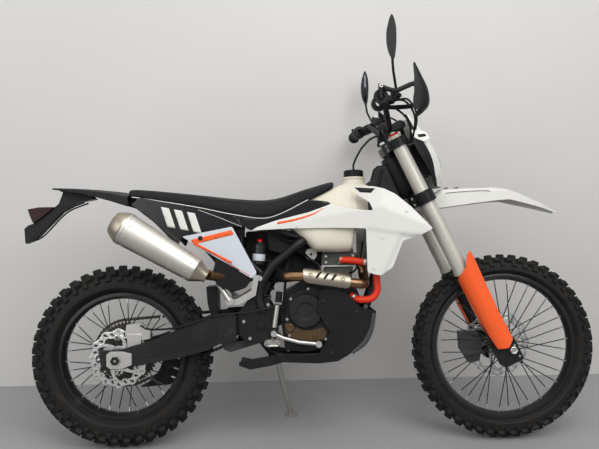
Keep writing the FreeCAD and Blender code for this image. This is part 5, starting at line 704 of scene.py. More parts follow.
class Workshop:
    """Turns shells into the scene's pieces and keeps what they share."""

    def __init__(self, frame: dict) -> None:
        """Work out where the frame stands.
        """
        self.frame = frame
        self.effects = Effects()
        self.materials: dict[str, bpy.types.Material] = {}
        self.made: list[str] = []
        self.body = Body.CHASSIS
        places = {joint["name"]: np.array(joint["pos_m"]) for joint in frame["joints"]}
        self.shift = np.zeros(3)
        self.shift = places["rear_wheel_spin"] - self.to_row(REAR_AXLE[None])[0]

    def to_row(self, points: np.ndarray) -> np.ndarray:
        """Return upright points, in millimetres, as leaned points in metres.

        The lean turns (y, z) to (y cos L + z sin L, z cos L - y sin L).
        """
        c, s = math.cos(LEAN), math.sin(LEAN)
        leaned = np.stack([points[:, 0], points[:, 1] * c + points[:, 2] * s,
                           points[:, 2] * c - points[:, 1] * s], 1)
        return leaned * MM + self.shift

    def finish(self, finish: Finish) -> bpy.types.Material:
        """Return a finish's material, built the first time it is asked for."""
        if finish.name not in self.materials:
            self.materials[finish.name] = finish.material(self.effects)
        return self.materials[finish.name]

    def piece(self, name: str, finish: Finish, shell: Shell, *stands_for: str, wall: float = 0.0,
              bevel: float = 0.0, levels: int = 0, crease: float = 38.0) -> bpy.types.Object:
        """Make a piece of a shell, on the body that is being dressed.

        Args:
            name: the piece's name.
            finish: its finish.
            shell: its shape, in millimetres on the upright machine.
            stands_for: CAD nodes that it replaces.
            wall: wall thickness for an open sheet.
            bevel: width of the bevel on its sharp edges.
            levels: subdivision levels.
            crease: edges sharper than this many degrees stay sharp.

        Returns:
            The new object.
        """
        mesh = bpy.data.meshes.new(name)
        mesh.from_pydata(self.to_row(shell.points).tolist(), [], shell.quads.tolist() + shell.caps)
        work = bmesh.new()
        work.from_mesh(mesh)
        bmesh.ops.remove_doubles(work, verts=work.verts, dist=2e-6)
        bmesh.ops.recalc_face_normals(work, faces=work.faces)
        work.to_mesh(mesh)
        work.free()
        made = self.put(name, mesh)
        if wall:
            self.modify(made, "SOLIDIFY", thickness=wall * MM, offset=0.0)
        self.bevelled(made, bevel, crease)
        if levels:
            self.modify(made, "SUBSURF", levels=levels, render_levels=levels)
        return self.dressed(made, finish, stands_for, crease)

    def pair(self, name: str, finish: Finish, shell: Shell, *stands_for: str,
             **options: float) -> bpy.types.Object:
        """Make a piece of a shell and its twin across the centre plane."""
        return self.piece(name, finish, shell.both_sides(), *stands_for, **options)

    @staticmethod
    def put(name: str, data: bpy.types.ID) -> bpy.types.Object:
        """Put a mesh, lamp or camera into the scene as an object."""
        made = bpy.data.objects.new(name, data)
        bpy.context.scene.collection.objects.link(made)
        return made

    def bevelled(self, made: bpy.types.Object, width: float, crease: float) -> None:
        """Bevel an object's sharp edges where it has a width for them."""
        if width:
            self.modify(made, "BEVEL", width=width * MM, segments=2, limit_method="ANGLE",
                        angle_limit=math.radians(crease), harden_normals=False)

    @staticmethod
    def modify(made: bpy.types.Object, kind: str, **settings: object) -> None:
        """Add a modifier with its settings."""
        modifier = made.modifiers.new(kind.lower(), kind)
        for name, value in settings.items():
            setattr(modifier, name, value)

    def dressed(self, made: bpy.types.Object, finish: Finish, stands_for: Sequence[str], crease: float
                ) -> bpy.types.Object:
        """Shade a piece, give it its finish and hang it on its body."""
        made.data.shade_smooth()
        made.data.set_sharp_from_angle(angle=math.radians(crease))
        made.data.materials.clear()
        made.data.materials.append(self.finish(finish))
        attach(made, self.body.value)
        if stands_for:
            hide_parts(*stands_for)
        self.made.append(made.name)
        LOG.info("%s rides on %s", made.name, self.body.value)
        return made

    def carried(self, node: str, finish: Finish, bevel: float = 0.0,
                crease: float = 30.0) -> bpy.types.Object:
        """Stand a merged and smoothed copy in for a CAD node.

        Args:
            node: the node's name.
            finish: its finish.
            bevel: width of the bevel on its sharp edges.
            crease: edges sharper than this many degrees stay sharp.

        Returns:
            The copy.
        """
        mesh = self.frame["nodes"][node].data.copy()
        work = bmesh.new()
        work.from_mesh(mesh)
        bmesh.ops.remove_doubles(work, verts=work.verts, dist=1e-5)
        bmesh.ops.dissolve_degenerate(work, edges=work.edges, dist=1e-6)
        if bevel:
            bmesh.ops.dissolve_limit(work, angle_limit=math.radians(1.0), verts=work.verts, edges=work.edges)
        for edge in work.edges:
            edge.smooth = True
        work.to_mesh(mesh)
        work.free()
        made = self.put(node + "_finished", mesh)
        if mesh.has_custom_normals:
            with bpy.context.temp_override(object=made, active_object=made):
                bpy.ops.mesh.customdata_custom_splitnormals_clear()
        self.bevelled(made, bevel, crease)
        return self.dressed(made, finish, [node], crease)


# ---------------------------------------------------------------- wheels

@dataclass
class Wheel:
    """One spoked wheel with its knobbly tyre and its disc."""

    name: str
    body: Body
    axle: np.ndarray
    radius: float
    crown: float
    bead: float
    rim_half: float
    lug_rows: int
    lug_height: float
    hub_radius: float
    flange_radius: float
    flange_offset: float
    hub_ends: tuple[float, float]
    disc_y: float
    disc_radius: float
    disc_collar: float
    spoke_count: int = 36
    spoke_tilt: float = math.radians(38.0)
    rim_depth: float = 15.4
    disc_band: float = 26.0
    disc_cells: int = 24

    def build(self, shop: Workshop) -> None:
        """Make and dress the tyre, the rim, the spokes, the hub and the disc."""
        name = self.name
        shop.piece(f"{name}_tyre_tread", F_TYRE, self.tyre(), f"{name}_tyre", crease=30)
        shop.piece(f"{name}_rim", F_WHEEL, self.rim(), f"{name}_wheel", crease=30)
        shop.piece(f"{name}_spokes", F_WHEEL, self.spokes())
        shop.piece(f"{name}_nipples", F_SILVER, self.nipples())
        shop.piece(f"{name}_hub", F_WHEEL, self.hub())
        shop.piece(f"{name}_brake_disc", F_DISC, self.disc(), f"{name}_disc", bevel=0.4)
        shop.piece(f"{name}_disc_bolts", F_SILVER, self.disc_bolts())

    def carcass(self, count: int) -> np.ndarray:
        """Return the carcass's section from bead to bead, as radius and y, by the lugs' feet."""
        top = self.radius - self.lug_height
        centre = self.radius - self.crown
        bead = self.bead + 9.0
        half = [(top, 0.0), (top - 2.5, self.crown * 0.33), (top - 10.0, self.crown * 0.62),
                (centre + self.crown * 0.22, self.crown * 0.84), (centre - 6.0, self.crown * 0.93),
                (bead + (centre - bead) * 0.4, self.crown * 0.95), (bead + 4.0, self.rim_half + 3.0),
                (bead, self.rim_half - 2.0)]
        full = [(r, -y) for r, y in reversed(half[1:])] + half
        return curve(full, count)

    def tyre(self) -> Shell:
        """Return the carcass turned round the axle, with its blocks of tread."""
        section = self.carcass(49)
        inner = np.array([[self.bead + 1.0, self.rim_half - 4.0], [self.bead + 1.0, 4.0 - self.rim_half]])
        body = turned(np.vstack([section, inner]), self.axle, (0, 1, 0), 120, closed=True)
        ribs = [turned([(r, y), (r + 1.6, y * 1.012 + 0.7), (r + 3.2, y)], self.axle, (0, 1, 0), 120)
                for r, y in section[[6, 8, 40, 42]]]
        return joined(body, *ribs, self.lugs())

    def lugs(self) -> Shell:
        """Return the tread blocks.

        A block's corner (a, b, c) lies at foot + a t + b l + c n, where t runs round the wheel, l
        across the carcass and n out of it. Each block narrows from its foot to its top.
        """
        section = self.carcass(401)
        steps = np.r_[0.0, np.cumsum(np.linalg.norm(np.diff(section, axis=0), axis=1))]
        steps -= steps[-1] / 2
        pitch = 2 * math.pi / self.lug_rows
        corners = np.array([[a * s, b * s, c] for c, s in ((-0.25, 1.0), (0.84, 0.86), (1.0, 0.74))
                            for a, b in ((-1, -1), (1, -1), (1, 1), (-1, 1))])
        foot = np.arange(4)
        following = (foot + 1) % 4
        sides = [np.stack([foot, following, following + 4, foot + 4], 1) + 4 * k for k in (0, 1)]
        block = Shell(corners, np.vstack(sides + [[[8, 9, 10, 11]], [[3, 2, 1, 0]]]))
        side = np.array([0.0, 1.0, 0.0])
        shells = []
        for phase, place, length, half, height in ((0.5, 0.17, 0.56, 0.145, 1.0),
                                                   (0.0, 0.78, 0.60, 0.22, 1.0),
                                                   (0.5, 1.16, 0.46, 0.15, 0.62)):
            radial = polar(1.0, (np.arange(self.lug_rows) + phase) * pitch)
            tangent = radial[:, [2, 1, 0]] * [-1, 1, 1]
            for across in (place * self.crown, -place * self.crown):
                at, before, after = (
                    np.array([np.interp(across + shift, steps, section[:, k]) for k in (0, 1)])
                    for shift in (0, -2, 2))
                slope = unit(after - before)
                over, out = radial * slope[0] + side * slope[1], radial * slope[1] - side * slope[0]
                turns = np.stack([tangent * (length * pitch * at[0] / 2), over * (half * self.crown),
                                  out * (height * self.lug_height)], -1)
                shells.append(block.copies(turns, self.axle + radial * at[0] + side * at[1]))
        return joined(*shells)

    def rim(self) -> Shell:
        """Return the rim turned from its closed section."""
        inner, half = self.bead - self.rim_depth, self.rim_half
        right = [(inner, 0.0), (inner + 0.6, -half * 0.3), (inner + 3.0, -half * 0.5),
                 (self.bead - 5.0, -half),
                 (self.bead + 7.0, -half), (self.bead + 9.0, -half + 1.0), (self.bead + 9.0, -half + 2.6),
                 (self.bead + 0.6, -half + 3.6), (self.bead, -half + 12.0), (inner + 4.5, -half * 0.38)]
        left = [(r, -y) for r, y in reversed(right[1:])]
        return turned(right + left, self.axle, (0, 1, 0), 120, closed=True)

    def spoke_ends(self) -> tuple[np.ndarray, np.ndarray]:
        """Return the hub end and the rim end of every spoke."""
        k = np.arange(self.spoke_count)
        side = np.where(k % 2, 1.0, -1.0)
        tilt = np.where((k // 2) % 2, self.spoke_tilt, -self.spoke_tilt)
        rim_turn = 2 * math.pi / self.spoke_count * (k + 0.5)
        start = polar(self.flange_radius - 4.0, rim_turn + tilt, side * (self.flange_offset + 3.0))
        end = polar(self.bead - self.rim_depth + 1.0, rim_turn, side * self.rim_half * 0.25)
        return self.axle + start, self.axle + end

    def spokes(self) -> Shell:
        """Return the crossed spokes as thin round bars."""
        start, end = self.spoke_ends()
        return joined(*[tube(np.stack([a, (a + b) / 2, b]), 2.0, 8) for a, b in zip(start, end)])

    def nipples(self) -> Shell:
        """Return the spoke nipples at the rim."""
        start, end = self.spoke_ends()
        way = unit(end - start)
        return joined(*[tube(np.stack([b - w * 17.0, b - w * 6.0, b]), 3.2, 6) for b, w in zip(end, way)])

    def hub(self) -> Shell:
        """Return the hub with its two flanges, turned."""
        r, f, o = self.hub_radius, self.flange_radius, self.flange_offset
        low, high = self.hub_ends
        profile = [(11.0, -low), (r - 3, -low), (r, -low + 3), (r + 1, -o - 9), (f - 1, -o - 6), (f, -o - 5),
                   (f, -o - 1), (f - 1, -o), (r + 2, -o + 3), (r * 0.86, -o / 2), (r * 0.86, o / 2),
                   (r + 2, o - 3),
                   (f - 1, o), (f, o + 1), (f, o + 5), (f - 1, o + 6), (r + 1, o + 9), (r, high - 3),
                   (r - 3, high), (11.0, high)]
        return turned(profile, self.axle, (0, 1, 0), 64, closed=True)

    def disc(self) -> Shell:
        """Return the waved disc with its ring of oval holes and its arms.

        The band is a ring of cells. In each, the point at (t, a) runs from the cell's border to
        the edge of an oval hole: border(a) (1 - t) + oval(a) t.
        """
        angle = np.linspace(0, 2 * math.pi, 24, endpoint=False)
        border = np.stack([np.cos(angle), np.sin(angle)], 1)
        border /= np.abs(border).max(1, keepdims=True)
        oval = np.stack([0.42 * np.cos(angle) + 0.25 * np.sin(angle), 0.52 * np.sin(angle)], 1)
        t = np.linspace(0, 1, 3)[:, None, None]
        flat = border[None] * (1 - t) + oval[None] * t
        shells = []
        for k in range(self.disc_cells):
            turn, reach = self.on_band(2 * k + flat[..., 0], flat[..., 1])
            shells += [grid(self.axle + polar(reach, turn, self.disc_y + y), wrap_v=True)
                       for y in (-2.0, 2.0)]
            shells.append(self.wall(*self.on_band(2 * k + oval[:, 0], oval[:, 1])))
        along = np.linspace(0, 2 * self.disc_cells, 288, endpoint=False)
        return joined(*shells, *[self.wall(*self.on_band(along, side)) for side in (1.0, -1.0)], self.arms())

    def on_band(self, along: np.ndarray, across: float | np.ndarray) -> tuple[np.ndarray, np.ndarray]:
        """Return the turn and the radius of places on the waved band, -1 across being its inner edge."""
        turn = along * math.pi / self.disc_cells
        outer = self.disc_radius - 4.0 + 4.0 * np.cos(turn * 12)
        return turn, outer - self.disc_band * (0.5 - 0.5 * across)

    def wall(self, turn: np.ndarray, reach: np.ndarray) -> Shell:
        """Return the disc's edge along a closed line of angles and radii."""
        rims = [self.axle + polar(reach, turn, self.disc_y + y) for y in (-2.0, 2.0)]
        return grid(np.stack(rims), wrap_v=True)

    def arms(self) -> Shell:
        """Return the collar and the six arms that carry the band."""
        collar_in, collar_out = self.disc_collar - 14.0, self.disc_collar
        collar = turned([(collar_in, self.disc_y - 2.2), (collar_out, self.disc_y - 2.2),
                         (collar_out, self.disc_y + 2.2), (collar_in, self.disc_y + 2.2)], self.axle,
                        (0, 1, 0), 72, closed=True)
        reach = np.linspace(collar_out - 3.0, self.disc_radius - self.disc_band + 1.0, 9)
        bend = 0.5 * ((reach - reach[0]) / (reach[-1] - reach[0])) ** 1.3
        half = np.interp(reach, [reach[0], reach.mean(), reach[-1]], [11.0, 6.5, 9.0]) / reach
        arms = []
        for k in range(6):
            turn = 2 * math.pi / 6 * k + bend
            outline = np.vstack([np.stack([reach * np.cos(turn - half), reach * np.sin(turn - half)], 1),
                                 np.stack([reach * np.cos(turn + half), reach * np.sin(turn + half)],
                                          1)[::-1]])
            arms.append(plate(outline + self.axle[[0, 2]], self.disc_y - 1.9, self.disc_y + 1.9))
        return joined(collar, *arms)

    def disc_bolts(self) -> Shell:
        """Return the bolts that hold the disc to the hub."""
        out = math.copysign(1.0, self.disc_y)
        centre = self.axle + [0.0, self.disc_y + out * 2.0, 0.0]
        return bolt_heads(around(centre, self.disc_collar - 7.0, 6, 0.2), 5.0, 4.0, (0, out, 0))


# ---------------------------------------------------------------- bodywork

SKIN_X = (-720.0, -480.0, -260.0, -90.0, 0.0, 95.0, 190.0, 300.0, 440.0)
COVER_REACHES = (88.0, 100.0, 112.0, 119.0, 124.0, 128.0, 130.0, 130.0, 130.0)
SHROUD_REACHES = (84.0, 96.0, 110.0, 126.0, 137.0, 150.0, 171.0, 187.0, 178.0)


def plan(reaches: Sequence[float], extra: float = 0.0) -> Callable[[np.ndarray, np.ndarray], np.ndarray]:
    """Return a smooth plan-view curve as a function of x and z.

    Args:
        reaches: distance from the centre plane at each place of SKIN_X.
        extra: distance added everywhere.

    Returns:
        The function.
    """
    line = curve(list(zip(SKIN_X, reaches)), 240)
    return lambda x, z: np.interp(x, line[:, 0], line[:, 1]) + extra


def step_up(value: np.ndarray, width: float) -> np.ndarray:
    """Return a soft step from 0 to 1 over about twice the width round zero."""
    return 1.0 / (1.0 + np.exp(-np.clip(value / width, -30, 30)))


def ribbon(points: Points, widths: Sequence[float], count: int = 24) -> np.ndarray:
    """Return the side-view outline of a tapering stripe.

    Args:
        points: its middle line.
        widths: its width at each of those points.
        count: samples along it.

    Returns:
        The outline: the middle line moved half the width to both sides.
    """
    data = curve([(*point, width) for point, width in zip(points, widths)], count)
    along = unit(np.gradient(data[:, :2], axis=0))
    side = np.stack([-along[:, 1], along[:, 0]], 1) * data[:, 2:] / 2
    return np.vstack([data[:, :2] + side, (data[:, :2] - side)[::-1]])


@dataclass
class Assembly:
    """Pieces that ride on one body."""

    body: Body = Body.CHASSIS


@dataclass
class Shrouds(Assembly):
    """The two radiator shrouds with their creases, second layer and black sheets of painted shade in their
    recess and their gap.
    """

    outline: tuple = ((-231, 803), (-91, 809), (95, 808), (186, 804), (190, 645), (236, 633), (280, 662),
                      (318, 758),
                      (347, 766), (387, 780), (426, 800), (350, 878), (293, 926), (254, 946), (215, 956),
                      (137, 957),
                      (160, 925), (200, 898), (212, 868), (140, 874), (61, 894), (-20, 866), (-140, 838),
                      (-206, 816))
    # Outline of the black patch of painted shade laid on the shroud's recess by the tank.
    recess: tuple = ((148, 954), (222, 948), (206, 932), (168, 935))
    # Outline of the black sheet of painted shade behind the gap between the shroud and the tank.
    shaded_gap: tuple = ((196, 922), (206, 918), (226, 896), (226, 862), (196, 866))
    screws: tuple = ((-60, 818), (244, 770), (214, 660), (330, 862))

    def build(self, shop: Workshop) -> None:
        """Make and dress the shrouds, their black sheets of painted shade, the stripe and the screws."""
        shop.pair("shroud_skins", F_WHITE, sheet(softened(self.outline, 7.0, 4), self.reach, 7.0),
                  "radiator_shrouds", wall=3.0, bevel=0.5)
        line = ribbon([(-134, 829), (-62, 842), (0, 861), (36, 881)], (8.5, 7.5, 5.0, 1.2))
        # The recess piece is painted shade: a black patch laid on the shroud where its recess lies.
        for name, finish, shape, out, wall in (("shroud_recess_shade", F_BLACK, self.recess, 1.9, 0.6),
                                               # This black sheet, 13 mm inside the skin, is painted shade
                                               # behind the gap between the shroud and the tank.
                                               ("shroud_gap_shade", F_BLACK, self.shaded_gap, -13.0, 2.0),
                                               ("shroud_stripes", F_ORANGE, line, 1.9, 0.6)):
            shop.pair(name, finish, self.insert(shape, out), wall=wall)
        x, z = np.array(self.screws, float).T
        shop.pair("shroud_screws", F_WHITE, bolt_heads(np.stack([x, -self.reach(x, z) - 1.4, z], 1), 6.0,
                                                       2.2))

    def reach(self, x: np.ndarray, z: np.ndarray) -> np.ndarray:
        """Return the skin's distance from the centre plane.

        It is the plan curve, leaning in by 0.17 of the height above a crease that runs to the tip
        and by 0.05 of the depth below it, less a step at the root of the lower fin and a second
        step at the edge of its rear layer.
        """
        crease = np.interp(x, [-231, 60, 240, 426], [806, 856, 880, 800])
        skin = plan(SHROUD_REACHES)(x, z)
        skin = skin - 0.17 * np.clip(z - crease, 0, None) - 0.05 * np.clip(crease - z, 0, None)
        root = np.interp(x, [186, 350], [803, 776])
        edge = np.interp(z, [635, 770], [246, 308])
        lower = step_up(root - z, 2.0) * step_up(x - 188, 2.0)
        return skin - 4.0 * lower - 6.0 * lower * step_up(x - edge, 1.6)

    def insert(self, outline: Points, out: float) -> Shell:
        """Return a thin piece that follows the shroud at a distance outside its middle."""
        return sheet(outline, lambda x, z: self.reach(x, z) + out, 8.0)


@dataclass
class SideCovers(Assembly):
    """The dark covers under the seat and the white lower panels, greyed by painted shade, with their stripes.
    """

    wedge: tuple = ((-259, 818), (-229, 806), (-206, 817), (-140, 839), (-20, 867), (60, 895), (62, 900),
                    (50, 906),
                    (-14, 914), (-66, 886), (-136, 856), (-172, 846), (-206, 842), (-280, 850), (-270, 830))
    number: tuple = ((-672, 906), (-640, 932), (-416, 884), (-300, 860), (-283, 850), (-262, 817),
                     (-300, 820), (-486, 786), (-500, 748), (-540, 790), (-586, 838))
    panel: tuple = ((-485, 785), (-300, 819), (-211, 648), (-229, 627), (-414, 740))
    arrow: tuple = ((-452, 773), (-302, 807), (-294, 790), (-428, 759), (-300, 690), (-304, 683), (-441, 754))
    bars: tuple = ((-562, 896), (-514, 886), (-466, 876))
    trim_out: float = 1.9

    def build(self, shop: Workshop) -> None:
        """Make and dress the covers, the panels and their stripes."""
        covers = joined(self.skin(self.wedge, 0.0, 5.0), self.skin(self.number, 0.0, 7.0))
        shop.pair("seat_covers", F_GLOSS_BLACK, covers, "side_covers", wall=3.0, bevel=0.6)
        # The lower panels are white; their finish is a darker, bluer white as painted shade.
        shop.pair("shaded_white_panels", F_SHADED_WHITE, self.skin(self.panel, 0.0, 7.0), "lower_panels", wall=3.0, bevel=0.6)
        shop.pair("panel_stripes", F_ORANGE, self.skin(self.arrow), wall=0.6)
        shop.pair("panel_edges", F_RED_LINE, self.skin(ribbon([(-405, 741), (-320, 689), (-236, 636)],
                                                              (2.2,) * 3)),
                  wall=0.6)
        shop.pair("panel_grommets", F_RUBBER, turned([(0.01, 0), (8, 0), (9, 1.2), (9, 2.4), (7, 3),
                                                      (0.01, 2.2)],
                                                     (-417, -104.5, 778), RIGHT, 24))
        bars = [self.skin([(x, z), (x + 30, z - 6), (x + 54, z - 80), (x + 24, z - 74)], soft=3.0)
                for x, z in self.bars]
        shop.pair("number_bars", F_WHITE, joined(*bars), wall=0.6)
        shop.pair("number_lines", F_WHITE, self.skin(ribbon([(-424, 883), (-340, 850), (-264, 818)],
                                                            (1.6,) * 3)),
                  wall=0.6)

    def skin(self, outline: Points, out: float | None = None, soft: float = 0.0) -> Shell:
        """Return the curved skin within an outline, a distance outside the cover's middle."""
        line = softened(outline, soft, 4) if soft else outline
        return sheet(line, plan(COVER_REACHES, self.trim_out if out is None else out), 10.0)


@dataclass
class Seat(Assembly):
    """The long seat cushion with its pale piping and its seams."""

    half: float = 108.0
    stations: tuple = ((-690, 944, 958, 0.50), (-684, 939, 967, 0.64), (-600, 925, 962, 0.80),
                       (-430, 894, 943, 0.98),
                       (-300, 866, 928, 1.0), (-190, 850, 921, 0.92), (-118, 868, 931, 0.82),
                       (-24, 915, 961, 0.72), (70, 960, 987, 0.58), (84, 968, 984, 0.42))

    def build(self, shop: Workshop) -> None:
        """Make and dress the cushion, the piping and the seams."""
        cushion = shop.piece("seat_cushion", F_SEAT, self.cushion(), "seat", levels=1, crease=70)
        shop.pair("seat_piping", F_WHITE, tube(self.line(96.0, -0.4), 1.7, 8, UP))
        shop.pair("seat_seams", F_RUBBER, tube(self.line(52.0, 0.2), 1.1, 6, UP))

    def table(self, count: int) -> np.ndarray:
        """Return the stations as a smooth table of x, lower height, upper height and half width."""
        rows = curve(self.stations, count)
        rows[:, 3] *= self.half
        return rows

    @staticmethod
    def over(turn: np.ndarray) -> tuple[np.ndarray, np.ndarray]:
        """Return how far out and how far up the section is at a turn from its crown.

        Out is sin(a) to the power 0.62 and up is cos(a) to the power 0.62, each with its sign.
        """
        return powered(np.sin(turn), 0.62), np.clip(np.cos(turn), 0, 1) ** 0.62

    def cushion(self) -> Shell:
        """Return the cushion: a rounded crown over each station, closed below."""
        rows = self.table(60)
        out, up = self.over(np.radians(np.linspace(-90, 90, 27)))
        low, height, half = rows[:, 1, None], (rows[:, 2] - rows[:, 1])[:, None], rows[:, 3, None]
        ring = np.stack([np.broadcast_to(rows[:, :1], (len(rows), len(out))), half * out, low + height * up],
                        -1)
        foot = np.stack([rows[:, 0], rows[:, 3] * 0.8, rows[:, 1] - 1.0], 1)
        ring = np.concatenate([ring, foot[:, None], (foot * [1, -1, 1])[:, None]], 1)
        return grid(ring, wrap_v=True, capped=True)

    def line(self, degrees: float, out: float) -> np.ndarray:
        """Return the line along the right side at a turn from the crown, a distance outside."""
        rows = self.table(120)[4:-3]
        rows = rows[rows[:, 0] < -16.0]
        side, up = (float(value) for value in self.over(np.array(math.radians(min(degrees, 90.0)))))
        drop = 1.5 if degrees > 90.0 else 0.0
        height = rows[:, 1] + (rows[:, 2] - rows[:, 1]) * up - drop
        return np.stack([rows[:, 0], -(rows[:, 3] * side + out), height], 1)


@dataclass
class Tank(Assembly):
    """The translucent tank with its boxy lower half and its filler neck."""

    half: float = 133.0
    neck: tuple = (163, 0, 950)
    stations: tuple = ((-85, 812, 878, 0.50, 0.25), (-60, 788, 893, 0.76, 0.33), (-35, 764, 906, 0.88, 0.40),
                       (-4, 732, 924, 0.95, 0.46), (8, 722, 930, 0.97, 0.49), (60, 718, 954, 1.0, 0.53),
                       (90, 717, 968, 1.0, 0.56), (134, 718, 983, 1.0, 0.565), (146, 728, 986, 0.99, 0.57),
                       (150, 790, 986, 0.97, 0.57), (205, 834, 976, 0.81, 0.53), (262, 872, 934, 0.47, 0.33))

    def build(self, shop: Workshop) -> None:
        """Make and dress the tank with its neck."""
        neck = turned([(70, -46), (64, -30), (56, -10), (49, 8), (43, 28), (40.5, 44), (40.5, 56),
                       (0.01, 56)],
                      self.neck, UP, 64)
        shop.piece("tank_shell", F_TANK, joined(self.shell(), neck), "fuel_tank", crease=50)
        lip = turned([(40.6, 48), (43.5, 49), (43.5, 53), (40.6, 54)], self.neck, UP, 64)
        shop.piece("tank_neck_ring", F_TANK, lip)

    def shell(self) -> Shell:
        """Return the tank's shell.

        Its stations are spread along x and softened by a running mean. In each, the point at
        angle a lies at y = half |cos a|^0.38 narrowed towards the top, z = middle + reach |sin a|^0.42.
        """
        table = np.asarray(self.stations, float)
        x = np.linspace(table[0, 0], table[-1, 0], 150)
        rows = np.stack([np.interp(x, table[:, 0], table[:, k]) for k in range(1, 5)], 1)
        padded = np.pad(rows, ((3, 3), (0, 0)), mode="edge")
        rows = np.mean([padded[k:k + len(rows)] for k in range(7)], axis=0)
        turn = np.linspace(0, 2 * math.pi, 72, endpoint=False)
        share = 0.5 + 0.5 * powered(np.sin(turn), 0.42)
        narrow = 1.0 - (1.0 - rows[:, 3:] / rows[:, 2:3]) * np.clip((share - 0.45) / 0.55, 0, 1)[None] ** 1.6
        y = rows[:, 2:3] * self.half * powered(np.cos(turn), 0.38)[None] * narrow
        z = rows[:, :1] + (rows[:, 1:2] - rows[:, :1]) * share[None]
        return grid(np.stack([np.broadcast_to(x[:, None], y.shape), y, z], -1), wrap_v=True, capped=True)


@dataclass
class Mask(Assembly):
    """The headlamp mask: a pale face, dark flanks, the lamp and the silver brackets."""

    body: Body = Body.STEERING
    fronts: tuple = ((500, 962), (506, 1006), (494, 1066), (472, 1114), (440, 1170), (388, 1238))
    halves: tuple = (64.0, 96.0, 112.0, 112.0, 96.0, 62.0)
    depths: tuple = (36.0, 64.0, 88.0, 92.0, 70.0, 34.0)
    face_depth: float = 46.0
    lamp_radius: float = 118.0

    def build(self, shop: Workshop) -> None:
        """Make and dress the mask and what is on it."""
        shop.piece("mask_face", F_WHITE, self.arched(-1.0, 1.0, 0.0), "headlamp_mask", wall=3.6, bevel=0.8,
                   levels=1)
        shop.piece("mask_flanks", F_BLACK, joined(self.arched(1.0, 2.0, -1.0), self.arched(-2.0, -1.0, -1.0)),
                   wall=3.0, bevel=0.5)
        shop.piece("lamp_glass", F_CLEAR_LENS, self.lamp(), "headlamp", wall=3.0, bevel=0.6)
        shop.piece("lamp_housing", F_BLACK, slab([(404, 1008), (466, 1008), (470, 1062), (448, 1118),
                                                  (402, 1160),
                                                  (374, 1150), (384, 1080)], 10.0, -58.0, 58.0), bevel=2.0)
        shop.pair("mask_brackets", F_SILVER, slab([(368, 1172), (424, 1164), (440, 1140), (418, 1126),
                                                   (380, 1142)],
                                                  5.0, -104.0, -100.5), bevel=0.5)
        slot = slab([(392, 1154), (422, 1156), (428, 1146), (398, 1142)], 5.0, -105.0, -103.5)
        shop.pair("mask_slots", F_BLACK, slot)
        shop.pair("mask_stays", F_BLACK_STEEL, tube([(398, -96, 1130), (360, -112, 1112), (334, -112, 1100)],
                                                    6.0))

    def arched(self, low: float, high: float, out: float) -> Shell:
        """Return a part of the mask's arched surface.

        Each level is an arc of radius R = (half^2 + depth^2) / (2 depth). From -1 to 1 it spans the
        pale face and beyond that the dark flanks, to the arc's ends at -2 and 2.
        """
        table = [(*front, half, depth) for front, half, depth in zip(self.fronts, self.halves, self.depths)]
        front, height, half, depth = curve(table, 30).T
        radius = (half ** 2 + depth ** 2) / (2 * depth)
        ends = np.arccos(np.clip(1 - depth / radius, -1, 1))
        face = np.arccos(np.clip(1 - np.minimum(depth * 0.72, self.face_depth) / radius, -1, 1))
        share = np.linspace(low, high, 25 if high - low > 1.5 else 9)[None]
        inner = np.clip(share, -1, 1) * face[:, None]
        outer = np.sign(share) * np.clip(np.abs(share) - 1, 0, None) * (ends - face)[:, None]
        turn = inner + outer
        reach = (radius + out)[:, None]
        x = (front - radius)[:, None] + reach * np.cos(turn)
        return grid(np.stack([x, reach * np.sin(turn), np.broadcast_to(height[:, None], x.shape)], -1))

    def lamp(self) -> Shell:
        """Return the lamp's glass, a little proud of the mask."""
        z = np.linspace(1034, 1100, 9)
        front = np.interp(z, [row[1] for row in self.fronts], [row[0] for row in self.fronts])
        y, front = np.meshgrid(np.linspace(-50, 50, 15), front)
        x = front + 3.0 - (self.lamp_radius - np.sqrt(self.lamp_radius ** 2 - y ** 2))
        return grid(np.stack([x, y, np.broadcast_to(z[:, None], x.shape)], -1))


# ---------------------------------------------------------------- cockpit

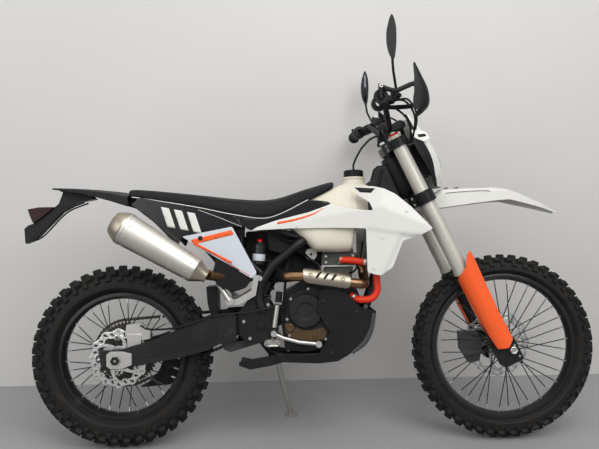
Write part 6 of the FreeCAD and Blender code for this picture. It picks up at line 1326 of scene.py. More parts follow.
@dataclass
class Cockpit(Assembly):
    """What sits on the handlebar and the clamps: guards, housings, cables, caps and the dial."""

    body: Body = Body.STEERING
    shield: tuple = ((326, 1344), (352, 1302), (374, 1264), (381, 1232), (378, 1204), (356, 1184))
    bow: tuple = ((-14, -262), (-3, -284), (0, -318), (-1, -356), (-7, -382), (-24, -396), (-46, -399))
    tip_y: float = -392.0
    strap: tuple = ((209, -404, 1262), (236, -405, 1250), (262, -405, 1246), (292, -402, 1258),
                    (322, -396, 1270),
                    (350, -372, 1266), (366, -330, 1246), (352, -268, 1228), (300, -214, 1232),
                    (262, -200, 1236))
    routes: tuple = (
        ((292, -204, 1258), (346, -170, 1270), (388, -120, 1228), (386, -84, 1160), (362, -70, 1096)),
        ((250, -286, 1238), (318, -252, 1246), (366, -190, 1206), (372, -124, 1140), (356, -80, 1070)),
        ((246, -276, 1226), (300, -236, 1216), (350, -176, 1180), (364, -110, 1120), (350, -66, 1040)),
        ((292, 204, 1258), (342, 160, 1268), (380, 110, 1212), (372, 80, 1130), (352, 62, 1050)),
        ((250, 284, 1236), (312, 240, 1240), (352, 180, 1190), (360, 110, 1110), (348, 70, 1036)),
        ((372, 86, 1120), (402, 96, 1030), (446, 92, 930), (520, 82, 770), (588, 78, 600), (632, 80, 470),
         (624, 74, 396)),
    )

    def build(self, shop: Workshop) -> None:
        """Make and dress every piece of the cockpit."""
        shop.pair("guard_shields", F_BLACK, self.guard(), "hand_guards", wall=5.0, bevel=1.0, levels=1)
        strap = tube(curve(self.strap, 60), 8.0, 12, (0, 1, 0.2), 0.62)
        foot = tube([(211, -404, 1268), (211, -404, 1240), (212, -404, 1220)], 7.5)
        shop.pair("guard_straps", F_BLACK, joined(strap, foot))
        shop.pair("guard_bolts", F_SILVER, bolt_heads([(212, -409, 1261)], 6.5, 4.0))
        shop.pair("throttle_housings", F_BLACK, ring([(12, 0), (24, 2), (26, 8), (26, 30), (23, 36),
                                                      (12, 38)],
                                                     (222, -300, 1230), (0.05, 1.0, 0.03), 32), crease=45)
        shop.pair("grip_flanges", F_RUBBER, ring([(12, 0), (23, 0), (25, 3), (23, 6), (12, 6)],
                                                 (213.5, -399, 1228), LEFT, 32), crease=45)
        cylinder = tube([(262, -268, 1252), (276, -232, 1256), (284, -206, 1256)], 11.0, 16, UP)
        cup = tube([(284, -236, 1252), (286, -236, 1272), (288, -236, 1284)], 15.0, 16)
        shop.pair("master_cylinders", F_BLACK_STEEL, joined(cylinder, cup))
        shop.pair("fluid_lids", F_SILVER, tube([(288, -236, 1284), (288.4, -236, 1287), (289, -236, 1290)],
                                               16.0, 16),
                  bevel=0.5)
        for k, route in enumerate(self.routes):
            shop.piece(f"cable_{k}", F_RUBBER, tube(curve(route, 48), 4.0, 8))
        self.caps(shop)
        shop.piece("dial_case", F_BLACK, slab([(318, 1176), (364, 1196), (358, 1216), (340, 1222),
                                               (306, 1204)], 6.0,
                                              -42.0, 42.0), bevel=3.0)
        pad = curve([(290, -36, 1192), (282, -18, 1202), (282, 18, 1202), (290, 36, 1192)], 24)
        shop.piece("bar_pad", F_RUBBER, tube(pad, 14.0, 16, UP))
        angle = np.linspace(0, 2 * math.pi, 40, endpoint=False)
        glass = side_view(np.stack([260 + 11.5 * np.cos(angle), 1441 + 66 * np.sin(angle)], 1), -341.4)
        shop.pair("mirror_glasses", F_MIRROR, Shell(glass, np.zeros((0, 4), int), [list(range(40))]),
                  wall=0.8)

    def guard(self) -> Shell:
        """Return the right guard's shell: a fist-sized bow carried down its front line.

        Across it the bow runs from the inner end round the front to the outer flank. It narrows to
        a tip at the top.
        """
        front, bow = curve(self.shield, 14), curve(self.bow, 15)
        share = np.linspace(0, 1, 14)
        depth = np.interp(share, [0, 0.2, 0.45, 0.75, 0.92, 1.0], [0.05, 0.42, 1.05, 1.4, 1.15, 0.7])
        narrow = np.interp(share, [0, 0.3, 0.55, 1.0], [0.1, 0.7, 1.0, 0.9])[:, None]
        x = front[:, :1] + bow[None, :, 0] * depth[:, None]
        y = self.tip_y + (bow[None, :, 1] - self.tip_y) * narrow
        lift = np.clip(-bow[:, 0] / 46, 0, 1) * 6.0
        return grid(np.stack([x, y, front[:, 1:] - lift[None] * (1 - share[:, None])], -1))

    @staticmethod
    def caps(shop: Workshop) -> None:
        """Make the fork caps with their adjusters, the stem's nut and the clamps' bolts."""
        for name, finish, radius, low, high, sides in (("fork_caps", F_RED_METAL, 20.0, 1260.0, 1268.0, 6),
                                                       ("fork_adjusters", F_SILVER, 9.0, 1267.0, 1275.0, 24)):
            profile = [(0.01, low), (radius, low), (radius, high - 1), (radius - 1, high), (0.01, high)]
            shop.pair(name, finish, turned(profile, LEG, STEER_UP, sides))
        shop.piece("stem_nut", F_SILVER, ring([(9, 1256), (17, 1256), (17, 1262), (15, 1266), (9, 1266)],
                                              STEER_FOOT, STEER_UP, 6))
        heads = [on_fork(rise, LEG_LEAD - reach + 8.0, -LEG_SPREAD + 22.0)
                 for rise, reach in ((1222.0, 36.0), (1240.0, 36.0), (994.0, 40.0), (1018.0, 40.0))]
        shop.pair("clamp_bolts", F_SILVER, bolt_heads(heads, 5.0, 12.0, -STEER_AHEAD))


# ---------------------------------------------------------------- engine and exhaust

@dataclass
class EngineDress(Assembly):
    """Covers, bolts, hoses' clamps and lines round the engine."""

    clutch: tuple = (-35, -112, 505)
    stator: tuple = (20, 103.5, 470)
    routes: tuple = (
        (4.5, ((98, 0, 764), (84, -28, 790), (30, -44, 782), (-40, -52, 772), (-110, -50, 790))),
        (4.0, ((-30, -26, 716), (-20, -60, 700), (20, -76, 668), (12, -84, 620), (-30, -92, 604))),
        (5.0, ((-60, -34, 744), (-90, -66, 700), (-104, -84, 640), (-112, -88, 560), (-118, -84, 500))),
        (4.0, ((120, -30, 640), (152, -66, 648), (176, -74, 700), (186, -60, 760))),
    )
    hose_ends: tuple = (((104, -73.5, 690), (1, -0.2, 0)), ((190, -93, 680), (1, -0.2, -0.15)),
                        ((146, -98, 552), (1, -0.3, -0.7)), ((229, -105, 640), (0, 0, 1)))

    def build(self, shop: Workshop) -> None:
        """Make and dress the engine's finer pieces."""
        spots = ((-103, 476), (-88, 550), (-24, 586), (62, 571), (95, 520), (84, 438), (38, 401), (-56, 393),
                 (-95, 416))
        shop.piece("cover_bolts", F_SILVER, bolt_heads(side_view(spots, -100.0), 5.5, 5.0))
        shop.piece("clutch_bolts", F_BLACK_STEEL, bolt_heads(around(self.clutch, 59.0, 7, 0.3), 4.5, 5.0))
        brown = slab([(-113, 462), (-74, 452), (-48, 436), (0, 434), (28, 446), (46, 426), (34, 402),
                      (-10, 394), (-84, 402), (-110, 426)], 8.0, -101.6, -97.0)
        boss = turned([(0.01, 0), (16, 0), (16, 8), (13, 11), (0.01, 10)], (-92, -100, 445), RIGHT, 32)
        plug = turned([(0.01, 0), (9, 0), (9, 5), (0.01, 6)], (0, -100, 414), RIGHT, 6)
        shop.piece("bronze_case", F_BRONZE, joined(brown, boss, plug), bevel=1.2)
        ribs = [slab([(x, 556 - 0.2 * x), (x + 6, 556 - 0.2 * x), (x + 12, 592 - 0.1 * x),
                      (x + 6, 592 - 0.1 * x)],
                     1.5, -103.0, -98.0) for x in (-8.0, 12.0, 32.0, 52.0)]
        shop.piece("cover_ribs", F_ENGINE, joined(*ribs))
        shop.piece("water_pump", F_ENGINE, turned([(0.01, 0), (22, 0), (24, 6), (20, 13), (9, 15),
                                                   (0.01, 15)],
                                                  (76, -100, 470), RIGHT, 32), crease=50)
        shop.piece("stator_bolts", F_SILVER, bolt_heads(around(self.stator, 50.0, 8), 4.5, 4.5, LEFT))
        shop.piece("stator_ring", F_ENGINE, ring([(20, 0), (36, 0), (34, 4), (22, 4)], (20, 104, 470), LEFT,
                                                 48))
        self.top(shop)
        shop.piece("hose_clamps", F_SILVER, joined(*[ring([(13.2, -5), (14.6, -5), (14.6, 5), (13.2, 5)],
                                                          *end, 32)
                                                     for end in self.hose_ends]))
        shop.piece("rear_master", F_SILVER, tube([(-150, -112, 448), (-142, -112, 500), (-138, -112, 528)],
                                                 9.0, 16),
                   bevel=0.6)
        shop.piece("rear_cup", F_BLACK, tube([(-134, -108, 540), (-132, -108, 560), (-130, -108, 578)], 12.0,
                                             16),
                   bevel=1.0)
        hose = curve([(-138, -112, 526), (-170, -118, 520), (-240, -121, 506), (-360, -121, 496),
                      (-500, -121, 456), (-600, -116, 450), (-640, -92, 462)], 60)
        shop.piece("rear_brake_hose", F_RUBBER, tube(hose, 3.6, 8))

    def top(self, shop: Workshop) -> None:
        """Make the head's bolts, the plug lead, the throttle linkage and the small lines."""
        spots = [(46, -61, 682), (96, -61, 680), (146, -61, 684), (46, -61, 704), (148, -61, 706)]
        shop.piece("head_bolts", F_SILVER, bolt_heads(spots, 5.5, 5.0))
        shop.piece("head_gasket", F_SILVER, slab([(30, 665), (160, 665), (161, 670), (31, 670)], 1.0, -62.0,
                                                 62.0))
        shop.pair("cam_bolts", F_SILVER, bolt_heads([(60, -49, 736), (132, -49, 738)], 6.0, 5.0))
        for k, (radius, route) in enumerate(self.routes):
            shop.piece(f"engine_line_{k}", F_RUBBER, tube(curve(route, 40), radius, 8))
        profile = [(5, 0), (22, 0), (22, 3), (19, 4), (19, 8), (22, 9), (22, 12), (5, 12)]
        shop.piece("throttle_wheel", F_SILVER, ring(profile, (-8, -27, 712), RIGHT, 32))


@dataclass
class Exhaust(Assembly):
    """The silencer with its cone, cap and rivets, and the slotted heat shield."""

    front: tuple = (-426.0, -182.0, 663.0)
    rear: tuple = (-676.0, -182.0, 815.0)
    shield_radius: float = 29.0
    guard: tuple = ((-352, 706), (-300, 674), (-226, 628), (-254, 592), (-300, 580), (-352, 608), (-366, 652))

    def build(self, shop: Workshop) -> None:
        """Make and dress the silencer and the shield."""
        way = np.subtract(self.rear, self.front)
        length = float(np.linalg.norm(way))
        end = length + 44.0
        for name, finish, profile, *stands_for in (
                ("silencer_can", F_CAN, [(0.01, -1), (44, -1), (45.4, 0.5), (46.2, 9), (45.6, 10),
                                         (59.2, length - 11),
                                         (60.4, length - 10), (60.6, length - 1), (58, length),
                                         (0.01, length)],
                 "silencer"),
                ("silencer_cone", F_CHAMPAGNE, [(0.01, -46), (22, -46), (23, -44), (23, -38), (44, 0),
                                                (0.01, 0)]),
                ("silencer_end", F_CHAMPAGNE, [(0.01, length), (59.4, length), (60, length + 2),
                                               (59, length + 8),
                                               (51, length + 26), (42, end - 3), (39, end), (26, end),
                                               (24, end - 2),
                                               (24, end - 30), (0.01, end - 30)], "silencer_cap")):
            shop.piece(name, finish, turned(profile, self.front, way, 72), *stands_for, crease=32)
        self.rivets(shop, unit(way), length)
        shop.piece("shield_plate", F_CHAMPAGNE, self.shield(), "heat_shield", wall=2.4, bevel=0.4)
        self.slots(shop)
        run = curve([(-104, -120, 634), (-158, -62, 634), (-262, -79, 640)], 40)
        shop.piece("pipe_sleeve", F_BLACK_STEEL, tube(run, 22.5, 20, UP))
        shop.piece("pipe_guard", F_GLOSS_BLACK, sheet(softened(self.guard, 9.0, 4), self.guard_reach, 8.0),
                   wall=2.0, bevel=0.5)

    @staticmethod
    def guard_reach(x: np.ndarray, z: np.ndarray) -> np.ndarray:
        """Return the pipe guard's distance from the centre plane."""
        return np.interp(x, [-366, -352, -330, -262, -226], [182, 168, 147, 103, 97])

    def rivets(self, shop: Workshop, axis: np.ndarray, length: float) -> None:
        """Make the rivets round both seams of the can."""
        first = unit(np.cross(axis, [0.0, 1.0, 0.0]))
        second = np.cross(axis, first)
        dome = turned([(3.6, 0), (3.4, 1.2), (2.2, 2.2), (0.01, 2.6)], (0, 0, 0), UP, 10)
        turns, places = [], []
        for along, radius in ((20.0, 46.2), (length - 24.0, 58.6)):
            for angle in 2 * math.pi / 8 * (np.arange(8) + 0.5):
                out = first * math.cos(angle) + second * math.sin(angle)
                turns.append(np.stack([axis, np.cross(out, axis), out], 1))
                places.append(np.array(self.front) + axis * along + out * radius)
        shop.piece("silencer_rivets", F_SILVER, dome.copies(np.array(turns), np.array(places)))

    def on_shield(self, along: float | np.ndarray, turn: float | np.ndarray, out: float) -> np.ndarray:
        """Return a point on the shield, by its place along the pipe and the turn from straight out.

        It lies at the pipe's axis + (r + out) (0, -cos turn, sin turn), r being the shield's radius.
        """
        reach = self.shield_radius + out
        z = 634.0 - (along / 178.0) * 28.0
        return np.stack([along - 38.0, -136.0 - reach * np.cos(turn), z + reach * np.sin(turn)], -1)

    def shield(self) -> Shell:
        """Return the shield: a part of a tube whose ends are rounded."""
        along = np.linspace(-6.0, 166.0, 44)
        share = np.clip(1 - (np.clip(np.abs(along - 80.0) - 62.0, 0, None) / 24.2) ** 2, 0.0, 1) ** 0.5
        turn = (math.radians(20.0)
                + np.linspace(-1, 1, 21)[None] * math.radians(70.0) * (0.25 + 0.75 * share[:, None]))
        return grid(self.on_shield(np.broadcast_to(along[:, None], turn.shape), turn, 0.0))

    def slots(self, shop: Workshop) -> None:
        """Make the dark slots and the two bosses on the shield."""
        across = np.linspace(-1, 1, 13)[:, None]
        wide = np.array([-1.0, 0.0, 1.0])[None] * (5.0 * np.sqrt(np.clip(1 - across ** 4, 0.02, 1)))
        turn = math.radians(26.0) + across * math.radians(27.0) + 0 * wide
        slots = [grid(self.on_shield(centre + across * 9.0 + wide, turn, 1.7))
                 for centre in (50.0, 78.0, 106.0)]
        shop.piece("shield_slots", F_BLACK, joined(*slots), wall=0.5)
        boss = [(0.01, 0), (8.5, 0), (8.5, 2.6), (6, 3.4), (3, 1.6), (0.01, 1.6)]
        bosses = [turned(boss, self.on_shield(along, math.radians(20.0), 0.6), (0, -0.94, 0.34), 24)
                  for along in (22.0, 138.0)]
        shop.piece("shield_bosses", F_CHAMPAGNE, joined(*bosses))


# ---------------------------------------------------------------- chassis parts

@dataclass
class ShockAbsorber(Assembly):
    """The shock absorber with its coil, its eyes and its reservoir."""

    top: tuple = (-121.0, 0.0, 694.0)
    low: tuple = (-290.0, 0.0, 377.0)
    foot: tuple = (-208.0, -58.0, 676.0)
    head: tuple = (-200.0, -58.0, 764.0)
    turns: float = 8.0

    def build(self, shop: Workshop) -> None:
        """Make and dress the damper, the spring and the reservoir."""
        way = np.subtract(self.low, self.top)
        length = float(np.linalg.norm(way))
        damper = turned([(0.01, 0), (19, 0), (20, 3), (20, 30), (28, 34), (28, 42), (22, 44),
                         (22, length * 0.62),
                         (9, length * 0.62 + 2), (9, length * 0.80), (27, length * 0.80), (27, length * 0.83),
                         (12, length * 0.85), (12, length - 14), (0.01, length - 14)], self.top, way, 40)
        eye = ring([(6, -20), (15, -20), (15, 20), (6, 20)], self.low, LEFT, 32)
        shop.piece("shock_body", F_SHOCK, joined(damper, eye), "rear_shock", crease=35)
        shop.piece("shock_spring", F_SPRING, self.coil(unit(way), 42.0, length * 0.80))
        up = np.subtract(self.head, self.foot)
        tall = float(np.linalg.norm(up))
        can = turned([(0.01, 0), (20, 0), (23.5, 4), (23.5, tall - 14), (18, tall - 8), (13, tall),
                      (0.01, tall)],
                     self.foot, up, 40)
        neck = tube(curve([(-204, -58, 700), (-190, -36, 690), (-160, -14, 688), (-134, -4, 676)], 20), 9.0,
                    12, UP)
        shop.piece("reservoir", F_SHOCK, joined(can, neck), crease=35)
        label = turned([(23.9, 16), (24.1, 17), (24.1, 40), (23.9, 41)], self.foot, up, 40)
        # The band uses the white finish made darker and bluer by painted shade.
        shop.piece("reservoir_band", F_SHADED_WHITE, label)
        angle = np.linspace(-math.pi / 2, math.pi / 2, 13)
        ball = turned(np.stack([13 * np.cos(angle) + 0.01, 13 * np.sin(angle)], 1), self.head, up, 32)
        shop.piece("reservoir_knob", F_RED_METAL, ball)

    def coil(self, along: np.ndarray, low: float, high: float) -> Shell:
        """Return the coil: a round wire carried along a helix about the damper's line."""
        first = np.array([0.0, 1.0, 0.0])
        second = np.cross(along, first)
        share = np.linspace(0, 1, 340)
        turn = 2 * math.pi * self.turns * share
        out = np.cos(turn)[:, None] * first + np.sin(turn)[:, None] * second
        path = self.top + along * (low + 5 + (high - low - 10) * share)[:, None] + out * 25.5
        return tube(path, 3.6, 8, along)


@dataclass
class Drive(Assembly):
    """The drive chain's links."""

    rear_radius: float = 126.4
    front_radius: float = 33.17
    front: tuple = (-142.0, 478.0)
    links: int = 108
    y: float = 71.0

    def build(self, shop: Workshop) -> None:
        """Make and dress the chain."""
        shop.piece("chain_links", F_CHAIN, self.chain(), "chain", crease=40)

    def loop(self, count: int) -> np.ndarray:
        """Return points spread evenly round the loop that is tangent to both chain wheels."""
        rear, front = REAR_AXLE[[0, 2]], np.array(self.front)
        span = front - rear
        base = math.atan2(span[1], span[0])
        lean = math.asin((self.rear_radius - self.front_radius) / float(np.linalg.norm(span)))
        near = base + np.linspace(math.pi / 2 - lean, lean - math.pi / 2, 60)
        far = base + np.linspace(lean - math.pi / 2, lean - math.pi / 2 - (math.pi + 2 * lean), 160)
        line = np.vstack([front + self.front_radius * np.stack([np.cos(near), np.sin(near)], 1),
                          rear + self.rear_radius * np.stack([np.cos(far), np.sin(far)], 1)])
        return resampled(line[:-1], count, closed=True)

    def chain(self) -> Shell:
        """Return the links: waisted plates by pairs, wide and narrow in turn, and their rollers."""
        pins = self.loop(self.links)
        ahead = np.roll(pins, -1, 0) - pins
        pitch = float(np.linalg.norm(ahead, axis=1).mean())
        x, z = unit(ahead).T
        none = np.zeros_like(x)
        turns = np.stack([x, none, -z, none, none + 1, none, z, none, x], 1).reshape(-1, 3, 3)
        places = side_view(pins, self.y)
        angle = np.linspace(-math.pi / 2, math.pi / 2, 7)
        arc = 6.0 * np.stack([np.cos(angle), np.sin(angle)], 1)
        outline = np.vstack([arc + [pitch, 0], [[pitch / 2, 4.4]], -arc, [[pitch / 2, -4.4]]])
        wide, narrow = (joined(plate(outline, y, y + 1.6), plate(outline, -y - 1.6, -y)) for y in (5.4, 3.6))
        rollers = [turned([(0.01, -half), (radius, -half), (radius, half), (0.01, half)], (0, 0, 0), LEFT,
                          sides)
                   for radius, half, sides in ((4.6, 3.6, 10), (2.4, 7.4, 8))]
        return joined(wide.copies(turns[::2], places[::2]), narrow.copies(turns[1::2], places[1::2]),
                      joined(*rollers).copies(turns, places))


@dataclass
class ChassisDress(Assembly):
    """Gussets, inner panels, bolts and trim on the chassis."""

    skid_z: tuple = (290, 620)
    skid_y: tuple = (112, 130)

    def build(self, shop: Workshop) -> None:
        """Make and dress the small chassis pieces."""
        shop.pair("head_gussets", F_BLACK_STEEL, slab([(246, 1046), (284, 1050), (334, 936), (322, 918),
                                                       (346, 862),
                                                       (316, 868), (280, 914), (214, 940), (232, 1000)], 8.0,
                                                      -33.0, -29.0), bevel=0.8)
        shop.piece("head_cover", F_BLACK, ring([(29, 1036), (40, 1040), (44, 1060), (44, 1180), (40, 1200),
                                                (29, 1204)],
                                               STEER_FOOT, STEER_UP, 40), crease=60)
        shop.piece("inner_panel", F_BLACK, slab([(-258, 804), (30, 806), (34, 700), (28, 618), (-96, 604),
                                                 (-200, 606), (-258, 618)], 10.0, 31.0, 34.0), bevel=0.6)
        shop.piece("electrics_box", F_BLACK, slab([(-176, 806), (-96, 806), (-88, 742), (-118, 716),
                                                   (-170, 730)], 8.0,
                                                  -30.0, 26.0), bevel=2.0)
        loom = curve([(-150, -34, 800), (-110, -40, 770), (-60, -52, 764), (10, -50, 800), (90, -40, 850),
                      (180, -36, 900), (246, -36, 960), (268, -34, 1030)], 60)
        shop.piece("wiring_loom", F_RUBBER, tube(loom, 6.0, 10))
        spots = [(-172, 530), (-150, 470), (-158, 402), (-262, 470), (-240, 408)]
        shop.pair("pivot_plate_bolts", F_SILVER, bolt_heads(side_view(spots, -97.0), 6.5, 6.0))
        mounts = [(196, -18.5, 510), (112, -14.5, 352), (-100, -14.5, 352)]
        shop.pair("engine_bolts", F_SILVER, bolt_heads(mounts, 8.0, 14.0))
        shop.piece("chain_slider", F_RUBBER, slab([(-196, 506), (-214, 512), (-330, 508), (-342, 500),
                                                   (-300, 494), (-212, 494)], 4.0, 62.0, 80.0))
        panel = slab([(-360, 478), (-470, 446), (-600, 396), (-640, 382), (-636, 344), (-520, 362),
                      (-400, 392), (-360, 408)], 12.0, -114.6, -112.0)
        shop.pair("arm_panels", F_ARM_DARK, panel, bevel=1.0)
        shop.pair("chain_adjusters", F_SILVER, tube([(-752, -100, 341), (-775, -100, 341), (-796, -100, 341)],
                                                    4.0, 8))
        shop.pair("axle_nuts", F_BLACK_STEEL, ring([(6, 0), (16, 0), (16, 9), (6, 9)], (-725, -126, 340.66),
                                                   RIGHT, 6))
        shop.pair("tail_ribs", F_BLACK, tube(curve([(-700, -30, 953), (-780, -30, 963), (-880, -30, 971),
                                                    (-960, -24, 975)], 24), 2.0, 8))
        holder = curve([(-862, -24, 922), (-944, -24, 886), (-1030, -24, 800), (-1078, -24, 776)], 30)
        shop.pair("holder_edges", F_BLACK, tube(holder, 3.0, 8))
        band = ribbon([(214, 494), (206, 440), (180, 388), (134, 350)], (10.0, 16.0, 18.0, 10.0), 30)
        shop.pair("skid_bands", F_GREY_FRONT, sheet(band, self.skid_reach, 10.0), wall=0.8)
        x, z = np.array([(30, 540), (150, 500), (60, 350), (-120, 330)], float).T
        fasteners = np.stack([x, 1.1 - self.skid_reach(x, z), z], 1)
        shop.pair("skid_fasteners", F_BLACK_STEEL, bolt_heads(fasteners, 7.0, 3.0, (0, -1, 0.08)))

    def skid_reach(self, x: np.ndarray, z: np.ndarray) -> np.ndarray:
        """Return the distance from the centre plane just outside the skid plate."""
        return np.interp(z, self.skid_z, self.skid_y) + 0.6


@dataclass
class FootPegs(Assembly):
    """The toothed foot pegs: an open frame of bars with a row of teeth on each."""

    bars_x: tuple = (-181.0, -156.0, -131.0)
    root_y: float = 99.0
    end_y: float = 196.0
    top: float = 403.0
    tooth: float = 5.5

    def build(self, shop: Workshop) -> None:
        """Make and dress both pegs."""
        rear, middle, front = self.bars_x
        level = self.top - 9.0
        loop = curve([(rear, -self.root_y), (rear + 3, 10 - self.end_y), (middle, -self.end_y),
                      (front - 3, 10 - self.end_y), (front, -self.root_y)], 60)
        rim = tube(np.c_[loop, np.full(60, level)], 6.5, 10, UP, 0.6)
        bar = tube([(middle, -self.root_y, level), (middle, -145, level), (middle, 6 - self.end_y, level)],
                   5.0, 10, UP)
        block = slab([(-176, 386), (-136, 386), (-132, 404), (-180, 404)], 4.0, -118.0, -98.0)
        tooth = turned([(self.tooth, 0), (self.tooth * 0.5, 6), (0.6, 7), (0.01, 7)], (0, 0, 0), UP, 4)
        y = np.arange(self.root_y + 22, self.end_y - 8, 12.0)
        teeth = tooth.set_at([(x, -at, self.top - 6.5) for x in self.bars_x for at in y.tolist()])
        shop.pair("toothed_pegs", F_SILVER, joined(rim, bar, block, teeth), "foot_pegs")


@dataclass
class ForkDress(Assembly):
    """Seals, pinch bolts, the axle's ends and the fender's dark line."""

    body: Body = Body.STEERING

    def build(self, shop: Workshop) -> None:
        """Make and dress the fork's finer pieces."""
        shop.pair("dust_seals", F_RUBBER, ring([(24.4, 676), (29, 678), (31.8, 684), (31.8, 691),
                                                (24.4, 691)], LEG,
                                               STEER_UP))
        spots = [on_fork(rise, LEG_LEAD + 46.0, -LEG_SPREAD - 23.0) for rise in (330.0, 352.0, 374.0)]
        shop.pair("pinch_bolts", F_SILVER, bolt_heads(spots, 4.5, 4.0))
        shop.pair("axle_ends", F_SILVER, turned([(0.01, 0), (15, 0), (15, 7), (12, 9), (8, 6), (0.01, 6)],
                                                (725, -127, 350.5), RIGHT, 6))
        slit = curve([(504, -60.6, 936), (560, -63.4, 940), (640, -68.6, 943), (672, -69.6, 941)], 30)
        shop.pair("fender_slits", F_BLACK, tube(slit, 1.3, 6, UP))
        shop.pair("fender_bolts", F_BLACK, bolt_heads([(520, -18, 957.5), (560, -18, 958.5)], 6.0, 3.0, UP))
        shop.piece("caliper_bolts", F_BLACK_STEEL, bolt_heads([(632, 88.2, 372), (618, 88.2, 316)], 8.0, 3.0,
                                                              LEFT))


# ---------------------------------------------------------------- everything carried over as it is

@dataclass
class CarriedNodes:
    """CAD nodes whose own shape is shown, with their finish and the width of their bevel."""

    rows: tuple = (
        (Body.CHASSIS, (
            ("frame", F_BLACK_STEEL, 0.0), ("subframe", F_BLACK_STEEL, 0.0), ("swingarm", F_ARM, 3.0),
            ("pivot_bolt", F_BLACK_STEEL, 0.8), ("rear_axle", F_SILVER, 1.0), ("rear_caliper", F_SILVER, 2.0),
            ("chain_guide", F_BLACK, 1.5), ("crankcase", F_ENGINE, 3.0), ("clutch_cover", F_ENGINE, 1.2),
            ("cylinder", F_DULL, 2.0), ("throttle_body", F_BLACK, 0.0), ("airbox", F_BLACK, 3.0),
            ("exhaust_pipe", F_PIPE, 0.0), ("linkage", F_DULL, 1.0), ("skid_plate", F_BLACK, 0.0),
            ("radiators", F_CORE, 1.5), ("coolant_hoses", F_HOSE, 0.0), ("fuel_cap", F_BLACK, 0.0),
            ("vent_hose", F_RUBBER, 0.0), ("rear_fender", F_BLACK, 0.0), ("plate_holder", F_BLACK, 1.5),
            ("tail_lamp", F_DARK_LENS, 2.0), ("inner_mudguard", F_BLACK, 1.5), ("brake_pedal", F_SILVER, 0.0),
            ("shift_lever", F_SILVER, 0.0), ("passenger_pegs", F_SILVER, 1.5))),
        (Body.STEERING, (
            ("fork_tubes", F_FORK, 0.0), ("fork_lowers", F_BLACK_STEEL, 0.0),
                         ("triple_clamps", F_BLACK_STEEL, 1.5),
            ("handlebar", F_BLACK_STEEL, 0.0), ("controls", F_RUBBER, 0.0), ("mirrors", F_BLACK, 2.0),
            ("fork_guards", F_ORANGE, 0.0), ("front_fender", F_WHITE, 0.0), ("front_caliper", F_DULL, 2.0))),
        (Body.REAR_WHEEL, (("rear_sprocket", F_CHAIN, 0.0),)),
        (Body.STAND, (("side_stand", F_SILVER, 0.0),)),
    )

    def build(self, shop: Workshop) -> None:
        """Carry over every node of the table."""
        for body, nodes in self.rows:
            shop.body = body
            for node, finish, bevel in nodes:
                shop.carried(node, finish, bevel)


# ---------------------------------------------------------------- stage

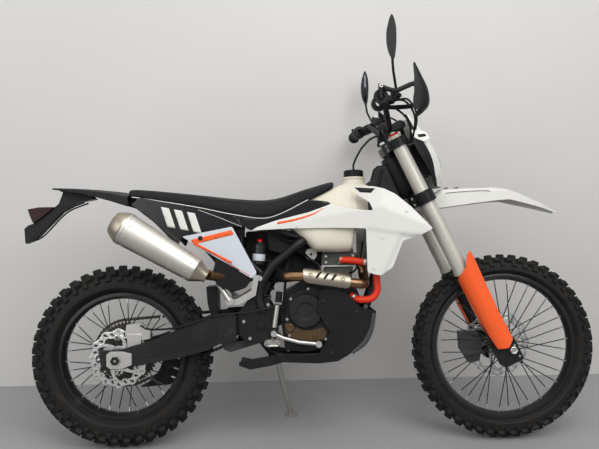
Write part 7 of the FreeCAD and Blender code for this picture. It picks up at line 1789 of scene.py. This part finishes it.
@dataclass
class Studio:
    """Floor, backdrop, lamps and the camera at the photograph's angle."""

    floor_colour: Colour = (0.29, 0.29, 0.29)
    wall_colour: Colour = (0.60, 0.585, 0.565)
    wall_y: float = 0.47
    lens: float = 38.75
    eye_mm: tuple[float, float, float] = (-118.45, -2341.37, 1105.77)
    yaw: float = math.radians(1.61)
    pitch: float = math.radians(6.66)
    roll: float = math.radians(-0.65)

    def build(self, shop: Workshop) -> None:
        """Make the whole stage."""
        self.surface("floor", [(-9.0, 0.0), (0.0, 0.0), (9.0, 0.0)], self.floor_colour, 0.55)
        bend = [(self.wall_y, -0.01), (self.wall_y, 0.6), (self.wall_y, 7.0)]
        self.surface("backdrop", bend, self.wall_colour, 0.8, one_sided=True)
        self.lamps()
        self.world()
        self.camera(shop)

    @staticmethod
    def surface(name: str, line: Points, colour: Colour, rough: float, one_sided: bool = False) -> None:
        """Make a wide surface whose section is a line of (y, z) points.

        Args:
            name: the surface's name.
            line: its section.
            colour: its colour.
            rough: its roughness.
            one_sided: whether it is clear when seen from its back.
        """
        shell = grid(np.array([[(x, y, z) for x in (-12.0, 0.0, 12.0)] for y, z in line]))
        mesh = bpy.data.meshes.new(name)
        mesh.from_pydata(shell.points.tolist(), [], shell.quads[:, ::-1].tolist())
        made = Workshop.put(name, mesh)
        material = bpy.data.materials.new(name)
        material.use_nodes = True
        nodes = Nodes(material.node_tree)
        shader = material.node_tree.nodes["Principled BSDF"]
        noise = nodes.add("TexNoise", Scale=0.9, Detail=6.0)
        nodes.link(nodes.add("TexCoord").outputs["Object"], noise.inputs["Vector"])
        nodes.link(nodes.mixed(noise.outputs["Fac"], colour, [c * 0.86 for c in colour]),
                   shader.inputs["Base Color"])
        shader.inputs["Roughness"].default_value = rough
        if one_sided:
            backfacing = nodes.add("NewGeometry").outputs["Backfacing"]
            nodes.link(nodes.maths("SUBTRACT", 1.0, backfacing), shader.inputs["Alpha"])
        mesh.materials.append(material)

    @staticmethod
    def lamps() -> None:
        """Hang soft area lamps over and in front of the machine."""
        for name, at, size, power in (("key", (1.0, -2.8, 3.4), 3.0, 118.0),
                                      ("fill", (-2.6, -2.8, 2.2), 3.0, 52.0),
                                      ("top", (0.0, -0.4, 4.2), 4.0, 62.0)):
            data = bpy.data.lights.new(name, "AREA")
            data.size = size
            data.energy = power
            lamp = Workshop.put(name, data)
            lamp.location = at
            lamp.rotation_euler = (Vector((0, 0, 0.6)) - Vector(at)).to_track_quat("-Z", "Y").to_euler()

    @staticmethod
    def world() -> None:
        """Light everything evenly with a pale sky."""
        world = bpy.data.worlds.new("studio")
        world.use_nodes = True
        back = world.node_tree.nodes["Background"]
        back.inputs["Color"].default_value = (0.95, 0.97, 1.0, 1)
        back.inputs["Strength"].default_value = 0.5
        bpy.context.scene.world = world

    def camera(self, shop: Workshop) -> None:
        """Stand the camera where the photograph was taken from."""
        eye = np.array(self.eye_mm) * MM + shop.shift
        cos_p = math.cos(self.pitch)
        ahead = np.array([math.sin(self.yaw) * cos_p, math.cos(self.yaw) * cos_p, -math.sin(self.pitch)])
        right = np.array([math.cos(self.yaw), -math.sin(self.yaw), 0.0])
        up = np.cross(right, ahead)
        across = right * math.cos(self.roll) + up * math.sin(self.roll)
        upward = -right * math.sin(self.roll) + up * math.cos(self.roll)
        data = bpy.data.cameras.new("camera")
        data.lens = self.lens
        data.sensor_width = 36.0
        made = Workshop.put("camera", data)
        turn = Matrix((across.tolist(), upward.tolist(), (-ahead).tolist())).transposed().to_4x4()
        made.matrix_world = Matrix.Translation(eye.tolist()) @ turn
        bpy.context.scene.camera = made


def main() -> None:
    """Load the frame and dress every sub-assembly in order."""
    logging.basicConfig(level=logging.INFO, format="%(name)s: %(message)s")
    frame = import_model()
    scene = bpy.context.scene
    scene.view_settings.view_transform = "Standard"
    shop = Workshop(frame)
    Studio().build(shop)
    CarriedNodes().build(shop)
    wheels = (
        Wheel("front", Body.FRONT_WHEEL, FRONT_AXLE, 350.0, 42.0, 267.0, 26.0, 46, 12.0, 24.0, 36.0, 30.0,
              (58.0, 64.0), 66.0, 130.0, 40.0),
        Wheel("rear", Body.REAR_WHEEL, REAR_AXLE, 340.0, 56.0, 229.0, 31.0, 42, 15.0, 32.0, 48.0, 32.0,
              (70.0, 68.5), -72.0, 110.0, 46.0),
    )
    dressing = (Shrouds(), SideCovers(), Seat(), Tank(), Mask(), Cockpit(), EngineDress(), Exhaust(),
                ShockAbsorber(), Drive(), ChassisDress(), FootPegs(), ForkDress())
    for part in wheels + dressing:
        shop.body = part.body
        part.build(shop)
    LOG.info("%d pieces made", len(shop.made))


if __name__ == "__main__":
    main()
